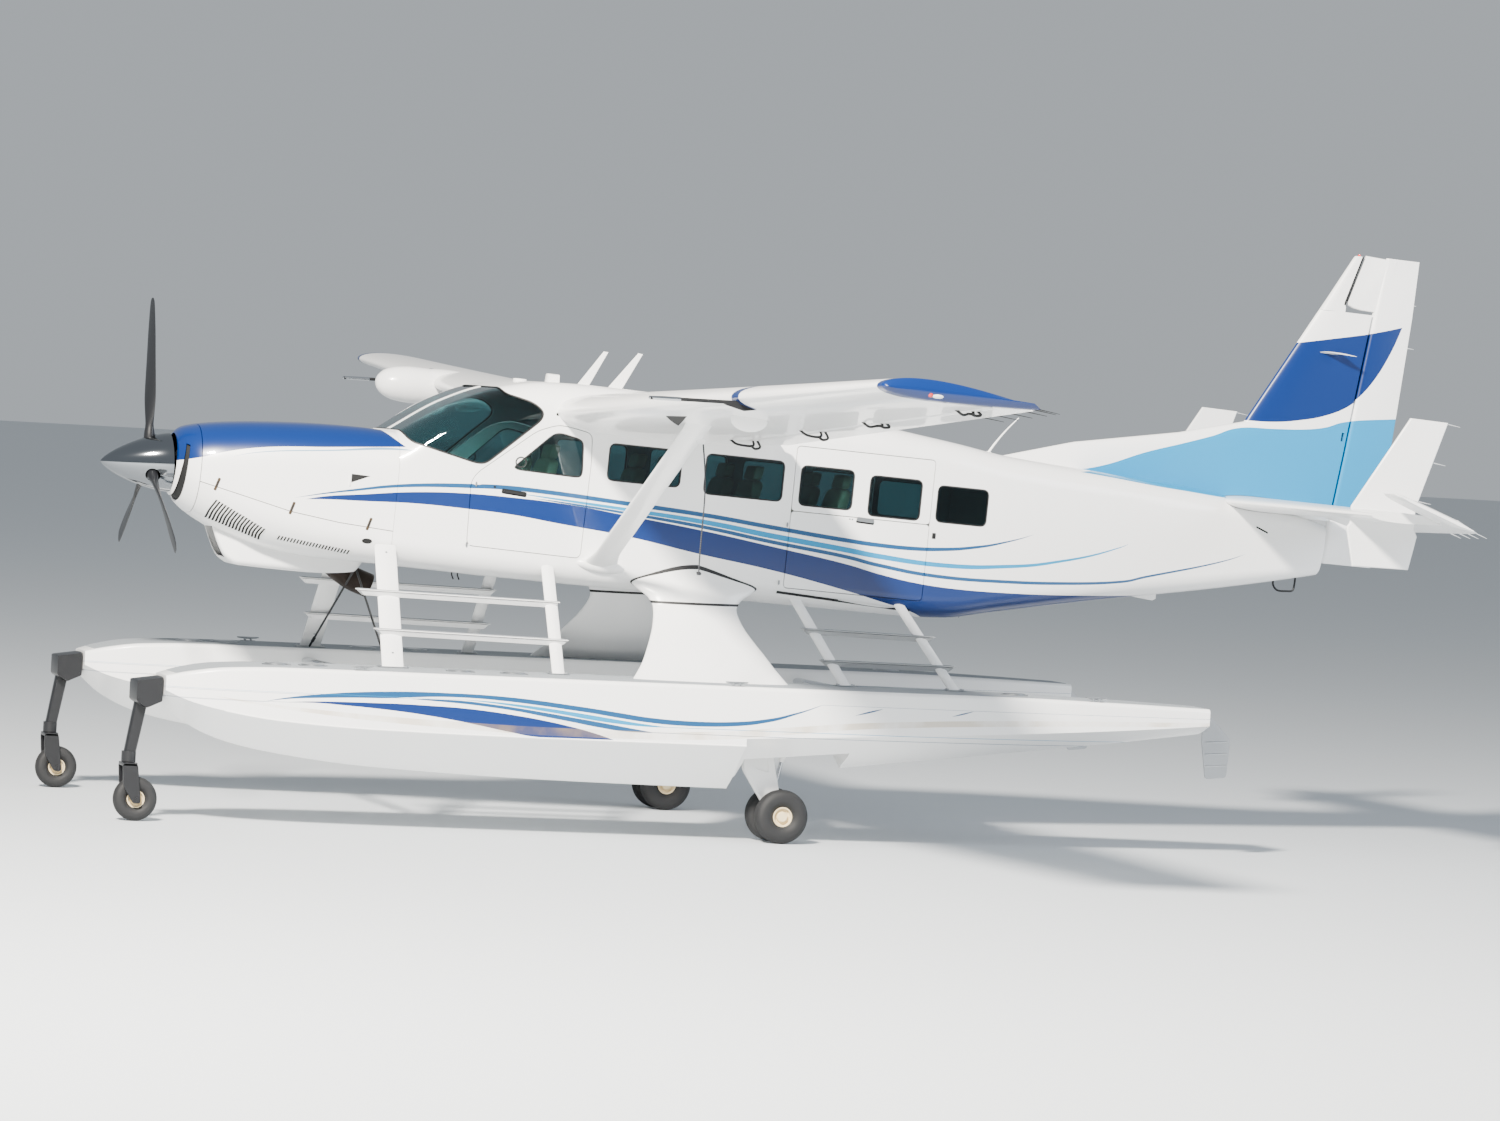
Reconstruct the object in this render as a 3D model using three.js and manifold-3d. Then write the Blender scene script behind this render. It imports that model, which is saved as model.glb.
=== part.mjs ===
// A single-engined high-wing utility aeroplane on twin amphibious floats, parked on the wheels of its floats.
// Millimetres. The nose points to -X, starboard is +Y and +Z is up, with the ground at z = 0.
// The floats stand level, and the aeroplane sits on them nose up, in a group of its own whose x runs aft
// from the tip of the spinner along the cabin's own level line.
import * as THREE from "three";
import { mergeVertices } from "three/addons/utils/BufferGeometryUtils.js";
import Module from "manifold-3d";

const wasm = await Module();
wasm.setup();
const { Manifold } = wasm;

// Driving dimensions
const NOSE_UP = THREE.MathUtils.degToRad(2.8); // the cabin's level line against the float decks
const GAP = 0.3; // between pieces that touch
const CLEAR = 9; // between a moving panel and its frame
const DECK_HEIGHT = 1290; // float decks above the ground, on the wheels
const DECK_BELOW_NOSE = 1520; // float decks below the spinner's tip
const FLOAT_CENTRE = 1655; // half the distance between the keels
const SHIFT_X = -5752.87; // puts the middle of the whole machine over the origin
const SKIN = 40; // cabin wall with its frames
const COWL_SKIN = 14;

const root = new THREE.Group();
root.position.x = SHIFT_X;
const airframe = new THREE.Group();
airframe.rotation.y = NOSE_UP;
airframe.position.z = DECK_HEIGHT + DECK_BELOW_NOSE;
root.add(airframe);

// Finishes
function finish(color, roughness, metalness = 0, opacity = 1) {
  return new THREE.MeshStandardMaterial({ color, roughness, metalness, opacity, transparent: opacity < 1 });
}

const WHITE = finish("#e9ebec", 0.35);
const BLUE = finish("#0067b8", 0.35);
const POLISHED = finish("#b9bcc0", 0.15, 1);
const BARE_METAL = finish("#9da1a5", 0.4, 1);
const BLACK_PAINT = finish("#17181a", 0.5);
const CREAM = finish("#e8c48a", 0.45);
const RUBBER = finish("#1b1b1c", 0.85);
const GLASS = finish("#8fb7bd", 0.05, 0, 0.35);
const LEATHER = finish("#4a4d52", 0.7);
const PANEL_GREY = finish("#3a3c3f", 0.6);
const STAINLESS = finish("#6d6a66", 0.35, 1);

// Solids from three.js geometry, and back
function solid(geometry) {
  const flat = geometry.index ? geometry.toNonIndexed() : geometry.clone();
  const bare = new THREE.BufferGeometry().setAttribute("position", flat.getAttribute("position"));
  const merged = mergeVertices(bare, 1e-3);
  const made = new Manifold(
    new wasm.Mesh({
      numProp: 3,
      vertProperties: merged.attributes.position.array,
      triVerts: new Uint32Array(merged.index.array),
    }),
  );
  return made;
}

function geometryOf(body) {
  const mesh = body.getMesh();
  const geometry = new THREE.BufferGeometry();
  geometry.setAttribute("position", new THREE.BufferAttribute(mesh.vertProperties, 3));
  geometry.setIndex(new THREE.BufferAttribute(mesh.triVerts, 1));
  const flat = geometry.toNonIndexed();
  flat.computeVertexNormals();
  return flat;
}

// One named piece. Where a cut leaves slivers, only the largest body is the piece.
function piece(name, body, material, parent = airframe) {
  const bodies = body.decompose();
  const largest = bodies.reduce((a, b) => (b.volume() > a.volume() ? b : a));
  const mesh = new THREE.Mesh(geometryOf(largest), material);
  mesh.name = name;
  parent.add(mesh);
  return mesh;
}

// A skin over rings of points, all with the same count, closed by a fan at each end
function loft(rings) {
  const count = rings[0].length;
  const points = rings.flat();
  const faces = [];
  for (let i = 0; i + 1 < rings.length; i++) {
    for (let j = 0; j < count; j++) {
      const a = i * count + j;
      const b = i * count + ((j + 1) % count);
      faces.push([a, b, b + count], [a, b + count, a + count]);
    }
  }
  for (const [ring, start] of [[rings[0], 0], [rings.at(-1), (rings.length - 1) * count]]) {
    const middle = ring.reduce((sum, p) => sum.add(p), new THREE.Vector3()).divideScalar(count);
    points.push(middle);
    const hub = points.length - 1;
    for (let j = 0; j < count; j++) {
      const a = start + j;
      const b = start + ((j + 1) % count);
      faces.push(start === 0 ? [hub, b, a] : [hub, a, b]);
    }
  }
  const volume = faces.reduce((sum, [a, b, c]) => {
    return sum + points[a].dot(new THREE.Vector3().crossVectors(points[b], points[c]));
  }, 0);
  const order = volume < 0 ? faces.map(([a, b, c]) => [a, c, b]) : faces;
  const geometry = new THREE.BufferGeometry().setFromPoints(points);
  geometry.setIndex(order.flat());
  return solid(geometry);
}

// A side view, as [x, z] corners, carried across from y0 to y1
function acrossY(outline, y0, y1) {
  const shape = new THREE.Shape(outline.map(([x, z]) => new THREE.Vector2(x, z)));
  const geometry = new THREE.ExtrudeGeometry(shape, { depth: y1 - y0, bevelEnabled: false });
  return solid(geometry.rotateX(Math.PI / 2).translate(0, y1, 0));
}

function block(x0, x1, y0, y1, z0, z1) {
  const geometry = new THREE.BoxGeometry(x1 - x0, y1 - y0, z1 - z0);
  return solid(geometry.translate((x0 + x1) / 2, (y0 + y1) / 2, (z0 + z1) / 2));
}

function join(...bodies) {
  return bodies.reduce((a, b) => a.add(b));
}

// A short bar of round section centred on a point of an axis
function barAlong(point, axis, length, radius, sides = 12) {
  const turn = new THREE.Quaternion().setFromUnitVectors(new THREE.Vector3(0, 1, 0), axis.clone().normalize());
  const geometry = new THREE.CylinderGeometry(radius, radius, length, sides).applyQuaternion(turn);
  return solid(geometry.translate(point.x, point.y, point.z));
}

// A hinge lug: round about its pin, square to it, and reaching to a foot on the piece that carries it
function lugFrom(point, axis, length, radius, foot) {
  const unit = axis.clone().normalize();
  const square = foot.clone().addScaledVector(unit, -foot.clone().sub(point).dot(unit));
  return Manifold.hull([barAlong(point, axis, length, radius), barAlong(square, axis, length, radius * 0.45)]);
}

// A hinge with its pin outside the skin: one knuckle on the frame and one on the door, end to end
function knuckles(point, axis, radius, frameFoot, doorFoot, length = 34) {
  const half = axis.clone().normalize().multiplyScalar((length + GAP) / 2);
  return {
    frame: lugFrom(point.clone().add(half), axis, length, radius, frameFoot.clone().add(half)),
    door: lugFrom(point.clone().sub(half), axis, length, radius, doorFoot.clone().sub(half)),
  };
}

const vec = (x, y, z) => new THREE.Vector3(x, y, z);

// A convex outline moved inwards by a distance, for a panel in its frame
function shrink(outline, by) {
  const area = outline.reduce((sum, [x, z], i) => {
    const [nx, nz] = outline[(i + 1) % outline.length];
    return sum + x * nz - nx * z;
  }, 0);
  const side = Math.sign(area);
  const edges = outline.map(([x, z], i) => {
    const [nx, nz] = outline[(i + 1) % outline.length];
    const length = Math.hypot(nx - x, nz - z);
    const normal = [(-(nz - z) / length) * side, ((nx - x) / length) * side];
    return { at: [x + normal[0] * by, z + normal[1] * by], along: [nx - x, nz - z] };
  });
  return edges.map((edge, i) => {
    const last = edges.at(i - 1);
    const cross = last.along[0] * edge.along[1] - last.along[1] * edge.along[0];
    const dx = edge.at[0] - last.at[0];
    const dz = edge.at[1] - last.at[1];
    const t = (dx * edge.along[1] - dz * edge.along[0]) / cross;
    return [last.at[0] + last.along[0] * t, last.at[1] + last.along[1] * t];
  });
}

// A rectangle with round corners, as [x, z] corners, sheared so that its top can lean aft
function roundedWindow(x0, x1, z0, z1, radius, lean = 0) {
  const corners = [
    [x1 - radius, z0 + radius, -90],
    [x1 - radius, z1 - radius, 0],
    [x0 + radius, z1 - radius, 90],
    [x0 + radius, z0 + radius, 180],
  ];
  return corners.flatMap(([x, z, from]) => {
    return [0, 45, 90].map((turn) => {
      const angle = THREE.MathUtils.degToRad(from + turn);
      const zz = z + radius * Math.sin(angle);
      return [x + radius * Math.cos(angle) + lean * (zz - z0), zz];
    });
  });
}

// Ring across the body at station x: a box with round corners, its upper and lower radii apart
function bodyRing([x, halfWidth, top, bottom, upperRadius, lowerRadius], inset = 0, steps = 4) {
  const w = halfWidth - inset;
  const t = top - inset;
  const b = bottom + inset;
  const ru = Math.max(upperRadius - inset, 5);
  const rl = Math.max(lowerRadius - inset, 5);
  const corners = [
    [w - ru, t - ru, ru, 0],
    [-(w - ru), t - ru, ru, 90],
    [-(w - rl), b + rl, rl, 180],
    [w - rl, b + rl, rl, 270],
  ];
  return corners.flatMap(([y, z, r, from]) => {
    return Array.from({ length: steps + 1 }, (_, i) => {
      const angle = THREE.MathUtils.degToRad(from + (90 * i) / steps);
      return new THREE.Vector3(x, y + r * Math.cos(angle), z + r * Math.sin(angle));
    });
  });
}

// Body stations: x, half width, top, bottom, upper corner radius, lower corner radius
const BODY = [
  [592, 258, 306, -212, 256, 256],
  [640, 330, 345, -262, 300, 300],
  [755, 415, 380, -345, 340, 330],
  [1050, 490, 428, -480, 350, 340],
  [1400, 555, 463, -575, 350, 330],
  [1750, 605, 486, -608, 350, 300],
  [2060, 650, 495, -612, 340, 270],
  [2340, 695, 487, -612, 320, 240],
  [2800, 765, 797, -615, 300, 215],
  [3150, 805, 948, -620, 280, 205],
  [3560, 828, 1026, -620, 250, 195],
  [3900, 830, 1037, -620, 230, 190],
  [6300, 828, 972, -612, 220, 190],
  [6900, 795, 912, -610, 215, 190],
  [7200, 760, 878, -596, 210, 190],
  [7640, 700, 822, -512, 210, 190],
  [8640, 530, 768, -322, 210, 180],
  [9730, 325, 690, -132, 190, 150],
  [10650, 130, 560, 51, 110, 110],
  [10815, 95, 520, 90, 85, 85],
];
const BOWL_FRONT = 592;
const BOWL_REAR = 755;
const FIREWALL = 2340;
const CABIN_REAR = 7640;

function bodyLoft(from, to, inset = 0) {
  const at = (x) => {
    const i = Math.min(Math.max(BODY.findIndex((s) => s[0] >= x), 1), BODY.length - 1);
    const share = (x - BODY[i - 1][0]) / (BODY[i][0] - BODY[i - 1][0]);
    return BODY[i - 1].map((value, k) => value + (BODY[i][k] - value) * share);
  };
  const between = BODY.filter((s) => s[0] > from && s[0] < to);
  return loft([at(from), ...between, at(to)].map((station) => bodyRing(station, inset)));
}

// Half width of the body at station x and height z, round its corners too
function skinAt(x, z) {
  const i = BODY.findIndex((s) => s[0] >= x);
  const share = (x - BODY[i - 1][0]) / (BODY[i][0] - BODY[i - 1][0]);
  const [, half, top, bottom, upper, lower] = BODY[i - 1].map((value, k) => value + (BODY[i][k] - value) * share);
  const above = Math.max(z - (top - upper), 0);
  const below = Math.max(bottom + lower - z, 0);
  const lost = (radius, over) => radius - Math.sqrt(radius ** 2 - over ** 2);
  return half - lost(upper, above) - lost(lower, below);
}

// Outlines of doors and windows in the side view, [x, z]
// The crew door's head falls aft, under the wing's root
const CREW_DOOR = [
  [2940, -385], [2925, 150], [2975, 232], [3435, 620], [3600, 684], [3700, 680],
  [3907, 644], [3925, 420], [3912, -400],
];
const CREW_WINDOW = [
  [3262, 300], [3300, 276], [3830, 262], [3858, 300], [3842, 550], [3806, 588], [3640, 622], [3570, 606],
];
const CARGO_FRONT = 5680;
const CARGO_REAR = 6930;
const AIRSTAIR_FRONT = 6300;
const DOOR_SILL = -475;
const DOOR_SPLIT = 175;
const DOOR_TOP = 725;
// Cabin windows along each side: front, rear, sill, head
const WINDOWS = [
  [4100, 4700, 274, 582],
  [4950, 5595, 252, 580],
  [5772, 6214, 232, 562],
  [6385, 6826, 208, 540],
  [7010, 7446, 205, 510],
];
const windowCut = (y0, y1, which = [0, 1, 2, 3, 4]) => {
  return join(...which.map((i) => acrossY(roundedWindow(...WINDOWS[i], 60), y0, y1)));
};
const rectangle = (x0, x1, z0, z1) => [[x0, z0], [x1, z0], [x1, z1], [x0, z1]];

const OUT = 1000; // past the body's side
const IN = 330; // short of the body's middle
const bothSides = (outline) => join(acrossY(outline, -OUT, -IN), acrossY(outline, IN, OUT));

// Windscreen, one wrapped pane from door post to door post
const WINDSCREEN = [
  [2352, 515], [2415, 415], [2960, 292], [3040, 300], [3470, 705], [3480, 780], [3385, 850], [3150, 905],
  [3085, 1100], [2200, 1100],
];
const screenOpening = acrossY(WINDSCREEN, -OUT, OUT);
const cabinHollow = bodyLoft(FIREWALL + SKIN, CABIN_REAR - SKIN, SKIN);
const shellWhole = bodyLoft(FIREWALL, CABIN_REAR).subtract(cabinHollow);

// Door hinges: pins stand off the skin, and each door turns outwards about its own
const PIN_RADIUS = 8;
const FOOT_OUT = 2; // how far the middle of a lug's foot stands off the skin
const UP = vec(0, 0, 1);
const AFT = vec(1, 0, 0);
const CREW_PIN = { x: 2957, y: 799 };
const CARGO_PIN = { x: CARGO_FRONT + 24, y: 844 };
const LID_PIN_Y = 844;
const HIGH_PIN_Z = DOOR_TOP - 14;
const LOW_PIN_Z = DOOR_SILL + 14;
const offSkin = (x, z, s) => vec(x, s * (skinAt(x, z) + FOOT_OUT), z);
// A gate hinge at height z on side s, whose door ends at station edge; and a lid hinge at station x,
// whose frame lies above its pin, or below it
const gateHinge = (pin, edge, z, s) => {
  return knuckles(vec(pin.x, s * pin.y, z), UP, PIN_RADIUS, offSkin(edge - 12, z, s), offSkin(pin.x + 34, z, s));
};
const lidHinge = (x, z, s, way) => {
  const [frameFoot, doorFoot] = [offSkin(x, z + way * 30, s), offSkin(x, z - way * 34, s)];
  return knuckles(vec(x, s * LID_PIN_Y, z), AFT, PIN_RADIUS, frameFoot, doorFoot);
};
const crewHinges = (s) => [130, -330].map((z) => gateHinge(CREW_PIN, 2925, z, s));
const cargoLowerHinges = [90, -370].map((z) => gateHinge(CARGO_PIN, CARGO_FRONT, z, -1));
const cargoUpperHinges = [5850, 6700].map((x) => lidHinge(x, HIGH_PIN_Z, -1, 1));
const stairUpperHinges = [6400, 6800].map((x) => lidHinge(x, HIGH_PIN_Z, 1, 1));
const stairLowerHinges = [6400, 6800].map((x) => lidHinge(x, LOW_PIN_Z, 1, -1));
const frameKnuckles = [
  crewHinges(-1), crewHinges(1), cargoLowerHinges, cargoUpperHinges, stairUpperHinges, stairLowerHinges,
];

const cabinShell = shellWhole
  .subtract(screenOpening)
  .subtract(bothSides(CREW_DOOR))
  .subtract(acrossY(rectangle(CARGO_FRONT, CARGO_REAR, DOOR_SILL, DOOR_TOP), -OUT, -IN))
  .subtract(acrossY(rectangle(AIRSTAIR_FRONT, CARGO_REAR, DOOR_SILL, DOOR_TOP), IN, OUT))
  .subtract(windowCut(-OUT, -IN, [0, 1, 4]))
  .subtract(windowCut(IN, OUT, [0, 1, 2, 4]));
piece("cabin_shell", join(cabinShell, ...frameKnuckles.flat().map((hinge) => hinge.frame)), WHITE);

const pane = bodyLoft(FIREWALL, 3600, 4).subtract(bodyLoft(FIREWALL, 3600, 16));
const paneEdge = acrossY(shrink(WINDSCREEN.slice(0, 9).concat([[2300, 1100]]), GAP), -OUT, OUT);
piece("windscreen", pane.intersect(paneEdge), GLASS);

// Doors: the skin that their openings leave, with running clearance all round
const hung = (body, hinges) => join(body, ...hinges.map((hinge) => hinge.door));
for (const [side, s] of [["left", -1], ["right", 1]]) {
  const across = (outline) => acrossY(outline, s < 0 ? -OUT : IN, s < 0 ? -IN : OUT);
  const door = shellWhole.intersect(across(shrink(CREW_DOOR, CLEAR))).subtract(across(CREW_WINDOW));
  piece("crew_door_" + side, hung(door, crewHinges(s)), WHITE);
}

const doorPanel = (x0, x1, z0, z1, y0, y1) => {
  return shellWhole.intersect(acrossY(shrink(rectangle(x0, x1, z0, z1), CLEAR), y0, y1));
};
const cargoUpper = doorPanel(CARGO_FRONT, CARGO_REAR, DOOR_SPLIT - CLEAR, DOOR_TOP, -OUT, -IN);
piece("cargo_door_upper", hung(cargoUpper.subtract(windowCut(-OUT, -IN, [2, 3])), cargoUpperHinges), WHITE);
const cargoLower = doorPanel(CARGO_FRONT, CARGO_REAR, DOOR_SILL, DOOR_SPLIT, -OUT, -IN);
piece("cargo_door_lower", hung(cargoLower, cargoLowerHinges), WHITE);
const stairUpper = doorPanel(AIRSTAIR_FRONT, CARGO_REAR, DOOR_SPLIT - CLEAR, DOOR_TOP, IN, OUT);
piece("airstair_door_upper", hung(stairUpper.subtract(windowCut(IN, OUT, [3])), stairUpperHinges), WHITE);
const stairTreads = [-330, -90].map((z) => block(AIRSTAIR_FRONT + 40, CARGO_REAR - 60, 600, 770, z, z + 20));
const stairLower = doorPanel(AIRSTAIR_FRONT, CARGO_REAR, DOOR_SILL, DOOR_SPLIT, IN, OUT);
piece("airstair_door_lower", hung(join(stairLower, ...stairTreads), stairLowerHinges), WHITE);

// Inside: floor, instrument panel and seats
const room = bodyLoft(FIREWALL + SKIN, CABIN_REAR - SKIN, SKIN + GAP);
const FLOOR_TOP = -440;
// Beside the doors the floor stops short of their inner faces, which swing past it
const DOOR_SIDE = 722;
const BAY_FRONT = 6190;
const BAY_DROP = 4; // the cargo bay's floor lies lower than the seats' floor
const floor = room
  .intersect(block(2560, 7100, -OUT, OUT, FLOOR_TOP - 60, FLOOR_TOP))
  .subtract(block(CARGO_FRONT - 30, CARGO_REAR + 30, -OUT, -DOOR_SIDE, -600, -400))
  .subtract(block(AIRSTAIR_FRONT - 30, CARGO_REAR + 30, DOOR_SIDE, OUT, -600, -400))
  .subtract(block(BAY_FRONT, 7200, -OUT, OUT, FLOOR_TOP - BAY_DROP, -400));
piece("cabin_floor", floor, PANEL_GREY);
const PANEL_REAR = 2960;
const PANEL_SIDE = 700; // half width beside the crew doors' front edges
const panelOutline = [[2700, -20], [PANEL_REAR - 60, -20], [PANEL_REAR, 40], [PANEL_REAR, 262], [2700, 262]];
const doorEdges = bothSides(rectangle(2885, 3000, -100, 400))
  .subtract(block(2800, 3100, -PANEL_SIDE, PANEL_SIDE, -200, 500));
piece("instrument_panel", room.intersect(acrossY(panelOutline, -OUT, OUT)).subtract(doorEdges), PANEL_GREY);

// A seat on a pedestal: squab, back and headrest in one outline
function seat(x, y, width) {
  const base = FLOOR_TOP + GAP;
  const [inner, outer] = [y - width / 2, y + width / 2];
  const squab = acrossY([[x, base + 290], [x + 460, base + 260], [x + 480, base + 400], [x, base + 420]], inner, outer);
  const backOutline = [[x + 400, base + 300], [x + 480, base + 290], [x + 640, base + 950], [x + 540, base + 960]];
  const back = acrossY(backOutline, inner, outer);
  const foot = block(x + 120, x + 380, y - 130, y + 130, base, base + 300);
  return join(squab, back, foot);
}

const SEAT_Y = 410;
const rail = (x0, x1) => block(x0, x1, -SEAT_Y, SEAT_Y, FLOOR_TOP + GAP, FLOOR_TOP + GAP + 30);
const CREW_ROW = 3120;
const ROWS = [CREW_ROW, 4120, 4900, 5680];
const rowSeats = ROWS.flatMap((x) => [seat(x, -SEAT_Y, 450), seat(x, SEAT_Y, 450), rail(x + 140, x + 360)]);
const spine = block(CREW_ROW + 140, ROWS.at(-1) + 360, -60, 60, FLOOR_TOP + GAP, FLOOR_TOP + GAP + 30);
piece("seats", join(...rowSeats, spine), LEATHER);

// Tail cone, cut for the fin's root and the stabilizer
const FIN_HALF = 62;
const TAIL_START = CABIN_REAR + GAP;

// Thrust line: tip of the spinner at the origin, and the shaft rises aft
const THRUST_RISE = THREE.MathUtils.degToRad(4.5);
const alongThrust = (body) => body.rotate([0, -THREE.MathUtils.radToDeg(THRUST_RISE), 0]);
// A body of revolution about the thrust line from [distance aft, radius] points
function turned(profile, segments = 24) {
  const geometry = new THREE.LatheGeometry(profile.map(([s, r]) => new THREE.Vector2(r, s)), segments);
  const made = solid(geometry.rotateZ(-Math.PI / 2));
  return made.volume() < 0 ? solid(geometry.scale(-1, 1, 1)) : made;
}

// Spinner: an ogive shell with a back plate, over the hub and round the blade shanks
const SPINNER_LENGTH = 566;
const SPINNER_RADIUS = 243;
const ogive = (radius, from, to, steps) => {
  return Array.from({ length: steps + 1 }, (_, i) => {
    const s = from + ((to - from) * i) / steps;
    const u = 1 - (s - from) / (SPINNER_LENGTH - from);
    return [s, radius * Math.pow(Math.max(1 - Math.pow(u, 1.45), 0), 0.74)];
  });
};
const BLADE_AT = 402; // blade axis aft of the spinner's tip
const HUB_RADIUS = 92;
const SHANK_RADIUS = 48;
const spinnerOuter = turned([...ogive(SPINNER_RADIUS, 0, SPINNER_LENGTH, 9), [SPINNER_LENGTH, 0]]);
const BACK_PLATE = 12;
const spinnerInner = turned([
  ...ogive(SPINNER_RADIUS - 10, BACK_PLATE, SPINNER_LENGTH, 7).filter(([s]) => s < SPINNER_LENGTH - BACK_PLATE - 2),
  [SPINNER_LENGTH - BACK_PLATE, SPINNER_RADIUS - 14],
  [SPINNER_LENGTH - BACK_PLATE, 0],
]);
const boreRadius = HUB_RADIUS + GAP;
const boreEnd = SPINNER_LENGTH + 20;
const hubBore = turned([[200, 0], [200, boreRadius], [boreEnd, boreRadius], [boreEnd, 0]], 20);
const BLADE_TURNS = [0, 120, 240];
const holeRadius = SHANK_RADIUS + 12;
const shankHole = solid(
  new THREE.CylinderGeometry(holeRadius, holeRadius, 400, 12).rotateX(Math.PI / 2).translate(BLADE_AT, 0, 250),
);
const shankHoles = join(...BLADE_TURNS.map((turn) => shankHole.rotate([turn, 0, 0])));
piece("spinner", alongThrust(spinnerOuter.subtract(spinnerInner).subtract(hubBore).subtract(shankHoles)), POLISHED);

// Propeller: hub, shaft and three blades. Blade stations: radius, chord, thickness, pitch in degrees
const PROP_RADIUS = 1345;
const BLADE = [
  [70, 2 * SHANK_RADIUS, 2 * SHANK_RADIUS, 40],
  [215, 92, 90, 40],
  [300, 72, 62, 37],
  [380, 98, 44, 33],
  [560, 160, 27, 22],
  [760, 176, 20, 14.5],
  [1000, 176, 14, 9.5],
  [1220, 148, 9, 6],
  [PROP_RADIUS - 35, 112, 7, 4.5],
  [PROP_RADIUS, 56, 5, 4],
];
function bladeRing([radius, chord, thickness, pitch]) {
  const angle = THREE.MathUtils.degToRad(pitch);
  return Array.from({ length: 10 }, (_, i) => {
    const turn = (2 * Math.PI * i) / 10;
    const across = (chord / 2) * Math.cos(turn);
    const deep = (thickness / 2) * Math.sin(turn);
    // Across the blade runs mostly along y and, with pitch, along x
    const x = BLADE_AT + across * Math.sin(angle) + deep * Math.cos(angle);
    const y = across * Math.cos(angle) - deep * Math.sin(angle);
    return new THREE.Vector3(x, y, radius);
  });
}

const SHAFT_END = 640;
const hubEnd = SPINNER_LENGTH + 6;
const hubProfile = [
  [300, 0], [300, HUB_RADIUS - 20], [320, HUB_RADIUS], [hubEnd, HUB_RADIUS],
  [hubEnd, 60], [SHAFT_END, 60], [SHAFT_END, 0],
];
const hub = turned(hubProfile, 20);
// Seen from behind, the propeller turns clockwise, so the blade's leading edge faces that way
const bladeSolid = loft(BLADE.map(bladeRing)).mirror([0, 1, 0]);
const blades = join(...BLADE_TURNS.map((turn) => bladeSolid.rotate([turn, 0, 0])));
piece("propeller", alongThrust(join(hub, blades)), BLACK_PAINT);

// Engine: one block with its gearbox nose, carried by the firewall, and the exhaust stub that leaves it
const gearbox = turned([[SHAFT_END + GAP, 0], [SHAFT_END + GAP, 110], [720, 150], [960, 190], [960, 0]], 16);
const engineBody = alongThrust(join(gearbox, block(950, 2500, -225, 225, -225, 225)))
  .intersect(block(500, FIREWALL - GAP, -500, 500, -420, 600));
const EXHAUST_Y = 345;
const exhaustPath = new THREE.CatmullRomCurve3([
  new THREE.Vector3(1750, 150, -120),
  new THREE.Vector3(1900, 300, -380),
  new THREE.Vector3(2080, EXHAUST_Y, -625),
  new THREE.Vector3(2260, EXHAUST_Y, -752),
  new THREE.Vector3(2440, EXHAUST_Y, -815),
]);
const circle = (radius, count) => new THREE.Shape(Array.from({ length: count }, (_, i) => {
  const turn = (2 * Math.PI * i) / count;
  return new THREE.Vector2(radius * Math.cos(turn), radius * Math.sin(turn));
}));
const EXHAUST_RADIUS = 102;
const sweep = (shape, path, steps) => {
  const made = solid(new THREE.ExtrudeGeometry(shape, { steps, bevelEnabled: false, extrudePath: path }));
  return made;
};
const exhaustPipe = sweep(circle(EXHAUST_RADIUS, 14), exhaustPath, 8);
const boreLine = new THREE.LineCurve3(vec(2250, EXHAUST_Y, -748.5), vec(2480, EXHAUST_Y, -829));
const exhaustBore = sweep(circle(EXHAUST_RADIUS - 8, 14), boreLine, 1);
piece("engine", join(engineBody, exhaustPipe.subtract(exhaustBore)), STAINLESS);

// Nose bowl: the ring behind the spinner, with the slot of the intake round its lower part
const bowlSlot = acrossY([[640, 215], [668, 200], [668, -420], [592, -420], [606, -190], [634, 90]], -OUT, OUT);
const BOWL_BORE = 232;
const boreShape = new THREE.CylinderGeometry(BOWL_BORE, BOWL_BORE, 300, 24).rotateZ(Math.PI / 2);
const bowlBore = solid(boreShape.translate(620, 0, 48));
const bowlHollow = bodyLoft(BOWL_FRONT - 20, BOWL_REAR + 20, COWL_SKIN).add(bowlBore);
const bowl = bodyLoft(BOWL_FRONT, BOWL_REAR).subtract(bowlHollow);

// Cowling: two doors hinged on a fixed strip along the top, over a lower half with the chin of the air intake
const SEAM = [[BOWL_REAR, -70], [1060, -150], [1500, -250], [1900, -300], [FIREWALL, -330]];
const cowlHollow = bodyLoft(BOWL_REAR - 1, FIREWALL + 1, COWL_SKIN);
const cowlWhole = bodyLoft(BOWL_REAR + GAP, FIREWALL - GAP).subtract(cowlHollow);
const STRIP_HALF = 30;
const topStrip = bodyLoft(BOWL_REAR - 30, FIREWALL - GAP).subtract(bodyLoft(BOWL_REAR - 31, FIREWALL, COWL_SKIN))
  .intersect(block(BOWL_REAR - 20, FIREWALL, -STRIP_HALF, STRIP_HALF, 200, 700));
// The pin line clears the crown of the cowl, which rises to its middle
const COWL_PIN = { x: 1400, z: 480, slope: 0.045, y: STRIP_HALF + 12 };
const cowlAxis = vec(1, 0, COWL_PIN.slope);
const cowlHinges = (s) => [1450, 2030].map((x) => {
  const z = COWL_PIN.z + COWL_PIN.slope * (x - COWL_PIN.x);
  const foot = (y) => vec(x, s * y, z - 18);
  return knuckles(vec(x, s * COWL_PIN.y, z), cowlAxis, 7, foot(STRIP_HALF - 12), foot(COWL_PIN.y + 30), 60);
});
const stripKnuckles = [...cowlHinges(-1), ...cowlHinges(1)].map((hinge) => hinge.frame);
piece("nose_bowl", join(bowl.subtract(bowlSlot), topStrip, ...stripKnuckles), BLUE);
const DOOR_FRONT = BOWL_REAR + CLEAR;
const DOOR_REAR = FIREWALL - CLEAR;
const doorSeam = SEAM.map(([x, z], i) => {
  const along = i === 0 ? DOOR_FRONT : i === SEAM.length - 1 ? DOOR_REAR : x;
  return [along, z + CLEAR / 2];
});
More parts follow.
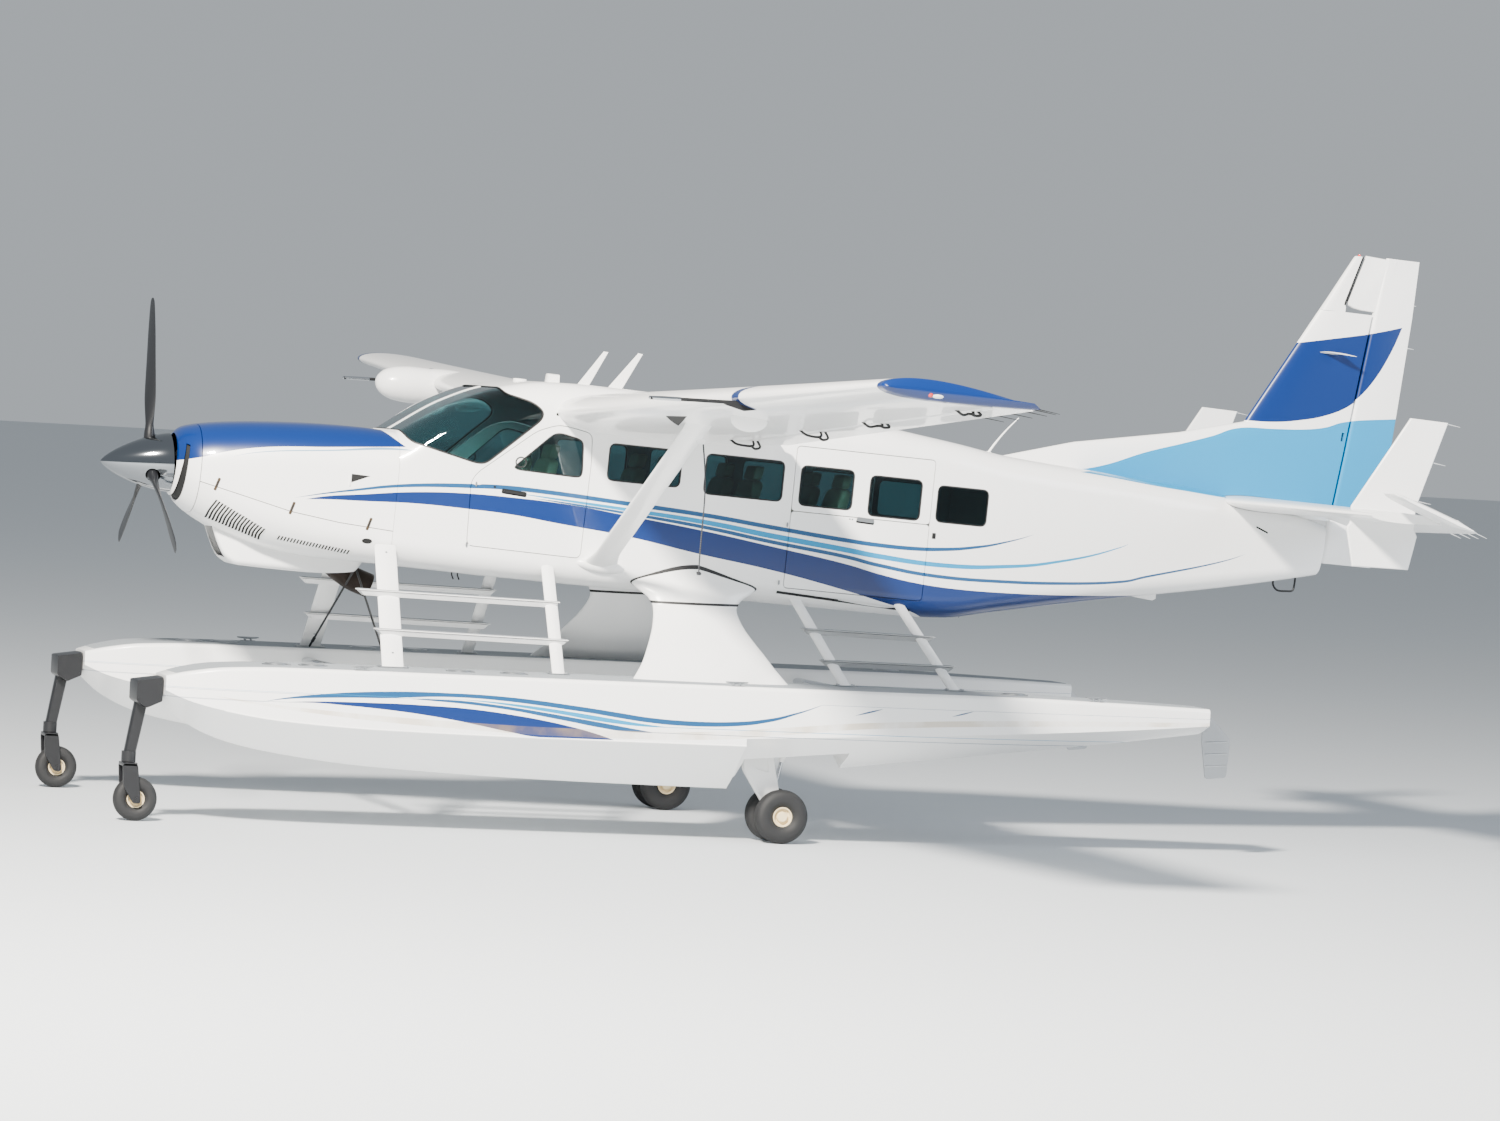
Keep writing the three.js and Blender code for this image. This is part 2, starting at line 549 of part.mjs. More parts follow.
const doorArea = [...doorSeam, [DOOR_REAR, 900], [DOOR_FRONT, 900]];
for (const [side, s] of [["left", -1], ["right", 1]]) {
  const edge = STRIP_HALF + CLEAR;
  const door = cowlWhole.intersect(acrossY(doorArea, s < 0 ? -OUT : edge, s < 0 ? -edge : OUT));
  piece("cowl_door_" + side, hung(door, cowlHinges(s)), BLUE);
}

// Chin stations: x, half width, top, bottom, upper corner radius, lower corner radius
const CHIN = [
  [930, 150, -200, -425, 60, 50],
  [1090, 205, -200, -690, 60, 65],
  [1190, 225, -200, -735, 60, 75],
  [1690, 235, -200, -742, 60, 85],
  [2170, 225, -200, -702, 60, 85],
  [2255, 190, -200, -600, 60, 75],
];
const chinOuter = loft(CHIN.map((station) => bodyRing(station)));
const chinInner = loft(CHIN.map((station) => bodyRing(station, COWL_SKIN)));
const lowerSeam = SEAM.map(([x, z]) => [x, z - CLEAR / 2]);
const lowerArea = acrossY([[BOWL_REAR, -900], ...lowerSeam, [FIREWALL, -900]], -OUT, OUT);
const bodyCore = bodyLoft(BOWL_REAR + GAP, FIREWALL - GAP);
const lowerOuter = bodyCore.add(chinOuter);
const lowerInner = bodyLoft(BOWL_REAR - 1, FIREWALL + 1, COWL_SKIN).add(chinInner);
const exhaustHole = sweep(circle(EXHAUST_RADIUS + 14, 14), exhaustPath, 8);
const intakeMouth = acrossY([[900, -440], [1010, -440], [1100, -668], [1040, -720], [900, -720]], -150, 150);
const lowerCowl = lowerOuter.subtract(lowerInner).intersect(lowerArea).subtract(exhaustHole).subtract(intakeMouth);
piece("cowling_lower", lowerCowl, WHITE);

// Wings. A wing section: leading edge x and z, chord, thickness share and nose-up angle, at distance y
const DIHEDRAL = Math.tan(THREE.MathUtils.degToRad(3));
const ROOT_Y = 830;
const TIP_Y = 7880;
const wingAt = (y) => {
  const share = (y - ROOT_Y) / (TIP_Y - ROOT_Y);
  return {
    y,
    x: 3590 + 390 * share,
    z: 800 + (y - ROOT_Y) * DIHEDRAL,
    chord: 1980 - 760 * share,
    thickness: 0.17 - 0.05 * share,
    camber: 0.16,
    angle: THREE.MathUtils.degToRad(2.6),
  };
};
// Half thickness of a rounded-nose section at share u of the chord, and its camber
const EDGE_HALF = 0.0012; // of the chord, left at the trailing edge
const halfThickness = (u, t) => {
  const polynomial = 0.2969 * Math.sqrt(u) - 0.126 * u - 0.3516 * u ** 2 + 0.2843 * u ** 3 - 0.1036 * u ** 4;
  return 5 * t * polynomial + EDGE_HALF;
};
const camber = (u, section) => section.camber * section.thickness * 4 * u * (1 - u) * (1 - 0.35 * u);
const placeOn = (section, u, height) => {
  const along = u * section.chord;
  const up = height * section.chord;
  const c = Math.cos(section.angle);
  const s = Math.sin(section.angle);
  return new THREE.Vector3(section.x + along * c + up * s, section.y, section.z - along * s + up * c);
};
const NOSE_ARC = [90, 126, 162, 198, 234, 270].map(THREE.MathUtils.degToRad);
const CONTROL_CUT = 0.715; // where the wing ends ahead of its flap and aileron
const NOSE_STEPS = [0, 0.012, 0.05, 0.13, 0.27, 0.45, 0.6, CONTROL_CUT];
// Closed outline from the nose back to share cut, where a flat face ends it
function frontRing(section, cut) {
  const us = [...NOSE_STEPS.filter((u) => u < cut - 0.04), cut];
  const face = (u, way) => placeOn(section, u, camber(u, section) + way * halfThickness(u, section.thickness));
  return [...us.map((u) => face(u, 1)), ...us.slice(1).map((u) => face(u, -1)).reverse()];
}

// Closed outline of a hinged surface: a round nose about its hinge at share from, then back to the edge
function hingedRing(section, from) {
  const r = halfThickness(from, section.thickness);
  const nose = NOSE_ARC.map((angle) => {
    return placeOn(section, from + r * Math.cos(angle), camber(from, section) + r * Math.sin(angle));
  });
  const face = (u, way) => placeOn(section, u, camber(u, section) + way * halfThickness(u, section.thickness));
  return [...nose, face(0.87, -1), face(1, -1), face(1, 1), face(0.87, 1)];
}

const mirrorY = (body) => body.mirror([0, 1, 0]);

const CONTROL_HINGE = CONTROL_CUT + 0.047;
// Hinge lugs of the control surfaces: a slot round the pin line takes each one
const LUG_THICK = 16;
const slotFor = (point, axis) => barAlong(point, axis, LUG_THICK + 2 * GAP, 95, 16);
const finger = (point, axis, foot) => lugFrom(point, axis, LUG_THICK, 15, foot);
const hingePoint = (section) => placeOn(section, CONTROL_HINGE, camber(CONTROL_HINGE, section));
const FLAP_INNER = 930;
const FLAP_OUTER = 4800;
const AILERON_INNER = 4830;
const AILERON_OUTER = 7700;
// Inboard of the flap the section runs full length, as it does at the tip
const bodyClear = bodyLoft(3200, 6400, -GAP);
const tipCap = wingAt(TIP_Y + 45);
const tipSection = { ...tipCap, x: tipCap.x + 40, chord: tipCap.chord - 120, thickness: 0.06 };
const wingWhole = loft([wingAt(560), wingAt(TIP_Y), tipSection].map((s) => frontRing(s, 0.97)));
// The bay of the flap and aileron, open at the back
const BAY = [[CONTROL_CUT, -0.3], [1.3, -0.3], [1.3, 0.3], [CONTROL_CUT, 0.3]];
const bayRing = (section) => BAY.map(([u, h]) => placeOn(section, u, h));
const controlBay = loft([wingAt(FLAP_INNER - 20), wingAt(AILERON_OUTER + 20)].map(bayRing));
const FLAP_LUGS = [1500, 4200];
const AILERON_LUGS = [5300, 7200];
const flapAxis = hingePoint(wingAt(FLAP_OUTER)).sub(hingePoint(wingAt(FLAP_INNER)));
const aileronAxis = hingePoint(wingAt(AILERON_OUTER)).sub(hingePoint(wingAt(AILERON_INNER)));
const wingLug = (y, axis) => {
  const section = wingAt(y);
  return finger(hingePoint(section), axis, placeOn(section, CONTROL_CUT - 0.02, camber(CONTROL_CUT, section)));
};
const flapLugs = FLAP_LUGS.map((y) => wingLug(y, flapAxis));
const aileronLugs = AILERON_LUGS.map((y) => wingLug(y, aileronAxis));
const wingLugs = [...flapLugs, ...aileronLugs];
const wingPanel = join(wingWhole.subtract(controlBay), ...wingLugs).subtract(bodyClear);
// Radar pod on the starboard wing: its nose stands ahead of the leading edge and its axis a little below,
// and a rounded fairing covers the wing's nose behind it
const POD = { y: 4200, ahead: 508, below: 47 };
const podProfile = [[0, 0], [25, 68], [90, 122], [200, 155], [330, 166], [470, 162], [560, 150], [580, 138], [600, 0]];
const podWing = wingAt(POD.y);
const pod = turned(podProfile, 16).translate([podWing.x - POD.ahead, POD.y, podWing.z - POD.below]);
const fairingBall = new THREE.SphereGeometry(1, 14, 8).scale(360, 150, 105);
const podFairing = solid(fairingBall.translate(podWing.x + 130, POD.y, podWing.z + 20));
piece("wing_left", mirrorY(wingPanel), WHITE);
piece("wing_right", join(wingPanel, pod, podFairing), WHITE);

// A hinged surface between two distances, slotted for its lugs
function hingedSurface(inner, outer, lugs, axis) {
  const whole = loft([wingAt(inner), wingAt(outer)].map((section) => hingedRing(section, CONTROL_HINGE)));
  return lugs.reduce((cut, y) => cut.subtract(slotFor(hingePoint(wingAt(y)), axis)), whole);
}

const flap = hingedSurface(FLAP_INNER, FLAP_OUTER, FLAP_LUGS, flapAxis);
const aileron = hingedSurface(AILERON_INNER, AILERON_OUTER, AILERON_LUGS, aileronAxis);
// The flap stops short of the body, whose side it passes
for (const [side, put] of [["left", mirrorY], ["right", (body) => body]]) {
  piece("flap_" + side, put(flap), WHITE);
  piece("aileron_" + side, put(aileron), WHITE);
}

// Wing struts: one streamlined tube a side, from the lower side of the body to the wing's front spar
const STRUT_LOW = new THREE.Vector3(4085, 812, -430);
const STRUT_HIGH = new THREE.Vector3(4150, 2900, 745);
function streamlined(centre, chord, thickness, count = 12) {
  return Array.from({ length: count }, (_, i) => {
    const turn = (2 * Math.PI * i) / count;
    const along = Math.cos(turn);
    const taper = along > 0 ? 1 - 0.35 * along : 1;
    const high = (thickness / 2) * Math.sin(turn) * taper;
    return new THREE.Vector3(centre.x + (chord / 2) * along, centre.y, centre.z + high);
  });
}

// Strut stations: share of its length, chord and thickness
const STRUT = [[-0.06, 300, 120], [0.03, 260, 90], [0.09, 205, 66], [0.93, 205, 66], [1.08, 230, 70]];
const strutTube = loft(STRUT.map(([share, chord, thickness]) => {
  return streamlined(new THREE.Vector3().lerpVectors(STRUT_LOW, STRUT_HIGH, share), chord, thickness);
}));
// The wing's lower face is the strut's seat at one end, and the body's side at the other
const strutBody = strutTube.subtract(bodyClear).subtract(wingPanel.translate([0, 0, -GAP])).subtract(wingPanel);
// A lug behind the port strut's head holds a short rope
const LUG = { x: 4262, y: -2790, z: 640 };
const lug = block(LUG.x - 60, LUG.x + 14, LUG.y - 7, LUG.y + 7, LUG.z, LUG.z + 40);
piece("wing_strut_left", join(mirrorY(strutBody), lug), WHITE);
piece("wing_strut_right", strutBody, WHITE);

// Tail: cone, fin, rudder, stabilizer with end-plate finlets, elevators
const RUDDER_FOOT = new THREE.Vector3(10850, 0, 160);
const RUDDER_HEAD = new THREE.Vector3(11114, 0, 2404);
const RUDDER_LEAN = (RUDDER_HEAD.x - RUDDER_FOOT.x) / (RUDDER_HEAD.z - RUDDER_FOOT.z);
const hingeX = (z) => RUDDER_FOOT.x + (z - RUDDER_FOOT.z) * RUDDER_LEAN;
// A thin upright section at height z, from x0 to x1
function uprightRing(z, x0, x1, half) {
  const shares = [0, 0.04, 0.15, 0.4, 0.75, 1];
  const wide = [0, 0.5, 0.82, 1, 0.98, 0.9];
  const at = (i, s) => {
    const out = Math.max(wide[i] * half, i ? 1 : 0);
    return new THREE.Vector3(x0 + (x1 - x0) * shares[i], s * out, z);
  };
  const starboard = shares.map((_, i) => at(i, 1));
  const port = shares.slice(1).map((_, i) => at(i + 1, -1));
  return [...starboard, ...port.reverse()];
}

const RUDDER_GAP = 12;
const RUDDER_NOSE = 48;
// Fin stations: height, leading edge x, half thickness; the hinge line ends each one, but the last two,
// which end ahead of the rudder's horn
const FIN = [
  [560, 7700, FIN_HALF],
  [800, 7700, FIN_HALF],
  [1010, 8430, FIN_HALF],
  [1190, 9380, FIN_HALF],
  [1345, 9975, 58],
  [2385, 10568, 48],
  [2470, 10618, 42, 10800],
  [2905, 10862, 26, 10938],
];
const finBase = loft(FIN.map(([z, x, half, rear]) => {
  return uprightRing(z, x, rear ?? hingeX(z) - RUDDER_NOSE - RUDDER_GAP, half);
}));
const tailClear = bodyLoft(7000, 10815, -GAP);
const NOTCH = [[10795, 2385], [11400, 2385], [11400, 3000], [10945, 3000], [10930, 2905], [10795, 2470]];
const finNotch = acrossY(NOTCH, -200, 200);
const rudderAxis = RUDDER_HEAD.clone().sub(RUDDER_FOOT);
const RUDDER_LUGS = [1000, 2150];
const onHinge = (z) => vec(hingeX(z), 0, z);
const finLugs = RUDDER_LUGS.map((z) => {
  return finger(onHinge(z), rudderAxis, vec(hingeX(z) - RUDDER_NOSE - RUDDER_GAP - 20, 0, z));
});
const finBody = join(finBase.subtract(finNotch).subtract(tailClear), ...finLugs);

// Stabilizer: two tapered halves in one piece through the cone
const STAB_Z = 640;
const STAB_HINGE_X = 10690;
const STAB_TIP_Y = 3125;
const HORN_Y = 2860;
const ELEVATOR_NOSE = 36;
const STAB_FRONT = 9760; // leading edge at the middle, and how far it runs aft by the tip
const STAB_SWEEP = 300;
const STAB_CUT = 0.72; // share of the whole section's chord that is fixed
const stabAt = (y) => {
  const share = y / STAB_TIP_Y;
  const front = STAB_FRONT + STAB_SWEEP * share;
  const chord = (STAB_HINGE_X - ELEVATOR_NOSE - 8 - front) / STAB_CUT;
  return { y, x: front, z: STAB_Z, chord, thickness: 0.1, camber: 0, angle: 0 };
};
const stabHalf = loft([stabAt(0), stabAt(HORN_Y - 12)].map((s) => frontRing(s, STAB_CUT)));
const stabWhole = join(stabHalf, mirrorY(stabHalf));
const FINLET_Y = 2340;
// Finlet outline in the side view: above the stabilizer, then below it
const FINLET = [
  [10060, 560], [10056, 700], [10508, 1480], [10852, 1474], [10640, 740], [10640, 560], [10676, 500], [10626, 215],
  [10120, 200], [10034, 520],
];
const finlet = acrossY(FINLET, FINLET_Y - 15, FINLET_Y + 15);
const ELEVATOR_LUGS = [1300, 2600];
const stabLugs = ELEVATOR_LUGS.flatMap((y) => [-y, y]).map((y) => {
  return finger(vec(STAB_HINGE_X, y, STAB_Z), vec(0, 1, 0), vec(STAB_HINGE_X - ELEVATOR_NOSE - 30, y, STAB_Z));
});
const stabBody = join(stabWhole, finlet, mirrorY(finlet), ...stabLugs);
const TORQUE_TUBE = 26;
const tubeAt = vec(STAB_HINGE_X, 0, STAB_Z);
const tubeBore = barAlong(tubeAt, vec(0, 1, 0), 400, TORQUE_TUBE + 0.8, 24);
const stabMoved = [[0, GAP], [0, -GAP], [GAP, 0], [-GAP, 0]].map(([x, z]) => stabWhole.translate([x, 0, z]));
const tailCut = join(...stabMoved, tubeBore);
piece("fin", finBody.subtract(tailCut), WHITE);
piece("stabilizer", stabBody, WHITE);
// The cone ends along the rudder's hinge line
const coneEnd = (z) => [hingeX(z) - RUDDER_NOSE - RUDDER_GAP, z];
const rudderSpace = acrossY([coneEnd(-200), [11500, -200], [11500, 700], coneEnd(700)], -300, 300);
piece("tail_cone", bodyLoft(TAIL_START, 10810).subtract(tailCut).subtract(rudderSpace), WHITE);

// Elevators hang down a little, as they do with the controls free
const DROOP = THREE.MathUtils.degToRad(18);
function elevatorRing(y, rear, half) {
  const x0 = STAB_HINGE_X;
  const nose = NOSE_ARC.map((angle) => new THREE.Vector3(x0 + half * Math.cos(angle), y, half * Math.sin(angle)));
  const lower = [new THREE.Vector3(x0 + 130, y, -half * 0.8), new THREE.Vector3(rear, y, -2)];
  const upper = [new THREE.Vector3(rear, y, 2), new THREE.Vector3(x0 + 130, y, half * 0.8)];
  return [...nose, ...lower, ...upper];
}

const ELEVATOR_INNER = 150;
const hornEnd = STAB_TIP_Y - 40;
const elevatorMain = loft([
  elevatorRing(ELEVATOR_INNER, 11120, ELEVATOR_NOSE),
  elevatorRing(HORN_Y, 10918, ELEVATOR_NOSE - 4),
  elevatorRing(hornEnd, 10890, 30),
  elevatorRing(STAB_TIP_Y, 10840, 14),
]);
// Horn stations: distance y, half thickness, front x
const HORN = [[HORN_Y, 28, 10085], [hornEnd, 26, 10085], [STAB_TIP_Y, 12, 10145]];
const horn = loft(HORN.map(([y, half, front]) => {
  const upper = [[front, 4], [front + 75, half * 0.8], [10400, half], [STAB_HINGE_X + 20, half]];
  const lower = upper.map(([x, z]) => [x, -z]).reverse();
  return [...upper, ...lower].map(([x, z]) => new THREE.Vector3(x, y, z));
}));
const torqueTube = barAlong(vec(STAB_HINGE_X, 0, 0), vec(0, 1, 0), 2 * ELEVATOR_INNER + 60, TORQUE_TUBE, 24);
const elevatorLugs = ELEVATOR_LUGS.flatMap((y) => [-y, y]);
const elevatorSlots = elevatorLugs.map((y) => slotFor(vec(STAB_HINGE_X, y, 0), vec(0, 1, 0)));
const elevatorHalf = join(elevatorMain, horn);
const elevatorSolid = join(elevatorHalf, mirrorY(elevatorHalf), torqueTube).subtract(join(...elevatorSlots));
function drooped(body) {
  const turnDegrees = THREE.MathUtils.radToDeg(DROOP);
  return body.translate([-STAB_HINGE_X, 0, 0]).rotate([0, turnDegrees, 0]).translate([STAB_HINGE_X, 0, STAB_Z]);
}

piece("elevators", drooped(elevatorSolid), WHITE);

// Rudder with its horn ahead of the hinge at the top
function rudderRing(z, rear, half) {
  const x0 = hingeX(z);
  const nose = NOSE_ARC.map((angle) => new THREE.Vector3(x0 + half * Math.cos(angle), half * Math.sin(angle), z));
  return [...nose, new THREE.Vector3(rear, -3, z), new THREE.Vector3(rear, 3, z)];
}

// Rudder stations: height, trailing edge and half thickness at the hinge
const RUDDER = [[190, 11300, RUDDER_NOSE], [640, 11340, RUDDER_NOSE], [2390, 11448, 42], [2895, 11462, 24]];
const rudderMain = loft(RUDDER.map((station) => rudderRing(...station)));
const hornPlate = acrossY([[10838, 2480], [11150, 2415], [11250, 2880], [10985, 2900]], -24, 24);
const rudderSlots = RUDDER_LUGS.map((z) => slotFor(onHinge(z), rudderAxis));
piece("rudder", join(rudderMain, hornPlate).subtract(join(...rudderSlots)), WHITE);

// Floats. Level, so they hang on the root group. Stations: x, half width, deck drop, chine depth, keel depth
const HULL = [
  [250, 215, 115, 230, 330],
  [420, 300, 70, 300, 470],
  [700, 375, 25, 365, 600],
  [1150, 430, 5, 425, 700],
  [2000, 468, 0, 465, 790],
  [3600, 480, 0, 480, 845],
  [5000, 480, 0, 480, 860],
];
const AFTERBODY = [
  [5000, 480, 0, 420, 770],
  [6000, 462, 0, 372, 655],
  [7200, 415, 0, 310, 510],
  [8400, 320, 20, 235, 360],
  [9115, 240, 40, 180, 262],
];
const floats = new THREE.Group();
floats.position.z = DECK_HEIGHT;
root.add(floats);
function hullRing([x, half, drop, chine, keel]) {
  const deckRound = 34;
  const outline = [
    [half - deckRound, -drop],
    [half, -drop - deckRound],
    [half, -chine],
    [half * 0.45, -(chine + (keel - chine) * 0.62)],
    [0, -keel],
  ];
  const port = outline.slice(0, 4).map(([y, z]) => [-y, z]).reverse();
  return [...outline, ...port].map(([y, z]) => new THREE.Vector3(x, y, z));
}

const hullWhole = join(loft(HULL.map(hullRing)), loft(AFTERBODY.map(hullRing)));
const WHEEL_X = 5440;
const WELL = { front: 5060, rear: 5960, half: 250, roof: 330 };
const mainWell = block(WELL.front, WELL.rear, -WELL.half, WELL.half, -1200, -WELL.roof);
const WATER_PIVOT = 9115 + 60;
const gudgeon = block(9060, WATER_PIVOT + 24, -26, 26, -105 + GAP, -84);
const hullBody = join(hullWhole.subtract(mainWell), gudgeon);

// Wheel from [offset along the axle, radius] points, turned about the y axis
function wheelSolid(profile, segments) {
  const geometry = new THREE.LatheGeometry(profile.map(([y, r]) => new THREE.Vector2(r, y)), segments);
  const made = solid(geometry);
  return made.volume() < 0 ? solid(geometry.scale(1, -1, 1)) : made;
}

// Tyre section, round over the tread and open inside: width, radius, rim radius
function tyreProfile(width, radius, bead) {
  const w = width / 2;
  const crown = 0.42 * (radius - bead);
  const starboard = [
    [w * 0.42, radius - crown * 0.06],
    [w * 0.82, radius - crown * 0.42],
    [w, radius - crown * 1.15],
    [w * 0.94, bead + 0.28 * (radius - bead)],
    [w * 0.62, bead],
  ];
  const port = starboard.map(([y, r]) => [-y, r]).reverse();
  return [...port, [0, radius], ...starboard, port[0]];
}

const WHEEL_SIDES = 24;
const NOSE_WHEEL = { x: 92, radius: 176, width: 126, bead: 72 };
const MAIN_WHEEL = { radius: 222, width: 158, bead: 82, apart: 132 };

for (const [side, sign] of [["left", -1], ["right", 1]]) {
  const one = new THREE.Group();
  one.position.y = sign * FLOAT_CENTRE;
  floats.add(one);
  const ground = -DECK_HEIGHT;
  piece("float_hull_" + side, hullBody, WHITE, one);

  // Nose gear: black box on the bow, leg, castor fork, wheel
  const noseAxle = new THREE.Vector3(NOSE_WHEEL.x, 0, ground + NOSE_WHEEL.radius);
  const PIVOT = { x: 24, z: ground + 470 };
  const boxFront = 24;
  const boxRear = 250 - GAP;
  const bowOutline = [[boxFront, -160], [boxRear, -125], [boxRear, -330], [120, -390], [boxFront, -330]];
  const bowBox = acrossY(bowOutline, -150, 150);
  const legFoot = PIVOT.z + 40;
  const leg = acrossY([[60, -250], [160, -300], [PIVOT.x + 48, legFoot], [PIVOT.x - 48, legFoot]], -42, 42);
  const collar = block(PIVOT.x - 60, PIVOT.x + 60, -60, 60, PIVOT.z, PIVOT.z + 90);
  piece("nose_leg_" + side, join(bowBox, leg, collar), BLACK_PAINT, one);
  const forkTop = PIVOT.z - GAP;
  const cheekIn = NOSE_WHEEL.width / 2 + 12;
  const cheekOut = cheekIn + 22;
  const crown = block(PIVOT.x - 62, PIVOT.x + 62, -cheekOut, cheekOut, forkTop - 34, forkTop);
  const cheekOutline = [
    [PIVOT.x - 62, forkTop - 10],
    [PIVOT.x + 62, forkTop - 10],
    [noseAxle.x + 34, noseAxle.z - 34],
    [noseAxle.x - 34, noseAxle.z - 34],
    [PIVOT.x - 50, noseAxle.z + 110],
  ];
  const cheek = acrossY(cheekOutline, cheekIn, cheekOut);
  const AXLE_RADIUS = 14;
  const axle = barAlong(noseAxle, vec(0, 1, 0), 2 * cheekOut, AXLE_RADIUS);
  piece("nose_fork_" + side, join(crown, cheek, mirrorY(cheek), axle), BLACK_PAINT, one);
  const rimHalf = 40;
  const seat = NOSE_WHEEL.bead - GAP;
  const flange = NOSE_WHEEL.bead - 10;
  const rimSide = [[18, flange], [14, 44], [rimHalf, 34], [rimHalf, AXLE_RADIUS + GAP]];
  const rimPort = rimSide.map(([y, r]) => [-y, r]).reverse();
  const rimSeat = [[-rimHalf, flange], [-rimHalf, seat], [rimHalf, seat], [rimHalf, flange]];
  const rimOutline = [...rimPort, ...rimSeat, ...rimSide, rimPort[0]];
  const noseRim = wheelSolid(rimOutline, WHEEL_SIDES);
  piece("nose_wheel_" + side, noseRim.translate([noseAxle.x, 0, noseAxle.z]), CREAM, one);
  const noseTyre = wheelSolid(tyreProfile(NOSE_WHEEL.width, NOSE_WHEEL.radius, NOSE_WHEEL.bead), WHEEL_SIDES);
  piece("nose_tyre_" + side, noseTyre.translate([noseAxle.x, 0, noseAxle.z]), RUBBER, one);

  // Main gear: a trailing arm from the roof of the well carries the axle of twin wheels
  const axleZ = ground + MAIN_WHEEL.radius;
  const MAIN_AXLE = 24;
  const armOutline = [
    [5130, -WELL.roof - GAP],
    [5330, -WELL.roof - GAP],
    [WHEEL_X + 46, axleZ + 40],
    [WHEEL_X + 40, axleZ - 40],
    [WHEEL_X - 40, axleZ - 44],
    [5120, -690],
  ];
  const arm = acrossY(armOutline, -34, 34);
  const axleBore = barAlong(vec(WHEEL_X, 0, axleZ), vec(0, 1, 0), 200, MAIN_AXLE + 0.7, 24);
  piece("main_leg_" + side, arm.subtract(axleBore), WHITE, one);
  const axleOut = MAIN_WHEEL.apart + 46;
  const mainAxle = solid(new THREE.CylinderGeometry(MAIN_AXLE, MAIN_AXLE, 2 * axleOut, 24));
  const hubIn = 46 - MAIN_WHEEL.apart; // the hub's inner face, beside the arm
  const rim = wheelSolid([
    [hubIn, 0], [hubIn, 44], [-50, 50], [-50, MAIN_WHEEL.bead - GAP], [50, MAIN_WHEEL.bead - GAP],
    [50, MAIN_WHEEL.bead - 12], [20, MAIN_WHEEL.bead - 12], [16, 46], [46, 40], [46, 0],
  ], WHEEL_SIDES);
  const outerRim = rim.translate([0, MAIN_WHEEL.apart, 0]);
  const rims = join(mainAxle, outerRim, mirrorY(outerRim));
  piece("main_wheels_" + side, rims.translate([WHEEL_X, 0, axleZ]), CREAM, one);
  const mainTyre = wheelSolid(tyreProfile(MAIN_WHEEL.width, MAIN_WHEEL.radius, MAIN_WHEEL.bead), WHEEL_SIDES);
  for (const [place, s] of [["inner", -sign], ["outer", sign]]) {
    const tyre = mainTyre.translate([WHEEL_X, s * MAIN_WHEEL.apart, axleZ]);
    piece("main_tyre_" + side + "_" + place, tyre, RUBBER, one);
  }

  // Water rudder on the stern, blade down
  const bladeOutline = [[-30, -110], [40, -110], [230, -300], [210, -620], [20, -640], [-30, -320]];
  const bladePlate = acrossY(bladeOutline.map(([x, z]) => [WATER_PIVOT + x, z]), -7, 7);
  const post = block(WATER_PIVOT - 34, WATER_PIVOT + 22, -20, 20, -235, -105);
  piece("water_rudder_" + side, join(bladePlate, post), BARE_METAL, one);
}

// What joins the floats to the body. In the floats' own axes, with z = 0 at the decks.
const toFloats = (body) => body.rotate([0, THREE.MathUtils.radToDeg(NOSE_UP), 0]).translate([0, 0, DECK_BELOW_NOSE]);
const bodyInFloats = toFloats(bodyLoft(1500, CABIN_REAR, -GAP));
const hullsBelow = block(-1000, 10000, -3000, 3000, -2000, GAP);

// Pylon stations: height, centre x, centre y, chord, thickness
const PYLON = [
  [980, 4900, 560, 1180, 480],
  [800, 4900, 735, 1170, 330],
  [715, 4885, 825, 1010, 290],
  [640, 4868, 895, 800, 230],
  [570, 4860, 945, 725, 200],
  [170, 4850, 1410, 1080, 210],
  [0, 4835, 1600, 1330, 240],
];
const streamRing = (z, x, y, chord, thickness, count = 16) => {
  return Array.from({ length: count }, (_, i) => {
    const turn = (2 * Math.PI * i) / count;
    const along = Math.cos(turn);
    const taper = along > 0 ? 1 - 0.3 * along : 1;
    return new THREE.Vector3(x + (chord / 2) * along, y + (thickness / 2) * Math.sin(turn) * taper, z);
  });
};
const pylon = loft(PYLON.map((station) => streamRing(...station))).subtract(bodyInFloats).subtract(hullsBelow);
piece("pylon_left", mirrorY(pylon), WHITE, floats);
piece("pylon_right", pylon, WHITE, floats);

// Boarding ladders: two streamlined rails a side with two steps between, fore and aft of the pylon. The aft
// one is on the port side only. Each: top and foot as height and y, then per rail top x, foot x and chord;
// steps as height and x of the front end, then of the rear end
const LADDERS = {
  front: {
    sides: ["left", "right"],
    top: [970, 719], foot: [0, 1465],
    rails: [[2252, 2188, 180], [3618, 3576, 106]],
    steps: [[612, 1968, 579, 3664], [306, 2081, 280, 3690]],
    stepWidth: 150,
  },
  aft: {
    sides: ["left"],
    top: [820, 620], foot: [0, 1440],
    rails: [[5731, 6046, 100], [6634, 7003, 100]],
    steps: [[451, 5790, 430, 6941], [205, 5889, 201, 7052]],
    stepWidth: 130,
  },
};
const STEP_DEPTH = 52;
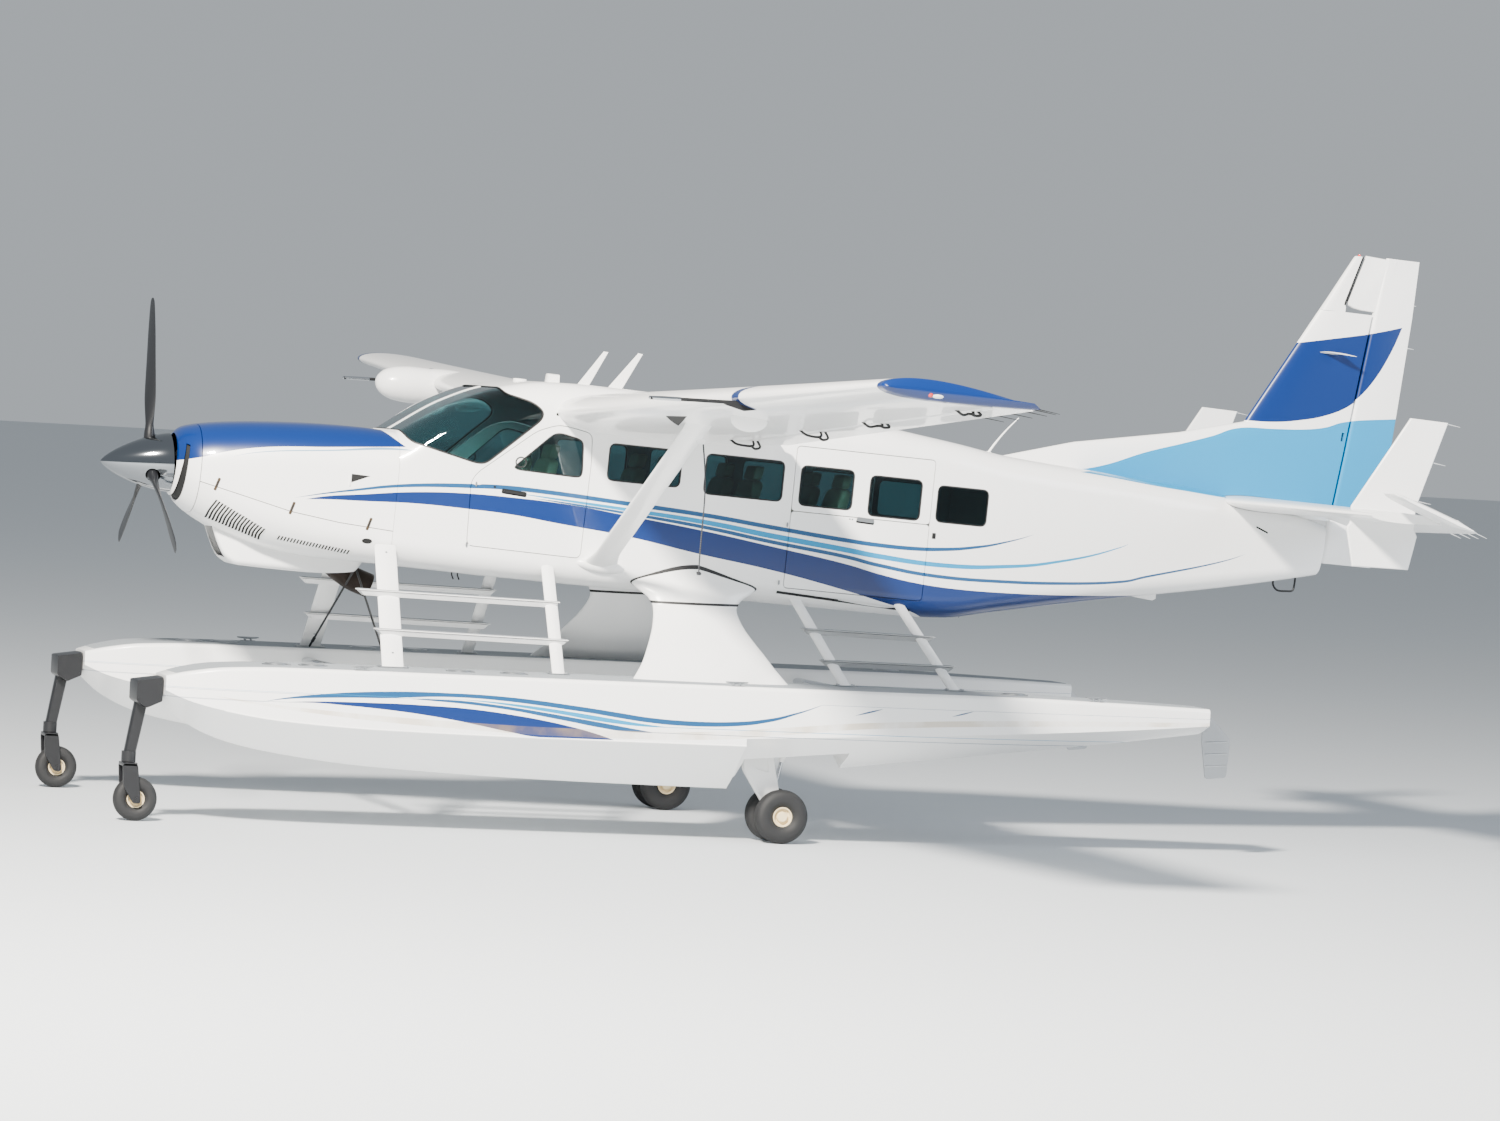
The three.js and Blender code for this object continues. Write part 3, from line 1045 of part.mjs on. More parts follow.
// The front rail's head stands clear of the body's round corner, on a bracket
const headBracket = block(2205, 2290, 600, 715, 912, 944);
for (const [place, { sides, top, foot, rails, steps, stepWidth }] of Object.entries(LADDERS)) {
  const yAt = (z) => foot[1] + ((top[1] - foot[1]) * z) / top[0];
  const railSolids = rails.map(([topX, footX, chord]) => {
    return loft([[top[0], topX], [0, footX]].map(([z, x]) => streamRing(z, x, yAt(z), chord, 52, 10)));
  });
  const stepSolids = steps.map(([z0, x0, z1, x1]) => {
    const under = [[x1 - STEP_DEPTH, z1 - STEP_DEPTH], [x0 + STEP_DEPTH, z0 - STEP_DEPTH]];
    const y = yAt((z0 + z1) / 2);
    return acrossY([[x0, z0], [x1, z1], ...under], y - stepWidth / 2, y + stepWidth / 2);
  });
  const brackets = place === "front" ? [headBracket] : [];
  const whole = join(...railSolids, ...stepSolids, ...brackets);
  const ladder = whole.subtract(bodyInFloats).subtract(hullsBelow);
  for (const side of sides) {
    piece(place + "_ladder_" + side, side === "left" ? mirrorY(ladder) : ladder, WHITE, floats);
  }
}

// Spreader bars between the floats
const hullsCut = join(...[-1, 1].map((s) => hullWhole.translate([0, s * (FLOAT_CENTRE - GAP), 0])));
for (const [name, x] of [["front_spreader", 2110], ["aft_spreader", 6500]]) {
  const tube = new THREE.CylinderGeometry(52, 52, 2 * FLOAT_CENTRE - 600, 14).scale(1, 1, 0.62);
  const bar = solid(tube.translate(x, 0, -105));
  piece(name, bar.subtract(hullsCut), POLISHED, floats);
}

// A short rope hangs from the port strut's lug. Its route: aft of its exit and below it
const ROPE_RADIUS = 6;
const ROPE = [
  [0, 0], [4, -30], [12, -90], [21, -160], [28, -230], [33, -300], [36, -370], [37, -440], [36, -510], [34, -580],
  [31, -650], [28, -720], [26, -790], [24, -860], [23, -930], [23, -990], [23, -1040],
];
const lugInRoot = new THREE.Vector3(LUG.x, LUG.y, LUG.z - 1.3).applyAxisAngle(new THREE.Vector3(0, 1, 0), NOSE_UP);
lugInRoot.z += DECK_HEIGHT + DECK_BELOW_NOSE;
const ropePath = new THREE.CatmullRomCurve3(ROPE.map(([aft, up]) => lugInRoot.clone().add(vec(aft, 0, up))));
piece("tie_rope", sweep(circle(ROPE_RADIUS, 8), ropePath, 32), BLACK_PAINT, root);

export default root;
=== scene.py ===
import bpy
import numpy as np
from mathutils import Matrix


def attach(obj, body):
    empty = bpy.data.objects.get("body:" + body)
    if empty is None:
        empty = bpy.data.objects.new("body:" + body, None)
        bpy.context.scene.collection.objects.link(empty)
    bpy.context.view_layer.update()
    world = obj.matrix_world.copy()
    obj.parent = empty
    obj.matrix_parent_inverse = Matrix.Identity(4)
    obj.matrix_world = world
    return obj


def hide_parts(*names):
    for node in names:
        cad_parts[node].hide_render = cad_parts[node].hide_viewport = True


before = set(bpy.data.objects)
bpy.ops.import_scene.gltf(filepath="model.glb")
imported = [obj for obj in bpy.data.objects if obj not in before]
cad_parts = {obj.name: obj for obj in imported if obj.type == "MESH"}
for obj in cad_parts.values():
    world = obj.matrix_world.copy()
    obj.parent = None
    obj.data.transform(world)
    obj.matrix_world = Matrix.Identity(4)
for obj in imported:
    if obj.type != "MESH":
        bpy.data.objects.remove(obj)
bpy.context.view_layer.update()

# Two sets of axes. The airframe's x runs aft from the spinner's tip along the cabin's level line,
# which stands nose up against the floats. The floats' own axes are level, with z = 0 at their decks.
NOSE_UP = np.radians(2.8)
SPINNER_TIP = np.array([-5.75287, 0.0, 2.81])
DECKS = np.array([-5.75287, 0.0, 1.29])


def from_air(points):
    """Airframe to row: x cos a + z sin a, y, z cos a - x sin a, moved to the spinner's tip."""
    x, y, z = np.moveaxis(np.asarray(points, float), -1, 0)
    turned = [x * np.cos(NOSE_UP) + z * np.sin(NOSE_UP), y, z * np.cos(NOSE_UP) - x * np.sin(NOSE_UP)]
    return np.stack(turned, -1) + SPINNER_TIP


def from_deck(points):
    """Floats' axes to row: moved by the place of their origin."""
    return np.asarray(points, float) + DECKS


# Camera, where the photographer stood: off the port side and ahead of the nose, low, with a long lens.
# Its place and turn are in the airframe's axes, as is the lean of the frame against the aeroplane.
CAMERA_AT = (-9.76, -48.56, 0.41)
SIDEWAYS, DOWNWARDS, LEAN = np.radians([-17.59, 0.78, 5.96])
LENS_MM = 144.44
level_share = np.cos(DOWNWARDS)
looking = np.array([-np.sin(SIDEWAYS) * level_share, np.cos(SIDEWAYS) * level_share, -np.sin(DOWNWARDS)])
level = np.cross(looking, [0, 0, 1])
level /= np.linalg.norm(level)
raised = np.cross(level, looking)
right = level * np.cos(LEAN) + raised * np.sin(LEAN)
upward = raised * np.cos(LEAN) - level * np.sin(LEAN)
axes = from_air([right, upward, -looking]) - SPINNER_TIP
turn = np.eye(4)
turn[:3, :3] = axes.T
turn[:3, 3] = from_air(CAMERA_AT)
camera = bpy.data.objects.new("camera", bpy.data.cameras.new("camera"))
camera.data.sensor_width = 36.0
camera.data.lens = LENS_MM
camera.data.clip_end = 400.0
camera.matrix_world = Matrix(turn.tolist())
bpy.context.scene.collection.objects.link(camera)
bpy.context.scene.camera = camera

# Light: a broad softbox high off the port bow for the sun's side, a weak one aft, and a pale room.
# The floor is a pale sheet that meets the same pale room far behind the aeroplane.


def add(tree, kind, inputs=(), **settings):
    """One node with its settings and inputs, by name or in order; gives its first output."""
    made = tree.nodes.new(kind)
    for name, value in settings.items():
        setattr(made, name, value)
    pairs = inputs.items() if isinstance(inputs, dict) else enumerate(inputs)
    for key, value in pairs:
        if isinstance(value, bpy.types.NodeSocket):
            tree.links.new(value, made.inputs[key])
        elif value is not None:
            made.inputs[key].default_value = value
    return made.outputs[0] if made.outputs else made


def hexed(code):
    """sRGB hex to linear colour with alpha 1."""
    c = np.array([int(code[i : i + 2], 16) for i in (1, 3, 5)]) / 255
    return (*np.where(c <= 0.04045, c / 12.92, ((c + 0.055) / 1.055) ** 2.4).tolist(), 1.0)


def gloss(name, colour, roughness, metallic=0.0, coat=0.0):
    """A material of one colour, with its roughness, metal share and clear coat."""
    made = bpy.data.materials.new(name)
    made.use_nodes = True
    shader = made.node_tree.nodes["Principled BSDF"]
    shader.inputs["Base Color"].default_value = hexed(colour)
    shader.inputs["Roughness"].default_value = roughness
    shader.inputs["Metallic"].default_value = metallic
    shader.inputs["Coat Weight"].default_value = coat
    made.diffuse_color = hexed(colour)
    return made


def softbox(name, at, towards, size, watts, colour):
    """A round lamp at a place, turned towards another."""
    lamp = bpy.data.lights.new(name, "AREA")
    lamp.shape = "DISK"
    lamp.size = size
    lamp.energy = watts
    lamp.color = hexed(colour)[:3]
    held = bpy.data.objects.new(name, lamp)
    forward = np.subtract(towards, at) / np.linalg.norm(np.subtract(towards, at))
    side = np.cross(forward, [0, 0, 1.0])
    side /= np.linalg.norm(side)
    place = np.eye(4)
    place[:3, :3] = np.stack([side, np.cross(side, forward), -forward], 1)
    place[:3, 3] = at
    held.matrix_world = Matrix(place.tolist())
    bpy.context.scene.collection.objects.link(held)


softbox("sun_side", at=(-15, -21, 20), towards=(0, 0, 2), size=3.2, watts=41000, colour="#fff8ee")
softbox("aft_fill", at=(20, -14, 10), towards=(1, 0, 2.5), size=12, watts=3000, colour="#e8f1ff")
room = bpy.data.worlds.new("room")
room.use_nodes = True
room.node_tree.nodes["Background"].inputs["Color"].default_value = hexed("#d5dce2")
room.node_tree.nodes["Background"].inputs["Strength"].default_value = 0.66
bpy.context.scene.world = room

floor_mesh = bpy.data.meshes.new("floor")
floor_mesh.from_pydata([(-150, -150, 0), (150, -150, 0), (150, 250, 0), (-150, 250, 0)], [], [(0, 1, 2, 3)])
floor_mesh.materials.append(gloss("pale floor sheet", "#c9ced2", 0.75))
floor = bpy.data.objects.new("floor", floor_mesh)
bpy.context.scene.collection.objects.link(floor)

# Rope: a metre of 12 mm braided black polyester, tied to the lug at the port strut's head. It hangs
# free, with a slight bow, and ends in a stopper knot.


def joined(parts):
    """One set of points and faces from several."""
    starts = np.cumsum([0] + [len(points) for points, faces in parts])
    faces = [ring + start for (points, rings), start in zip(parts, starts) for ring in rings]
    return np.concatenate([points for points, rings in parts]), faces


def surface(grid, ends=True):
    """Skin over an (n, m) grid of points: quads between neighbours, shut round the second index,
    with a fan to the middle of the first and last rings."""
    n, m = grid.shape[:2]
    i, j = np.meshgrid(np.arange(n - 1), np.arange(m), indexing="ij")
    a, b = i * m + j, i * m + (j + 1) % m
    faces = [np.stack([a, b, b + m, a + m], -1).reshape(-1, 4)]
    points = grid.reshape(-1, 3)
    if ends:
        k = np.arange(m)
        hub = n * m
        last = (n - 1) * m
        faces.append(np.stack([np.full(m, hub), (k + 1) % m, k], -1))
        faces.append(np.stack([np.full(m, hub + 1), last + k, last + (k + 1) % m], -1))
        points = np.concatenate([points, grid[:1].mean(1), grid[-1:].mean(1)])
    return points, faces


def outwards(part):
    """The same faces, turned over if the volume they hold (sum of a . b x c over triangles) is negative."""
    points, faces = part
    volume = 0.0
    for ring in faces:
        for k in range(1, ring.shape[1] - 1):
            a, b, c = points[ring[:, 0]], points[ring[:, k]], points[ring[:, k + 1]]
            volume += np.einsum("ij,ij->", a, np.cross(b, c))
    return (points, faces) if volume > 0 else (points, [ring[:, ::-1] for ring in faces])


def rod(path, radius, sides=12):
    """Bar along a path: at each point a circle (cos t side + sin t up) of its radius, square to the path."""
    path = np.asarray(path, float)
    along = np.gradient(path, axis=0)
    along /= np.linalg.norm(along, axis=1)[:, None]
    start = np.eye(3)[np.argmin(np.abs(along).max(0))]
    side = np.cross(along, start)
    side /= np.linalg.norm(side, axis=1)[:, None]
    up = np.cross(side, along)
    t = np.linspace(0, 2 * np.pi, sides, endpoint=False)[None, :, None]
    size = np.broadcast_to(np.asarray(radius, float).reshape(-1, 1, 1), (len(path), 1, 1))
    return outwards(surface(path[:, None] + size * (np.cos(t) * side[:, None] + np.sin(t) * up[:, None])))


def smooth(points, count):
    """Catmull-Rom curve through the points, by the same share of each span."""
    p = np.asarray(points, float)
    p = np.concatenate([[2 * p[0] - p[1]], p, [2 * p[-1] - p[-2]]])
    s = np.linspace(0, len(p) - 3 - 1e-9, count)
    i = s.astype(int)
    t = (s - i)[:, None]
    a, b, c, d = p[i], p[i + 1], p[i + 2], p[i + 3]
    return 0.5 * (2 * b + (c - a) * t + (2 * a - 5 * b + 4 * c - d) * t**2 + (3 * b - a - 3 * c + d) * t**3)


def meshed(name, part):
    """An object of one part's points and faces."""
    points, faces = part
    mesh = bpy.data.meshes.new(name)
    mesh.from_pydata(points.tolist(), [], [row for ring in faces for row in ring.tolist()])
    made = bpy.data.objects.new(name, mesh)
    bpy.context.scene.collection.objects.link(made)
    return made


def piece(name, parts, material, body="airframe", stands_for=(), sharp=32.0):
    """One object of all the parts, shaded smooth but for edges over the sharp angle."""
    made = meshed(name, joined(parts))
    made.data.update()
    made.data.shade_smooth()
    made.data.set_sharp_from_angle(angle=np.radians(sharp))
    made.data.materials.append(material)
    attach(made, body)
    if stands_for:
        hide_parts(*stands_for)
    return made


def over(tree, colour, mask, paint):
    """The paint where the mask is 1, the colour below elsewhere."""
    mixed = add(tree, "ShaderNodeMix", {"Factor": mask}, data_type="RGBA").node
    for socket, value in (("A", colour), ("B", paint)):
        entry = [s for s in mixed.inputs if s.name == socket and s.type == "RGBA"][0]
        if isinstance(value, bpy.types.NodeSocket):
            tree.links.new(value, entry)
        else:
            entry.default_value = hexed(value)
    return [s for s in mixed.outputs if s.type == "RGBA"][0]


rope_paint = gloss("braided black polyester", "#1b1c1f", 0.85)
tree = rope_paint.node_tree
shader = tree.nodes["Principled BSDF"]
place = add(tree, "ShaderNodeTexCoord").node.outputs["Object"]
# Plaits follow each other along the rope, each 9 mm long; the raised crest of each is painted lighter, a
# painted sheen on the black braid
bands = {"Vector": place, "Scale": 17.0, "Distortion": 3.0, "Detail": 1.0}
plait = add(tree, "ShaderNodeTexWave", bands, bands_direction="Z")
raised_plait = add(tree, "ShaderNodeBump", {"Height": plait, "Strength": 0.6, "Distance": 0.002})
tree.links.new(over(tree, "#1b1c1f", plait, "#3c3e43"), shader.inputs["Base Color"])
tree.links.new(raised_plait, shader.inputs["Normal"])

ROPE_EXIT = np.array([-1.464756, -2.79, 3.239735])
ROPE_RADIUS = 0.006
# Aft of the exit and below it
ROPE_ROUTE = np.array([
    [0, 0], [4, -30], [12, -90], [21, -160], [28, -230], [33, -300], [36, -370], [37, -440], [36, -510],
    [34, -580], [31, -650], [28, -720], [26, -790], [24, -860], [23, -930], [23, -990], [23, -1040],
]) / 1000
rope_path = ROPE_EXIT + np.stack([ROPE_ROUTE[:, 0], 0 * ROPE_ROUTE[:, 0], ROPE_ROUTE[:, 1]], -1)
rope_line = smooth(rope_path, 81)
rope = piece("rope", [rod(rope_line, ROPE_RADIUS)], rope_paint, stands_for=["tie_rope"])
# Stopper knot: a trefoil, 2 + cos 3t wide at the turn 2t round the rope, and 1.6 sin 3t along it
t = np.linspace(0, 2 * np.pi, 61)[:-1]
wide = 2 + np.cos(3 * t)
trefoil = np.stack([wide * np.cos(2 * t), wide * np.sin(2 * t), 1.6 * np.sin(3 * t)], -1)
knot_line = rope_line[-1] + 0.0055 * trefoil + [0, 0, 0.012]
knot = piece("rope_knot", [rod(knot_line, 0.0058)], rope_paint)

# Cabin shell: aluminium skin over frames, riveted flush and sprayed in white polyurethane, with the
# stripes masked over the doors and the tail alike. The body is boxy, with round corners, and its
# stations are x, half width, top, bottom, upper corner radius and lower corner radius.
NOSE_STATIONS = [
    [584, 244, 291, -197, 244, 244], [592, 258, 306, -212, 256, 256], [640, 330, 345, -262, 300, 300],
    [755, 415, 380, -345, 340, 330], [1050, 490, 428, -480, 350, 340], [1400, 555, 463, -575, 350, 330],
    [1750, 605, 486, -608, 350, 300], [2060, 650, 495, -612, 340, 270], [2340, 695, 487, -612, 320, 240],
]
CABIN_STATIONS = [
    [2340, 695, 487, -612, 320, 240], [2800, 765, 797, -615, 300, 215], [3150, 805, 948, -620, 280, 205],
    [3560, 828, 1026, -620, 250, 195], [3900, 830, 1037, -620, 230, 190], [6300, 828, 972, -612, 220, 190],
    [6900, 795, 912, -610, 215, 190], [7200, 760, 878, -596, 210, 190], [7640, 700, 822, -512, 210, 190],
    [8640, 530, 768, -322, 210, 180], [9730, 325, 690, -132, 190, 150], [10650, 130, 560, 51, 110, 110],
    [10815, 95, 520, 90, 85, 85],
]
BOWL_FRONT, BOWL_REAR, FIREWALL, CABIN_REAR = 584, 755, 2340, 7640
SKIN, LINING = 34, 6


def through(table, x):
    """Monotone cubic through rows of [x, values]: Hermite spans whose slopes are weighted harmonic means
    of the slopes on either side, or nil at a crest."""
    rows = np.asarray(table, float)
    k, v = rows[:, 0], rows[:, 1:]
    h = np.diff(k)[:, None]
    d = np.diff(v, axis=0) / h
    before, after = d[:-1], d[1:]
    rising = before * after > 0
    safe = np.where(rising, before, 1.0), np.where(rising, after, 1.0)
    weights = 2 * h[1:] + h[:-1], h[1:] + 2 * h[:-1]
    middle = np.where(rising, (weights[0] + weights[1]) / (weights[0] / safe[0] + weights[1] / safe[1]), 0.0)
    m = np.concatenate([d[:1], middle, d[-1:]])
    x = np.asarray(x, float)
    i = np.clip(np.searchsorted(k, x, "right") - 1, 0, len(k) - 2)
    s = ((x - k[i]) / h[i, 0])[:, None]
    return (v[i] * (1 + 2 * s) * (1 - s) ** 2 + h[i] * m[i] * s * (1 - s) ** 2
            + v[i + 1] * s**2 * (3 - 2 * s) - h[i] * m[i + 1] * s**2 * (1 - s))


def boxed(x, half, top, bottom, upper, lower, steps=10):
    """Rings across the body: quarter circles of the upper and lower radii at the four corners of a box."""
    columns = [np.asarray(c, float)[:, None] for c in (x, half, top, bottom, upper, lower)]
    x, half, top, bottom, upper, lower = columns
    angle = np.radians(90 * np.linspace(0, 1, steps + 1))[None]
    rings = []
    corners = ((0, 1, 1, upper), (90, -1, 1, upper), (180, -1, -1, lower), (270, 1, -1, lower))
    for turn, side, high, radius in corners:
        middle_y = side * (half - radius)
        middle_z = top - radius if high > 0 else bottom + radius
        a = angle + np.radians(turn)
        rings.append(np.stack([x + 0 * a, middle_y + radius * np.cos(a), middle_z + radius * np.sin(a)], -1))
    return np.concatenate(rings, 1)


def body_rings(x0, x1, inset=0.0, apart=60.0, steps=10):
    """Rings of the body from x0 to x1 in millimetres, moved in from the skin by inset."""
    table = NOSE_STATIONS if x1 <= FIREWALL + 1 else CABIN_STATIONS
    x = np.linspace(x0, x1, max(int((x1 - x0) / apart), 2) + 1)
    half, top, bottom, upper, lower = through(table, x).T
    radii = [np.maximum(radius - inset, 5) for radius in (upper, lower)]
    return boxed(x, half - inset, top - inset, bottom + inset, *radii, steps)


def loft(grid):
    """Closed solid over rings in millimetres of the airframe's axes."""
    return outwards(surface(from_air(grid / 1000)))


def skin_at(x, z):
    """Half width of the body at x and height z in millimetres: the box's half width less what a round
    corner takes."""
    x, z = np.broadcast_arrays(np.asarray(x, float), np.asarray(z, float))
    flat = x.ravel()
    rows = np.where((flat < FIREWALL)[:, None], through(NOSE_STATIONS, flat), through(CABIN_STATIONS, flat))
    half, top, bottom, upper, lower = rows.reshape(*x.shape, 5).transpose(-1, *range(x.ndim))
    above = np.clip(z - (top - upper), 0, upper)
    below = np.clip(bottom + lower - z, 0, lower)
    return half - (upper - np.sqrt(upper**2 - above**2)) - (lower - np.sqrt(lower**2 - below**2))


def rounded(outline, radius, steps=6):
    """Closed outline whose corners are quadratic curves that begin and end a radius from each corner."""
    p = np.asarray(outline, float)
    last, following = np.roll(p, 1, 0) - p, np.roll(p, -1, 0) - p
    reach = [np.linalg.norm(v, axis=1, keepdims=True) for v in (last, following)]
    start = p + last / reach[0] * np.minimum(radius, reach[0] * 0.45)
    end = p + following / reach[1] * np.minimum(radius, reach[1] * 0.45)
    t = np.linspace(0, 1, steps + 1)[None, :, None]
    curve = start[:, None] * (1 - t) ** 2 + p[:, None] * 2 * t * (1 - t) + end[:, None] * t**2
    return curve.reshape(-1, 2)


def moved_in(outline, by):
    """Outline whose sides are moved inwards by a distance and met again at the corners."""
    p = np.asarray(outline, float)
    ahead = np.roll(p, -1, 0) - p
    side = np.sign(np.sum(p[:, 0] * np.roll(p[:, 1], -1) - np.roll(p[:, 0], -1) * p[:, 1]))
    normal = np.stack([-ahead[:, 1], ahead[:, 0]], 1) / np.linalg.norm(ahead, axis=1, keepdims=True) * side
    at = p + normal * by
    before_at, before = np.roll(at, 1, 0), np.roll(ahead, 1, 0)
    cross = before[:, 0] * ahead[:, 1] - before[:, 1] * ahead[:, 0]
    gap = at - before_at
    t = (gap[:, 0] * ahead[:, 1] - gap[:, 1] * ahead[:, 0]) / cross
    return before_at + before * t[:, None]


def capped(rings):
    """Closed solid over rings of corners in metres, with the first and the last ring as flat faces."""
    points, walls = surface(rings, ends=False)
    ring = np.arange(rings.shape[1])[None]
    return outwards((points, walls + [ring[:, ::-1], ring + len(points) - rings.shape[1]]))


def prism(outline, y0, y1, place=from_air):
    """Side view of [x, z] corners in millimetres, carried across from y0 to y1."""
    x, z = np.asarray(outline, float).T
    return capped(place(np.stack([np.stack([x, np.full(len(x), y), z], -1) for y in (y0, y1)]) / 1000))


def carved(base, within=(), take=(), plus=()):
    """The base solid with others added, kept within some solids and with others taken away."""
    work = meshed("tool", base)
    tools = []
    for kind, solids in (("UNION", plus), ("INTERSECT", within), ("DIFFERENCE", take)):
        for part in solids:
            tools.append(meshed("tool", part))
            modifier = work.modifiers.new(kind, "BOOLEAN")
            modifier.operation, modifier.object, modifier.solver = kind, tools[-1], "MANIFOLD"
    mesh = bpy.data.meshes.new_from_object(work.evaluated_get(bpy.context.evaluated_depsgraph_get()))
    points = np.empty(3 * len(mesh.vertices))
    mesh.vertices.foreach_get("co", points)
    corners = np.empty(len(mesh.loops), int)
    mesh.loops.foreach_get("vertex_index", corners)
    starts, counts = np.empty(len(mesh.polygons), int), np.empty(len(mesh.polygons), int)
    mesh.polygons.foreach_get("loop_start", starts)
    mesh.polygons.foreach_get("loop_total", counts)
    faces = [corners[starts[counts == size][:, None] + np.arange(size)] for size in np.unique(counts)]
    for made in [work, *tools]:
        used = made.data
        bpy.data.objects.remove(made)
        bpy.data.meshes.remove(used)
    bpy.data.meshes.remove(mesh)
    return points.reshape(-1, 3), faces


ROYAL, STEEL, SKY, FADED, WHITE = "#00245f", "#114874", "#0085b8", "#6f94b0", "#f6f6f5"
# Stripes on each side as rows of x, middle height and width, in metres of the airframe's axes
UPPER_LINE = [
    [1.511, -0.137, 0], [1.964, -0.029, 0.018], [2.516, 0.071, 0.030], [2.906, 0.106, 0.036],
    [3.253, 0.125, 0.037], [3.506, 0.123, 0.037], [4.232, 0.096, 0.037], [4.928, 0.066, 0.037],
    [5.52, 0.022, 0.037], [6.2, -0.024, 0.037], [6.488, -0.037, 0.036], [6.778, -0.037, 0.034],
    [7.07, -0.018, 0.030], [7.365, 0.025, 0.024], [7.659, 0.097, 0.014], [7.926, 0.189, 0],
]
MIDDLE_LINE = [
    [3.30, 0.088, 0], [3.685, 0.071, 0.016], [4.237, 0.046, 0.028], [4.934, 0.008, 0.040],
    [5.527, -0.049, 0.045], [6.209, -0.104, 0.045], [6.499, -0.130, 0.043], [7.086, -0.152, 0.038],
    [7.684, -0.109, 0.030], [8.194, -0.020, 0.022], [8.759, 0.148, 0.008], [8.843, 0.188, 0],
]
LOWER_LINE = [
    [3.45, 0.060, 0], [3.687, 0.050, 0.012], [4.24, 0.017, 0.022], [4.939, -0.034, 0.030],
    [5.533, -0.099, 0.032], [6.215, -0.162, 0.032], [6.507, -0.205, 0.032], [7.097, -0.250, 0.030],
    [7.699, -0.238, 0.028], [8.214, -0.207, 0.026], [8.795, -0.144, 0.022], [9.021, -0.085, 0.020],
    [9.793, 0.120, 0.010], [10.013, 0.202, 0],
]
COWL_LINE = [
    [1.0, 0.150, 0], [1.232, 0.211, 0.007], [1.770, 0.279, 0.010], [2.385, 0.348, 0.010], [2.445, 0.344, 0],
]
# Broad fields as rows of x, bottom and top
BROAD_STRIPE = [
    [1.609, -0.137, -0.137], [1.799, -0.120, -0.090], [2.045, -0.107, -0.053], [2.525, -0.081, 0.017],
    [2.918, -0.082, 0.045], [3.268, -0.091, 0.049], [3.70, -0.127, 0.041], [4.25, -0.171, -0.001],
    [4.95, -0.263, -0.066], [5.537, -0.330, -0.136], [6.222, -0.440, -0.223], [6.53, -0.500, -0.280],
    [6.897, -0.577, -0.325], [7.2, -0.72, -0.339], [7.711, -0.95, -0.332], [8.236, -0.95, -0.307],
    [8.845, -0.95, -0.263], [9.1, -0.95, -0.243],
]
COWL_FIELD = [
    [0.45, 0.035, 2], [0.745, 0.116, 2], [0.942, 0.183, 2], [1.232, 0.248, 2], [1.770, 0.306, 2],
    [2.40, 0.372, 2],
]
DORSAL_FIELD = [
    [8.343, 0.755, 0.755], [8.6, 0.740, 0.806], [9.117, 0.702, 1.002], [9.408, 0.688, 1.097],
    [9.676, 0.673, 1.189], [9.933, 0.664, 1.286], [10.246, 0.655, 1.308], [10.525, 0.646, 1.332],
    [10.709, 0.641, 1.366], [10.890, 0.635, 1.432], [11.36, 0.61, 1.504], [11.6, 0.60, 1.53],
]
FIN_FIELD = [
    [9.85, 1.352, 1.95], [9.972, 1.355, 1.982], [10.239, 1.368, 2.042], [10.470, 1.406, 2.092],
    [10.698, 1.467, 2.142], [10.921, 1.577, 2.191], [11.027, 1.682, 2.215], [11.130, 1.812, 2.243],
    [11.248, 2.021, 2.276], [11.362, 2.311, 2.311],
]


def curve_of(tree, x, rows, column):
    """Height of a masked edge at x: a smooth curve through the rows, both ways scaled to 0 to 1."""
    rows = np.asarray(rows, float)
    low, high = rows[:, 1:].min() - 0.05, rows[:, 1:].max() + 0.05
    share = add(tree, "ShaderNodeMapRange", [x, rows[0, 0], rows[-1, 0], 0.0, 1.0])
    height = add(tree, "ShaderNodeFloatCurve", [1.0, share])
    curve = height.node.mapping.curves[0]
    along = (rows[:, 0] - rows[0, 0]) / np.ptp(rows[:, 0])
    spots = np.stack([along, (rows[:, column] - low) / (high - low)], 1)
    curve.points[0].location, curve.points[1].location = spots[0], spots[-1]
    for spot in spots[1:-1]:
        curve.points.new(*spot)
    height.node.mapping.update()
    return add(tree, "ShaderNodeMapRange", [height, 0.0, 1.0, low, high])


def masked(tree, x, z, rows):
    """1 between the bottom and the top that the rows give at x, and 0 elsewhere."""
    above = add(tree, "ShaderNodeMath", [z, curve_of(tree, x, rows, 1)], operation="GREATER_THAN")
    under = add(tree, "ShaderNodeMath", [z, curve_of(tree, x, rows, 2)], operation="LESS_THAN")
    return add(tree, "ShaderNodeMath", [above, under], operation="MULTIPLY")


def line_rows(rows):
    """Rows of middle and width as rows of bottom and top."""
    x, middle, width = np.asarray(rows, float).T
    return np.stack([x, middle - width / 2, middle + width / 2], 1)


def axes_from(tree, origin, nose_up=0.0):
    """x, y and z in metres of axes that begin at a place in the row, turned nose up."""
    place = add(tree, "ShaderNodeTexCoord").node.outputs["Object"]
    sockets = {"Vector": place, "Location": tuple(origin), "Rotation": (0, nose_up, 0)}
    held = add(tree, "ShaderNodeMapping", sockets, vector_type="TEXTURE")
    return list(add(tree, "ShaderNodeSeparateXYZ", [held]).node.outputs)


# Gloss polyurethane: clean hard edges between the colours, and a sheen that shows the room
livery = gloss("polyurethane gloss with masked stripes", WHITE, 0.28, coat=0.35)
tree = livery.node_tree
x, _, z = axes_from(tree, SPINNER_TIP, NOSE_UP)
fields = [(DORSAL_FIELD, SKY), (FIN_FIELD, ROYAL), (BROAD_STRIPE, ROYAL)]
lines = [(UPPER_LINE, STEEL), (MIDDLE_LINE, SKY), (LOWER_LINE, STEEL), (COWL_LINE, FADED)]
colour = WHITE
for rows, paint in fields + [(line_rows(rows), paint) for rows, paint in lines]:
    colour = over(tree, colour, masked(tree, x, z, rows), paint)
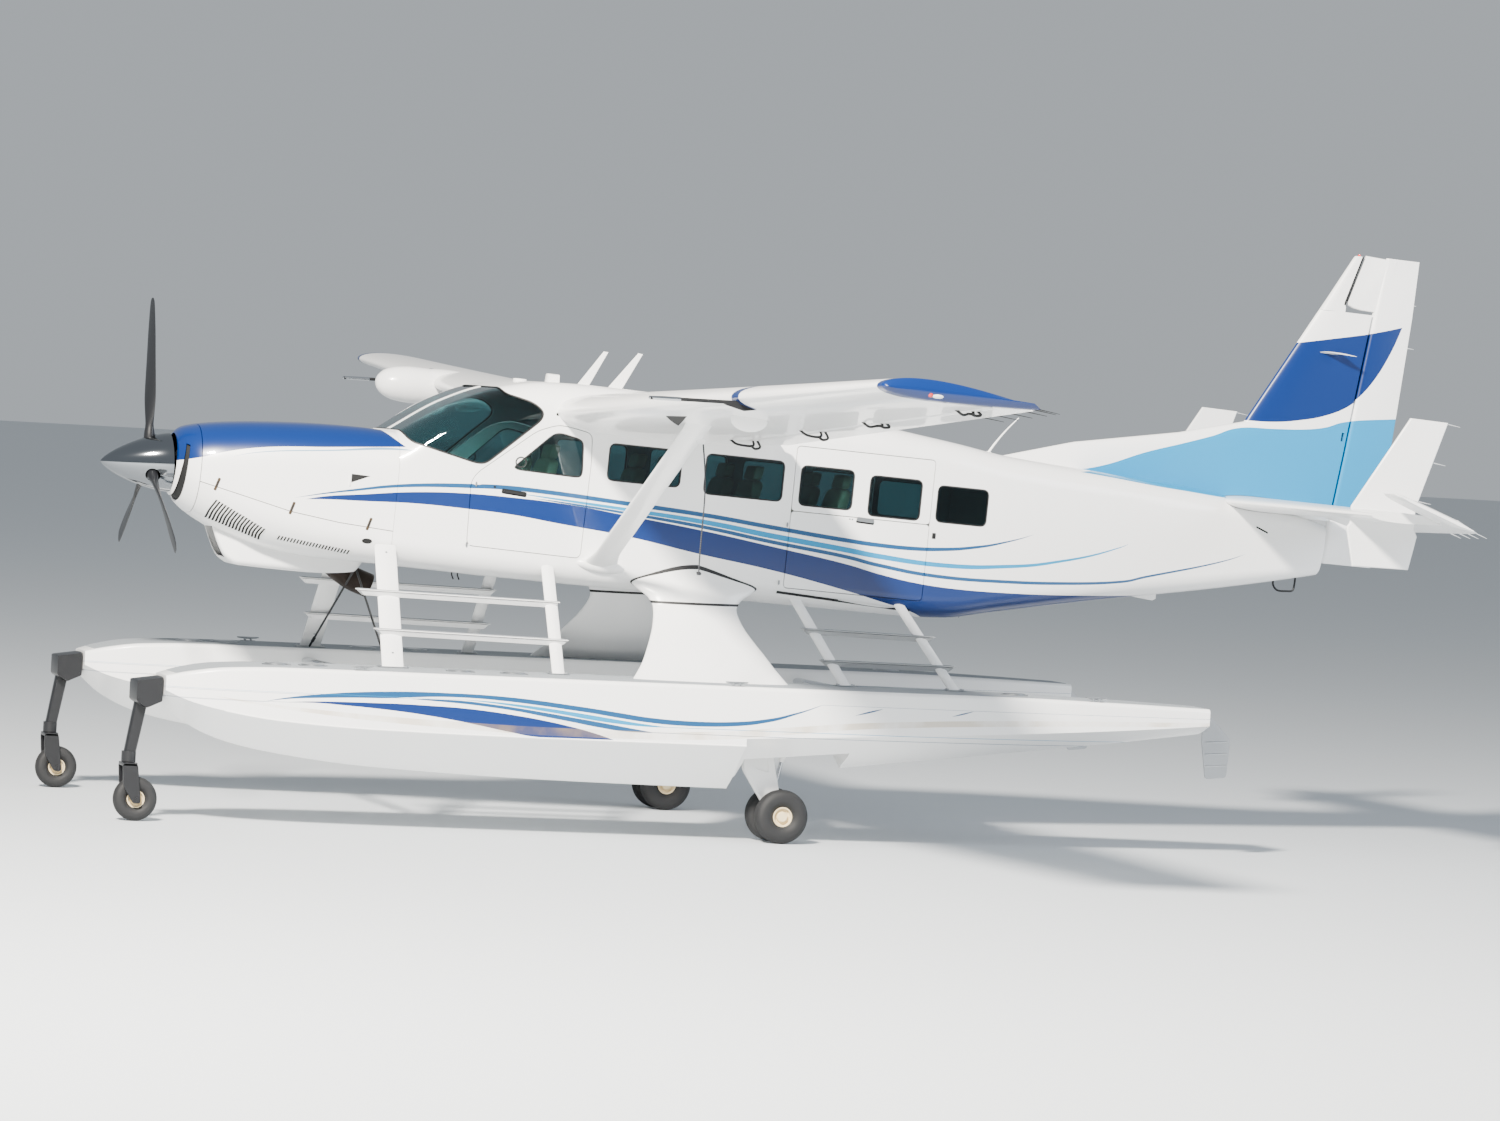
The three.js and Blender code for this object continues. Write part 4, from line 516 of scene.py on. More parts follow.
# The cowl's field ends along the foot of the windscreen, 1.34 aft for each unit down
SCREEN_SLOPE, SCREEN_FOOT = 1.34, 2.882
slanted = add(tree, "ShaderNodeMath", [z, SCREEN_SLOPE, x], operation="MULTIPLY_ADD")
ahead = add(tree, "ShaderNodeMath", [slanted, SCREEN_FOOT], operation="LESS_THAN")
cowl_mask = add(tree, "ShaderNodeMath", [masked(tree, x, z, COWL_FIELD), ahead], operation="MULTIPLY")
tree.links.new(over(tree, colour, cowl_mask, ROYAL), tree.nodes["Principled BSDF"].inputs["Base Color"])

lining_cloth = gloss("padded cabin trim", "#8c8f92", 0.75)

# Outlines in the side view, [x, z]
CREW_DOOR = [
    [2940, -385], [2925, 150], [2975, 232], [3435, 620], [3600, 684], [3700, 680], [3907, 644], [3925, 420],
    [3912, -400],
]
CREW_WINDOW = [
    [3262, 300], [3300, 276], [3830, 262], [3858, 300], [3842, 550], [3806, 588], [3640, 622], [3570, 606],
]
CARGO_FRONT, CARGO_REAR, AIRSTAIR_FRONT = 5680, 6930, 6300
DOOR_SILL, DOOR_SPLIT, DOOR_TOP = -475, 175, 725
WINDOWS = [
    [4060, 4700, 266, 582], [4900, 5595, 236, 582], [5735, 6214, 224, 568], [6350, 6830, 196, 545],
    [6968, 7452, 202, 520],
]
WINDSCREEN = [
    [2352, 515], [2415, 415], [2960, 292], [3040, 300], [3470, 705], [3480, 780], [3385, 850], [3150, 905],
    [3085, 1100], [2200, 1100],
]
# Prisms through a side reach from IN to OUT off the middle
OUT, IN = 1000, 330
SIDES = (("left", -1), ("right", 1))
EDGE, PANEL_EDGE = 2, 8  # the frame's and the door's edges from the outline between them


def rectangle(x0, x1, z0, z1):
    """Its four corners, [x, z]."""
    return np.array([[x0, z0], [x1, z0], [x1, z1], [x0, z1]], float)


window_outlines = [rounded(rectangle(*w), 62, 8) for w in WINDOWS]
crew_outline = rounded(CREW_DOOR, 60)
crew_window = rounded(CREW_WINDOW, 55)
screen_outline = rounded(WINDSCREEN, 60)


def across(outline, s, near=IN):
    """Prism through the port side (s = -1) or the starboard side, from near to OUT off the middle."""
    return prism(outline, -OUT, -near) if s < 0 else prism(outline, near, OUT)


def cabin_form(end, inset):
    """The cabin's form, shorter by end at both ends and moved in from the skin."""
    return loft(body_rings(FIREWALL + end, CABIN_REAR - end, inset))


cargo_edges = moved_in(rectangle(CARGO_FRONT, CARGO_REAR, DOOR_SILL, DOOR_TOP), EDGE)
stair_edges = moved_in(rectangle(AIRSTAIR_FRONT, CARGO_REAR, DOOR_SILL, DOOR_TOP), EDGE)
openings = [
    prism(screen_outline, -OUT, OUT),
    *[across(moved_in(crew_outline, EDGE), s) for s in (-1, 1)],
    across(rounded(cargo_edges, 40), -1),
    across(rounded(stair_edges, 40), 1),
    *[across(window_outlines[i], -1) for i in (0, 1, 4)],
    *[across(window_outlines[i], 1) for i in (0, 1, 2, 4)],
]
outer, inner = cabin_form(0, 0), cabin_form(40, SKIN)
piece("cabin_skin", [carved(outer, take=[inner, *openings])], livery, stands_for=["cabin_shell"])
lining_outer, lining_inner = cabin_form(20, SKIN + 0.5), cabin_form(42, SKIN + LINING)
piece("cabin_lining", [carved(lining_outer, take=[lining_inner, *openings])], lining_cloth)

# Doors: pressed skins on inner frames that fill their openings but for a 6 mm gap, each with its window
def door(name, body, outline, s, node, holes=()):
    """The part of the body's skin within an outline on one side, with holes for its windows."""
    made = carved(outer, take=[inner, *holes], within=[across(outline, s)])
    return piece(name, [made], livery, body=body, stands_for=[node])


crew_door_outline = moved_in(crew_outline, PANEL_EDGE)
for side, s in SIDES:
    glass = [across(crew_window, s)]
    door(f"crew_panel_{side}", f"crew_{side}_body", crew_door_outline, s, f"crew_door_{side}", glass)
# The rear doors: front edge, side, and which cabin windows the upper half holds. Its halves stand 3 mm
# off the line where they meet
for kind, front_edge, s, held in (("cargo", CARGO_FRONT, -1, (2, 3)), ("airstair", AIRSTAIR_FRONT, 1, (3,))):
    upper = rectangle(front_edge, CARGO_REAR, DOOR_SPLIT - PANEL_EDGE + 3, DOOR_TOP)
    lower = rectangle(front_edge, CARGO_REAR, DOOR_SILL, DOOR_SPLIT + PANEL_EDGE - 3)
    glass = [across(window_outlines[i], s) for i in held]
    for half, corners, holes in (("upper", upper, glass), ("lower", lower, ())):
        outline = rounded(moved_in(corners, PANEL_EDGE), 34)
        door(f"{kind}_panel_{half}", f"{kind}_{half}_body", outline, s, f"{kind}_door_{half}", holes)

# Windows: panes of acrylic, stretched and tinted blue-green, let into black rubber seals
acrylic = gloss("tinted stretched acrylic", "#7fa9ad", 0.02)
acrylic.node_tree.nodes["Principled BSDF"].inputs["Transmission Weight"].default_value = 1.0
acrylic.node_tree.nodes["Principled BSDF"].inputs["IOR"].default_value = 1.49
seal_rubber = gloss("black rubber window seal", "#141516", 0.6)
SEAL = 12
pane_walls = [cabin_form(0, depth) for depth in (8, 14)]
seal_walls = [cabin_form(0, depth) for depth in (-1, 18)]


def window(name, outline, s, body):
    """A pane 6 mm thick, 8 mm under the skin, and the seal round it: a frame 12 mm wide, proud by 1 mm."""
    rim, hole, edge = [across(moved_in(outline, by), s) for by in (SEAL - 3, SEAL, 0.4)]
    pane = carved(pane_walls[0], take=[pane_walls[1]], within=[rim])
    seal = carved(seal_walls[0], take=[seal_walls[1], hole], within=[edge])
    piece(name + "_pane", [pane], acrylic, body=body)
    piece(name + "_seal", [seal], seal_rubber, body=body)


lids = {(-1, 2): "cargo_upper_body", (-1, 3): "cargo_upper_body", (1, 3): "airstair_upper_body"}
for side, s in SIDES:
    window(f"crew_window_{side}", crew_window, s, f"crew_{side}_body")
    for i, outline in enumerate(window_outlines):
        window(f"window_{side}_{i + 1}", outline, s, lids.get((s, i), "airframe"))

# Windscreen: two wrapped panes of the same acrylic either side of a painted centre strip, 48 mm wide
whole = [loft(body_rings(FIREWALL, 3600, depth, apart=30)) for depth in (6, 13, -1, 22)]
rim, hole, edge = [prism(moved_in(screen_outline, by), -OUT, OUT) for by in (6, 14, 0.4)]
screen_pane = carved(whole[0], take=[whole[1]], within=[rim])
piece("screen_panes", [screen_pane], acrylic, stands_for=["windscreen"])
screen_seal = carved(whole[2], take=[whole[3], hole], within=[edge])
piece("screen_seal", [screen_seal], seal_rubber)
strip = carved(whole[2], take=[whole[3]], within=[prism(moved_in(screen_outline, 2), -24, 24)])
piece("screen_strip", [strip], livery)

# Nose bowl and cowling: formed aluminium over the engine. The bowl is a ring with a curved intake slot,
# two doors hang on a fixed strip along the crown and close on a lower half, and quarter-turn latches
# hold them. The chin below takes the induction air.
COWL_SKIN = 14
SEAM = np.array([[755, -70], [1060, -150], [1500, -250], [1900, -300], [2340, -330]], float)
CHIN_STATIONS = [
    [930, 150, -200, -425, 60, 40], [1090, 205, -200, -690, 60, 42], [1190, 225, -200, -735, 60, 46],
    [1690, 235, -200, -742, 60, 60], [2170, 225, -200, -702, 60, 75], [2255, 190, -200, -600, 60, 75],
]
bowl_outer = loft(body_rings(BOWL_FRONT, BOWL_REAR - 3, 0, apart=9, steps=14))
bowl_inner = loft(body_rings(570, BOWL_REAR + 5, COWL_SKIN, apart=20))


def round_bar(a, b, radius, sides=40, place=from_air):
    """Closed cylinder between two points in millimetres."""
    a, b = place(np.array([a, b], float) / 1000)
    return rod(np.linspace(a, b, 3), radius / 1000, sides)


def bent_bar(points, radius, sides=12, place=from_air):
    """Bar along points in millimetres, of one radius or of one at each point."""
    return rod(place(np.asarray(points, float) / 1000), np.asarray(radius) / 1000, sides)


bowl_bore = round_bar((560, 0, 48), (640, 0, 48), 232, 64)
# The slot curves down and aft from beside the shaft, round the bowl's lower half
slot_front = smooth([[640, 215], [630, 120], [612, -40], [602, -190], [592, -330], [588, -460]], 24)
slot_rear = smooth([[668, 205], [662, 120], [655, -40], [652, -190], [650, -330], [650, -460]], 24)
bowl_slot = prism(np.concatenate([slot_front, slot_rear[::-1]]), -OUT, OUT)
whole = [loft(body_rings(BOWL_REAR - 30, FIREWALL - 1, depth)) for depth in (0, COWL_SKIN)]
strip_area = prism(rectangle(BOWL_REAR - 12, FIREWALL - 1, 200, 700), -33, 33)
bowl = carved(bowl_outer, take=[bowl_inner, bowl_bore, bowl_slot])
crown_strip = carved(whole[0], take=[whole[1]], within=[strip_area])
piece("nose_bowl_ring", [bowl], livery, stands_for=["nose_bowl"])
piece("cowl_crown_strip", [crown_strip], livery)
# The slot opens on a duct painted near black: painted shade inside the intake
# This near black is painted shade in the slots, vents, inlets, recesses and openings below, and the colour of
# the step light
black_and_painted_shade = gloss("near black and painted shade", "#08090a", 0.8)
duct = loft(body_rings(600, 750, 26, apart=15))
duct_core = loft(body_rings(590, 760, 30, apart=15))
piece("intake_duct", [carved(duct, take=[duct_core])], black_and_painted_shade)


def beside_seam(gap, far):
    """Side view of all between the seam, moved by a gap, and a height far from it."""
    front, rear = BOWL_REAR - 50, FIREWALL + 50
    line = SEAM + [0, gap]
    line[[0, -1], 0] = front, rear
    return np.concatenate([line, [[rear, far], [front, far]]])


door_area, lower_area = beside_seam(3, 900), beside_seam(-3, -900)
cowl_outer = loft(body_rings(BOWL_REAR + 3, FIREWALL - 3))
cowl_inner = loft(body_rings(BOWL_REAR - 2, FIREWALL, COWL_SKIN))
for side, s in SIDES:
    panel = carved(cowl_outer, take=[cowl_inner], within=[across(door_area, s, 37)])
    piece(f"cowl_panel_{side}", [panel], livery, body=f"cowl_{side}_body", stands_for=[f"cowl_door_{side}"])


def chin_rings(inset):
    """Rings of the chin, in from its skin by inset."""
    x = np.concatenate([np.linspace(930, 1190, 14), np.linspace(1240, 2120, 12), np.linspace(2170, 2255, 6)])
    half, top, bottom, upper, lower = through(CHIN_STATIONS, x).T
    return boxed(x, half - inset, top, bottom + inset, upper, lower - inset)


exhaust_bends = [
    [1750, 150, -120], [1900, 300, -380], [2080, 345, -625], [2260, 345, -752], [2440, 345, -815],
]
exhaust_path = smooth(exhaust_bends, 33)
exhaust_hole = bent_bar(exhaust_path, 114, 32)
mouth = prism([[880, -440], [1010, -440], [1100, -668], [1040, -725], [880, -725]], -150, 150)
lower_cowl = carved(cowl_outer, plus=[loft(chin_rings(0))], within=[prism(lower_area, -OUT, OUT)],
                    take=[cowl_inner, loft(chin_rings(COWL_SKIN)), exhaust_hole, mouth])
piece("cowling_lower_half", [lower_cowl], livery, stands_for=["cowling_lower"])


def on_skin(outline, s, low, high):
    """A plate on the body's side: its outline of [x, z] in millimetres, between two heights off the skin."""
    x, z = np.asarray(outline, float).T
    rings = np.stack([np.stack([x, s * (skin_at(x, z) + lift), z], -1) for lift in (low, high)])
    return capped(from_air(rings / 1000))


def strap(line, width, s, low, high):
    """A strap that follows the body's side along a line of [x, z], between two heights off the skin."""
    x, z = np.asarray(line, float).T
    fore, aft = x - width / 2, x + width / 2
    corners = [(fore, low), (fore, high), (aft, high), (aft, low)]
    rings = np.stack([np.stack([u, s * (skin_at(u, z) + lift), z], -1) for u, lift in corners], 1)
    return outwards(surface(from_air(rings / 1000)))


def slanted_bar(x, z, length, width, lean):
    """Outline of a bar about (x, z): its long way is upright but for lean degrees aft at the top."""
    up = np.array([np.sin(np.radians(lean)), np.cos(np.radians(lean))]) * length / 2
    out = np.array([up[1], -up[0]]) / length * width
    return rounded(np.array([x, z]) + np.array([-up - out, -up + out, up + out, up - out]), width * 0.4, 3)


def oval(x, z, wide, high, count=20):
    """Outline x + wide / 2 cos t, z + high / 2 sin t."""
    t = np.linspace(0, 2 * np.pi, count, endpoint=False)
    return np.stack([x + wide / 2 * np.cos(t), z + high / 2 * np.sin(t)], -1)


bronze_latch = gloss("bronze-coated latch plate", "#57493a", 0.4, metallic=0.8)
LATCHES, LATCH_LEAN = [(890, -97), (1505, -229), (2139, -295)], 16
for side, s in SIDES:
    lid = f"cowl_{side}_body"
    for n, (x, z) in enumerate(LATCHES):
        backing = on_skin(slanted_bar(x, z + 8, 108, 22, LATCH_LEAN), s, -4, 3)
        piece(f"latch_{side}_{n + 1}", [backing], bronze_latch, body=lid)
        grip = on_skin(slanted_bar(x + 2, z + 12, 54, 9, LATCH_LEAN), s, 0, 7)
        piece(f"latch_grip_{side}_{n + 1}", [grip], seal_rubber, body=lid)
    # Louvres: seventeen pressed slots that shorten aft, then a row of fine ones; each slot is a near-black
    # strip on the skin, painted shade for its opening
    slots, lips = [], []
    for k in range(17):
        top, foot = np.array([905 + 25.6 * k, -218 - 12.2 * k]), np.array([862 + 27 * k, -372 - 8.5 * k])
        bend = (top + foot) / 2 + [-14, -6]
        line = smooth([top, bend, foot], 13)
        slots.append(strap(line, 15, s, -3, 1.6))
        lips.append(strap(line + [11.5, 0], 7, s, -3, 4))
    for k in range(23):
        x, z = 1440 + 26 * k, -474 - 2.8 * k
        slots.append(strap(np.linspace([x + 4, z + 17], [x - 4, z - 17], 5), 12, s, -3, 1.6))
    piece(f"louvre_slot_shade_{side}", slots, black_and_painted_shade, sharp=20)
    piece(f"louvre_lips_{side}", lips, livery, sharp=20)
    # The oval vent and the flush inlet are near-black plates on the skin: painted shade for their openings
    vent = on_skin(oval(2139, -428, 84, 44), s, -4, 1.5)
    piece(f"oval_vent_{side}", [vent], black_and_painted_shade)
    inlet = on_skin([[1958, 108], [2112, 104], [1962, 36]], s, -4, 1.0)
    piece(f"flush_inlet_{side}", [inlet], black_and_painted_shade)
    inlet_lip = on_skin([[1944, 112], [1956, 112], [1956, 8], [1944, 8]], s, -2, 8)
    piece(f"flush_inlet_lip_{side}", [inlet_lip], livery)

# Exhaust stub: a stainless tube of 204 mm, browned and sooted by the gas
stainless = gloss("heat-browned stainless steel", "#2b2420", 0.45, metallic=0.8)
tube_outer = bent_bar(exhaust_path, 102, 48)
tube_bore = bent_bar(smooth([(2230, 345, -733), (2260, 345, -752), (2455, 345, -820)], 12), 95, 48)
THRUST_RISE = np.radians(4.5)


def on_thrust(x, y, z):
    """Millimetres along and about the thrust line, which rises aft from the spinner's tip, to the row."""
    c, s = np.cos(THRUST_RISE), np.sin(THRUST_RISE)
    return from_air(np.stack([x * c - z * s, y, x * s + z * c], -1) / 1000)


def lathe(profile, sides=64):
    """Rings of each radius about the thrust line, from rows of [distance, radius]."""
    s, r = np.asarray(profile, float).T
    t = np.linspace(0, 2 * np.pi, sides, endpoint=False)[None]
    return outwards(surface(on_thrust(s[:, None] + 0 * t, r[:, None] * np.cos(t), r[:, None] * np.sin(t))))


engine_block = prism([[950, -200], [950, 230], [2330, 370], [2330, -380], [1400, -380]], -225, 225)
engine_case = carved(engine_block, plus=[lathe([[641, 110], [720, 150], [980, 190]], 32)])
piece("engine_and_stub", [carved(tube_outer, take=[tube_bore]), engine_case], stainless,
      stands_for=["engine"], sharp=50)

# Spinner: a spun ogive, polished dark as chrome, on a back plate. Radius = R (1 - u^1.45)^0.74, where
# u falls from 1 at the tip to 0 at the base.
SPINNER_LENGTH, SPINNER_RADIUS, BLADE_AT = 566, 243, 402
polished = gloss("polished aluminium", "#c9ccd0", 0.12, metallic=1.0)
chromed = gloss("dark chromed spinner", "#84888d", 0.08, metallic=1.0)
s = SPINNER_LENGTH * (1 - np.cos(np.linspace(0, np.pi / 2, 40)))
u = 1 - s / SPINNER_LENGTH
shell = np.stack([s, SPINNER_RADIUS * np.clip(1 - u**1.45, 1e-6, 1) ** 0.74], -1)
inside = shell * [0.96, 0.95] + [14, 0]
spinner_outer = lathe(np.concatenate([shell, [[SPINNER_LENGTH + 2, SPINNER_RADIUS - 3]]]), 96)
spinner_inner = lathe(inside[3:-2], 64)


def about_thrust(points, degrees):
    """Points in millimetres turned about the thrust line, then laid along it in the row frame."""
    a = np.radians(degrees)
    x, y, z = np.moveaxis(np.asarray(points, float), -1, 0)
    return on_thrust(x, y * np.cos(a) - z * np.sin(a), y * np.sin(a) + z * np.cos(a))


BLADE_TURNS = (0, 120, 240)
shank_line = [[BLADE_AT, 0, 90], [BLADE_AT, 0, 200], [BLADE_AT, 0, 300]]
shank_holes = [rod(about_thrust(shank_line, turn), 0.060, 32) for turn in BLADE_TURNS]
spinner = carved(spinner_outer, take=[spinner_inner, *shank_holes])
piece("spinner_shell", [spinner], chromed, body="propeller_body",
      stands_for=["spinner"], sharp=40)

# Propeller: three forged aluminium blades in black enamel, which swing in pitch in a steel hub.
# Blade stations: radius, chord, thickness and pitch
BLADE = [
    [70, 96, 96, 40], [215, 92, 90, 40], [300, 72, 62, 37], [380, 98, 44, 33], [560, 160, 27, 22],
    [760, 176, 20, 14.5], [1000, 176, 14, 9.5], [1220, 148, 9, 6], [1300, 122, 7, 4.6], [1332, 88, 6, 4.2],
    [1345, 40, 4, 4],
]


def blade_rings(turn):
    """Sections of a blade: round at the shank, then a flat rounded wedge, each turned by its pitch."""
    radius = np.concatenate([np.linspace(70, 1220, 34), np.linspace(1240, 1345, 14)])
    chord, thick, pitch = through(BLADE, radius).T[:, :, None]
    t = np.linspace(0, 2 * np.pi, 36, endpoint=False)[None]
    flat = np.clip((radius[:, None] - 230) / 200, 0, 1)
    along = chord / 2 * np.cos(t)
    deep = thick / 2 * np.sin(t) * (1 - 0.35 * flat * np.cos(t))
    a = np.radians(pitch)
    x = BLADE_AT + along * np.sin(a) + deep * np.cos(a)
    y = deep * np.sin(a) - along * np.cos(a)
    return surface(about_thrust(np.stack([x, y, radius[:, None] + 0 * t], -1), turn))


black_enamel = gloss("black baked enamel", "#16171a", 0.35)
hub = lathe([[300, 72], [320, 92], [SPINNER_LENGTH + 4, 92], [SPINNER_LENGTH + 6, 60], [639, 60]], 40)
blades = [outwards(blade_rings(turn)) for turn in BLADE_TURNS]
piece("propeller_blades", [*blades, hub], black_enamel, body="propeller_body",
      stands_for=["propeller"])

# Wings: riveted aluminium over two spars, white, each with its flap and aileron on hinges below the skin.
# The leading edge carries a blue band and the tips are blue caps. The starboard wing carries a radar pod.
DIHEDRAL = np.tan(np.radians(3))
ROOT_Y, TIP_Y = 830, 7880
CONTROL_CUT, CONTROL_HINGE = 0.715, 0.762
FLAP, AILERON = (930, 4800), (4830, 7700)
WING_SET = np.radians(2.6)


def wing_section(y):
    """At a distance y: leading edge x and z, chord, and thickness as a share of it."""
    share = (np.asarray(y, float) - ROOT_Y) / (TIP_Y - ROOT_Y)
    return 3590 + 390 * share, 800 + (y - ROOT_Y) * DIHEDRAL, 1980 - 760 * share, 0.17 - 0.05 * share


def half_thickness(u, t):
    """The four-digit section's thickness polynomial, with a blunt trailing edge."""
    return 5 * t * (0.2969 * np.sqrt(u) - 0.126 * u - 0.3516 * u**2 + 0.2843 * u**3 - 0.1036 * u**4) + 0.0012


def camber(u, t):
    """Height of the section's middle line at share u of the chord, fullest ahead of its middle."""
    return 0.16 * t * 4 * u * (1 - u) * (1 - 0.35 * u)


def set_up(y, along, high):
    """Point at y that far along the chord line and above it, with the chord turned nose up."""
    x0, z0 = wing_section(y)[:2]
    c, s = np.cos(WING_SET), np.sin(WING_SET)
    return np.stack([x0 + along * c + high * s, y, z0 - along * s + high * c], -1)


def on_wing(u, y, face):
    """Point of the section at share u of the chord: the camber line, and face (-1 to 1) times the half
    thickness above it."""
    u, y, face = np.broadcast_arrays(np.asarray(u, float), np.asarray(y, float), np.asarray(face, float))
    chord, thick = wing_section(y)[2:]
    return set_up(y, u * chord, (camber(u, thick) + face * half_thickness(u, thick)) * chord)


def mirrored(part):
    """The same piece on the other side, with its faces turned over."""
    points, faces = part
    return points * [1, -1, 1], [ring[:, ::-1] for ring in faces]


def front_rings(y, cut):
    """Closed sections from the nose to a share of the chord, close together at the nose."""
    u = cut * (1 - np.cos(np.linspace(0, np.pi / 2, 26))) ** 1.25
    u, face = np.concatenate([u, u[:0:-1]]), np.concatenate([np.ones(26), -np.ones(25)])
    return on_wing(u[None], np.asarray(y, float)[:, None], face[None])


def hinged_rings(y):
    """Closed sections of a flap: a round nose about the hinge, and the section's rear."""
    y = np.asarray(y, float)[:, None]
    turn = np.radians(np.linspace(90, 270, 13))[None]
    chord, thick = wing_section(y)[2:]
    radius = half_thickness(CONTROL_HINGE, thick)
    share = CONTROL_HINGE + radius * np.cos(turn)
    high = (camber(CONTROL_HINGE, thick) + radius * np.sin(turn)) * chord
    nose = set_up(y + 0 * turn, share * chord, high)
    u = np.linspace(CONTROL_HINGE, 1, 9)[None, 1:]
    return np.concatenate([nose, on_wing(u, y, -1), on_wing(u[:, ::-1], y, 1)], 1)


def on_side(s, *parts):
    """The parts for starboard (s = 1), or mirrored to port."""
    return [mirrored(part) for part in parts] if s < 0 else list(parts)


wing_whole = loft(front_rings(np.linspace(560, TIP_Y, 24), 0.97))
# The bay behind the rear spar, where the flap and the aileron hang with 12 mm to spare at the ends
bay_ends = np.array([[FLAP[0] - 12], [AILERON[1] + 12]])
bay_ring = on_wing(np.array([[CONTROL_CUT, 1.3, 1.3, CONTROL_CUT]]), bay_ends, 0)
bay_ring[:, [0, 1], 2] -= 400
bay_ring[:, [2, 3], 2] += 400
bay = loft(bay_ring)
body_clear = loft(body_rings(3000, 6400, 0, steps=14))
wing_panel = carved(wing_whole, take=[bay, body_clear])
# The tip's cap is a moulded fairing that narrows to a rounded edge, 45 mm beyond the last rib
cap_share = np.sin(np.linspace(0, np.pi / 2, 9))
cap_rings = front_rings(TIP_Y + 1 + 44 * cap_share, 1.0)
cap_middle = cap_rings.mean(1, keepdims=True)
cap_end = cap_share[:, None, None] ** 2
cap_slim = np.array([1, 1, 0.18])[None, None] * cap_end + (1 - cap_end)
cap_slim[..., 0] = 1 - 0.08 * cap_share[:, None] ** 2
cap = loft(cap_middle + (cap_rings - cap_middle) * cap_slim)
blue_cap = gloss("royal blue polyurethane gloss", ROYAL, 0.28, coat=0.35)
white_gloss = gloss("white polyurethane gloss", WHITE, 0.28, coat=0.35)

# The blue band round the leading edge, painted 150 mm wide where the pitot mast stands, and the blue tip
wing_paint = gloss("white gloss with a blue band", WHITE, 0.28, coat=0.35)
tree = wing_paint.node_tree
x, y, _ = axes_from(tree, SPINNER_TIP, NOSE_UP)
BAND_AT, BAND_HALF, BAND_REAR, CAP_AT = 4.93, 0.075, 3.98, 7.79
spread = add(tree, "ShaderNodeMath", [y], operation="ABSOLUTE")
near_band = add(tree, "ShaderNodeMath", [spread, BAND_AT, BAND_HALF], operation="COMPARE")
front = add(tree, "ShaderNodeMath", [x, BAND_REAR], operation="LESS_THAN")
band = add(tree, "ShaderNodeMath", [near_band, front], operation="MULTIPLY")
tip_blue = add(tree, "ShaderNodeMath", [spread, CAP_AT], operation="GREATER_THAN")
blue = add(tree, "ShaderNodeMath", [band, tip_blue], operation="MAXIMUM")
tree.links.new(over(tree, WHITE, blue, ROYAL), tree.nodes["Principled BSDF"].inputs["Base Color"])

# Radar pod: a moulded radome ahead of the starboard leading edge, cut off square behind, and a fairing of
# glass fibre that rounds it into the wing
POD = [
    [0, 0], [7, 34], [25, 68], [90, 122], [200, 155], [330, 166], [470, 164], [560, 160], [588, 157],
    [596, 150], [600, 0],
]
POD_Y, POD_AHEAD, POD_BELOW = 4200, 508, 47
pod_s = np.concatenate([24 * np.linspace(0, 1, 7) ** 2, np.linspace(40, 580, 26), [588, 593, 597, 600]])
pod_r = through(POD, pod_s)[:, 0].clip(0.5)
wing_x, wing_z = wing_section(POD_Y)[:2]
t = np.linspace(0, 2 * np.pi, 48, endpoint=False)[None]
pod_y, pod_z = POD_Y + pod_r[:, None] * np.cos(t), wing_z - POD_BELOW + pod_r[:, None] * np.sin(t)
pod_rings = np.stack([wing_x - POD_AHEAD + pod_s[:, None] + 0 * t, pod_y, pod_z], -1)


def ellipsoid(centre, size, rings=15):
    """x cos u cos v, y cos u sin v, z sin u over half axes in millimetres."""
    up = np.radians(np.linspace(-88, 88, rings))[:, None]
    turn = np.linspace(0, 2 * np.pi, 2 * rings, endpoint=False)[None]
    unit = np.stack([np.cos(up) * np.cos(turn), np.cos(up) * np.sin(turn), np.sin(up) + 0 * turn], -1)
    return loft(np.asarray(centre, float) + unit * size)


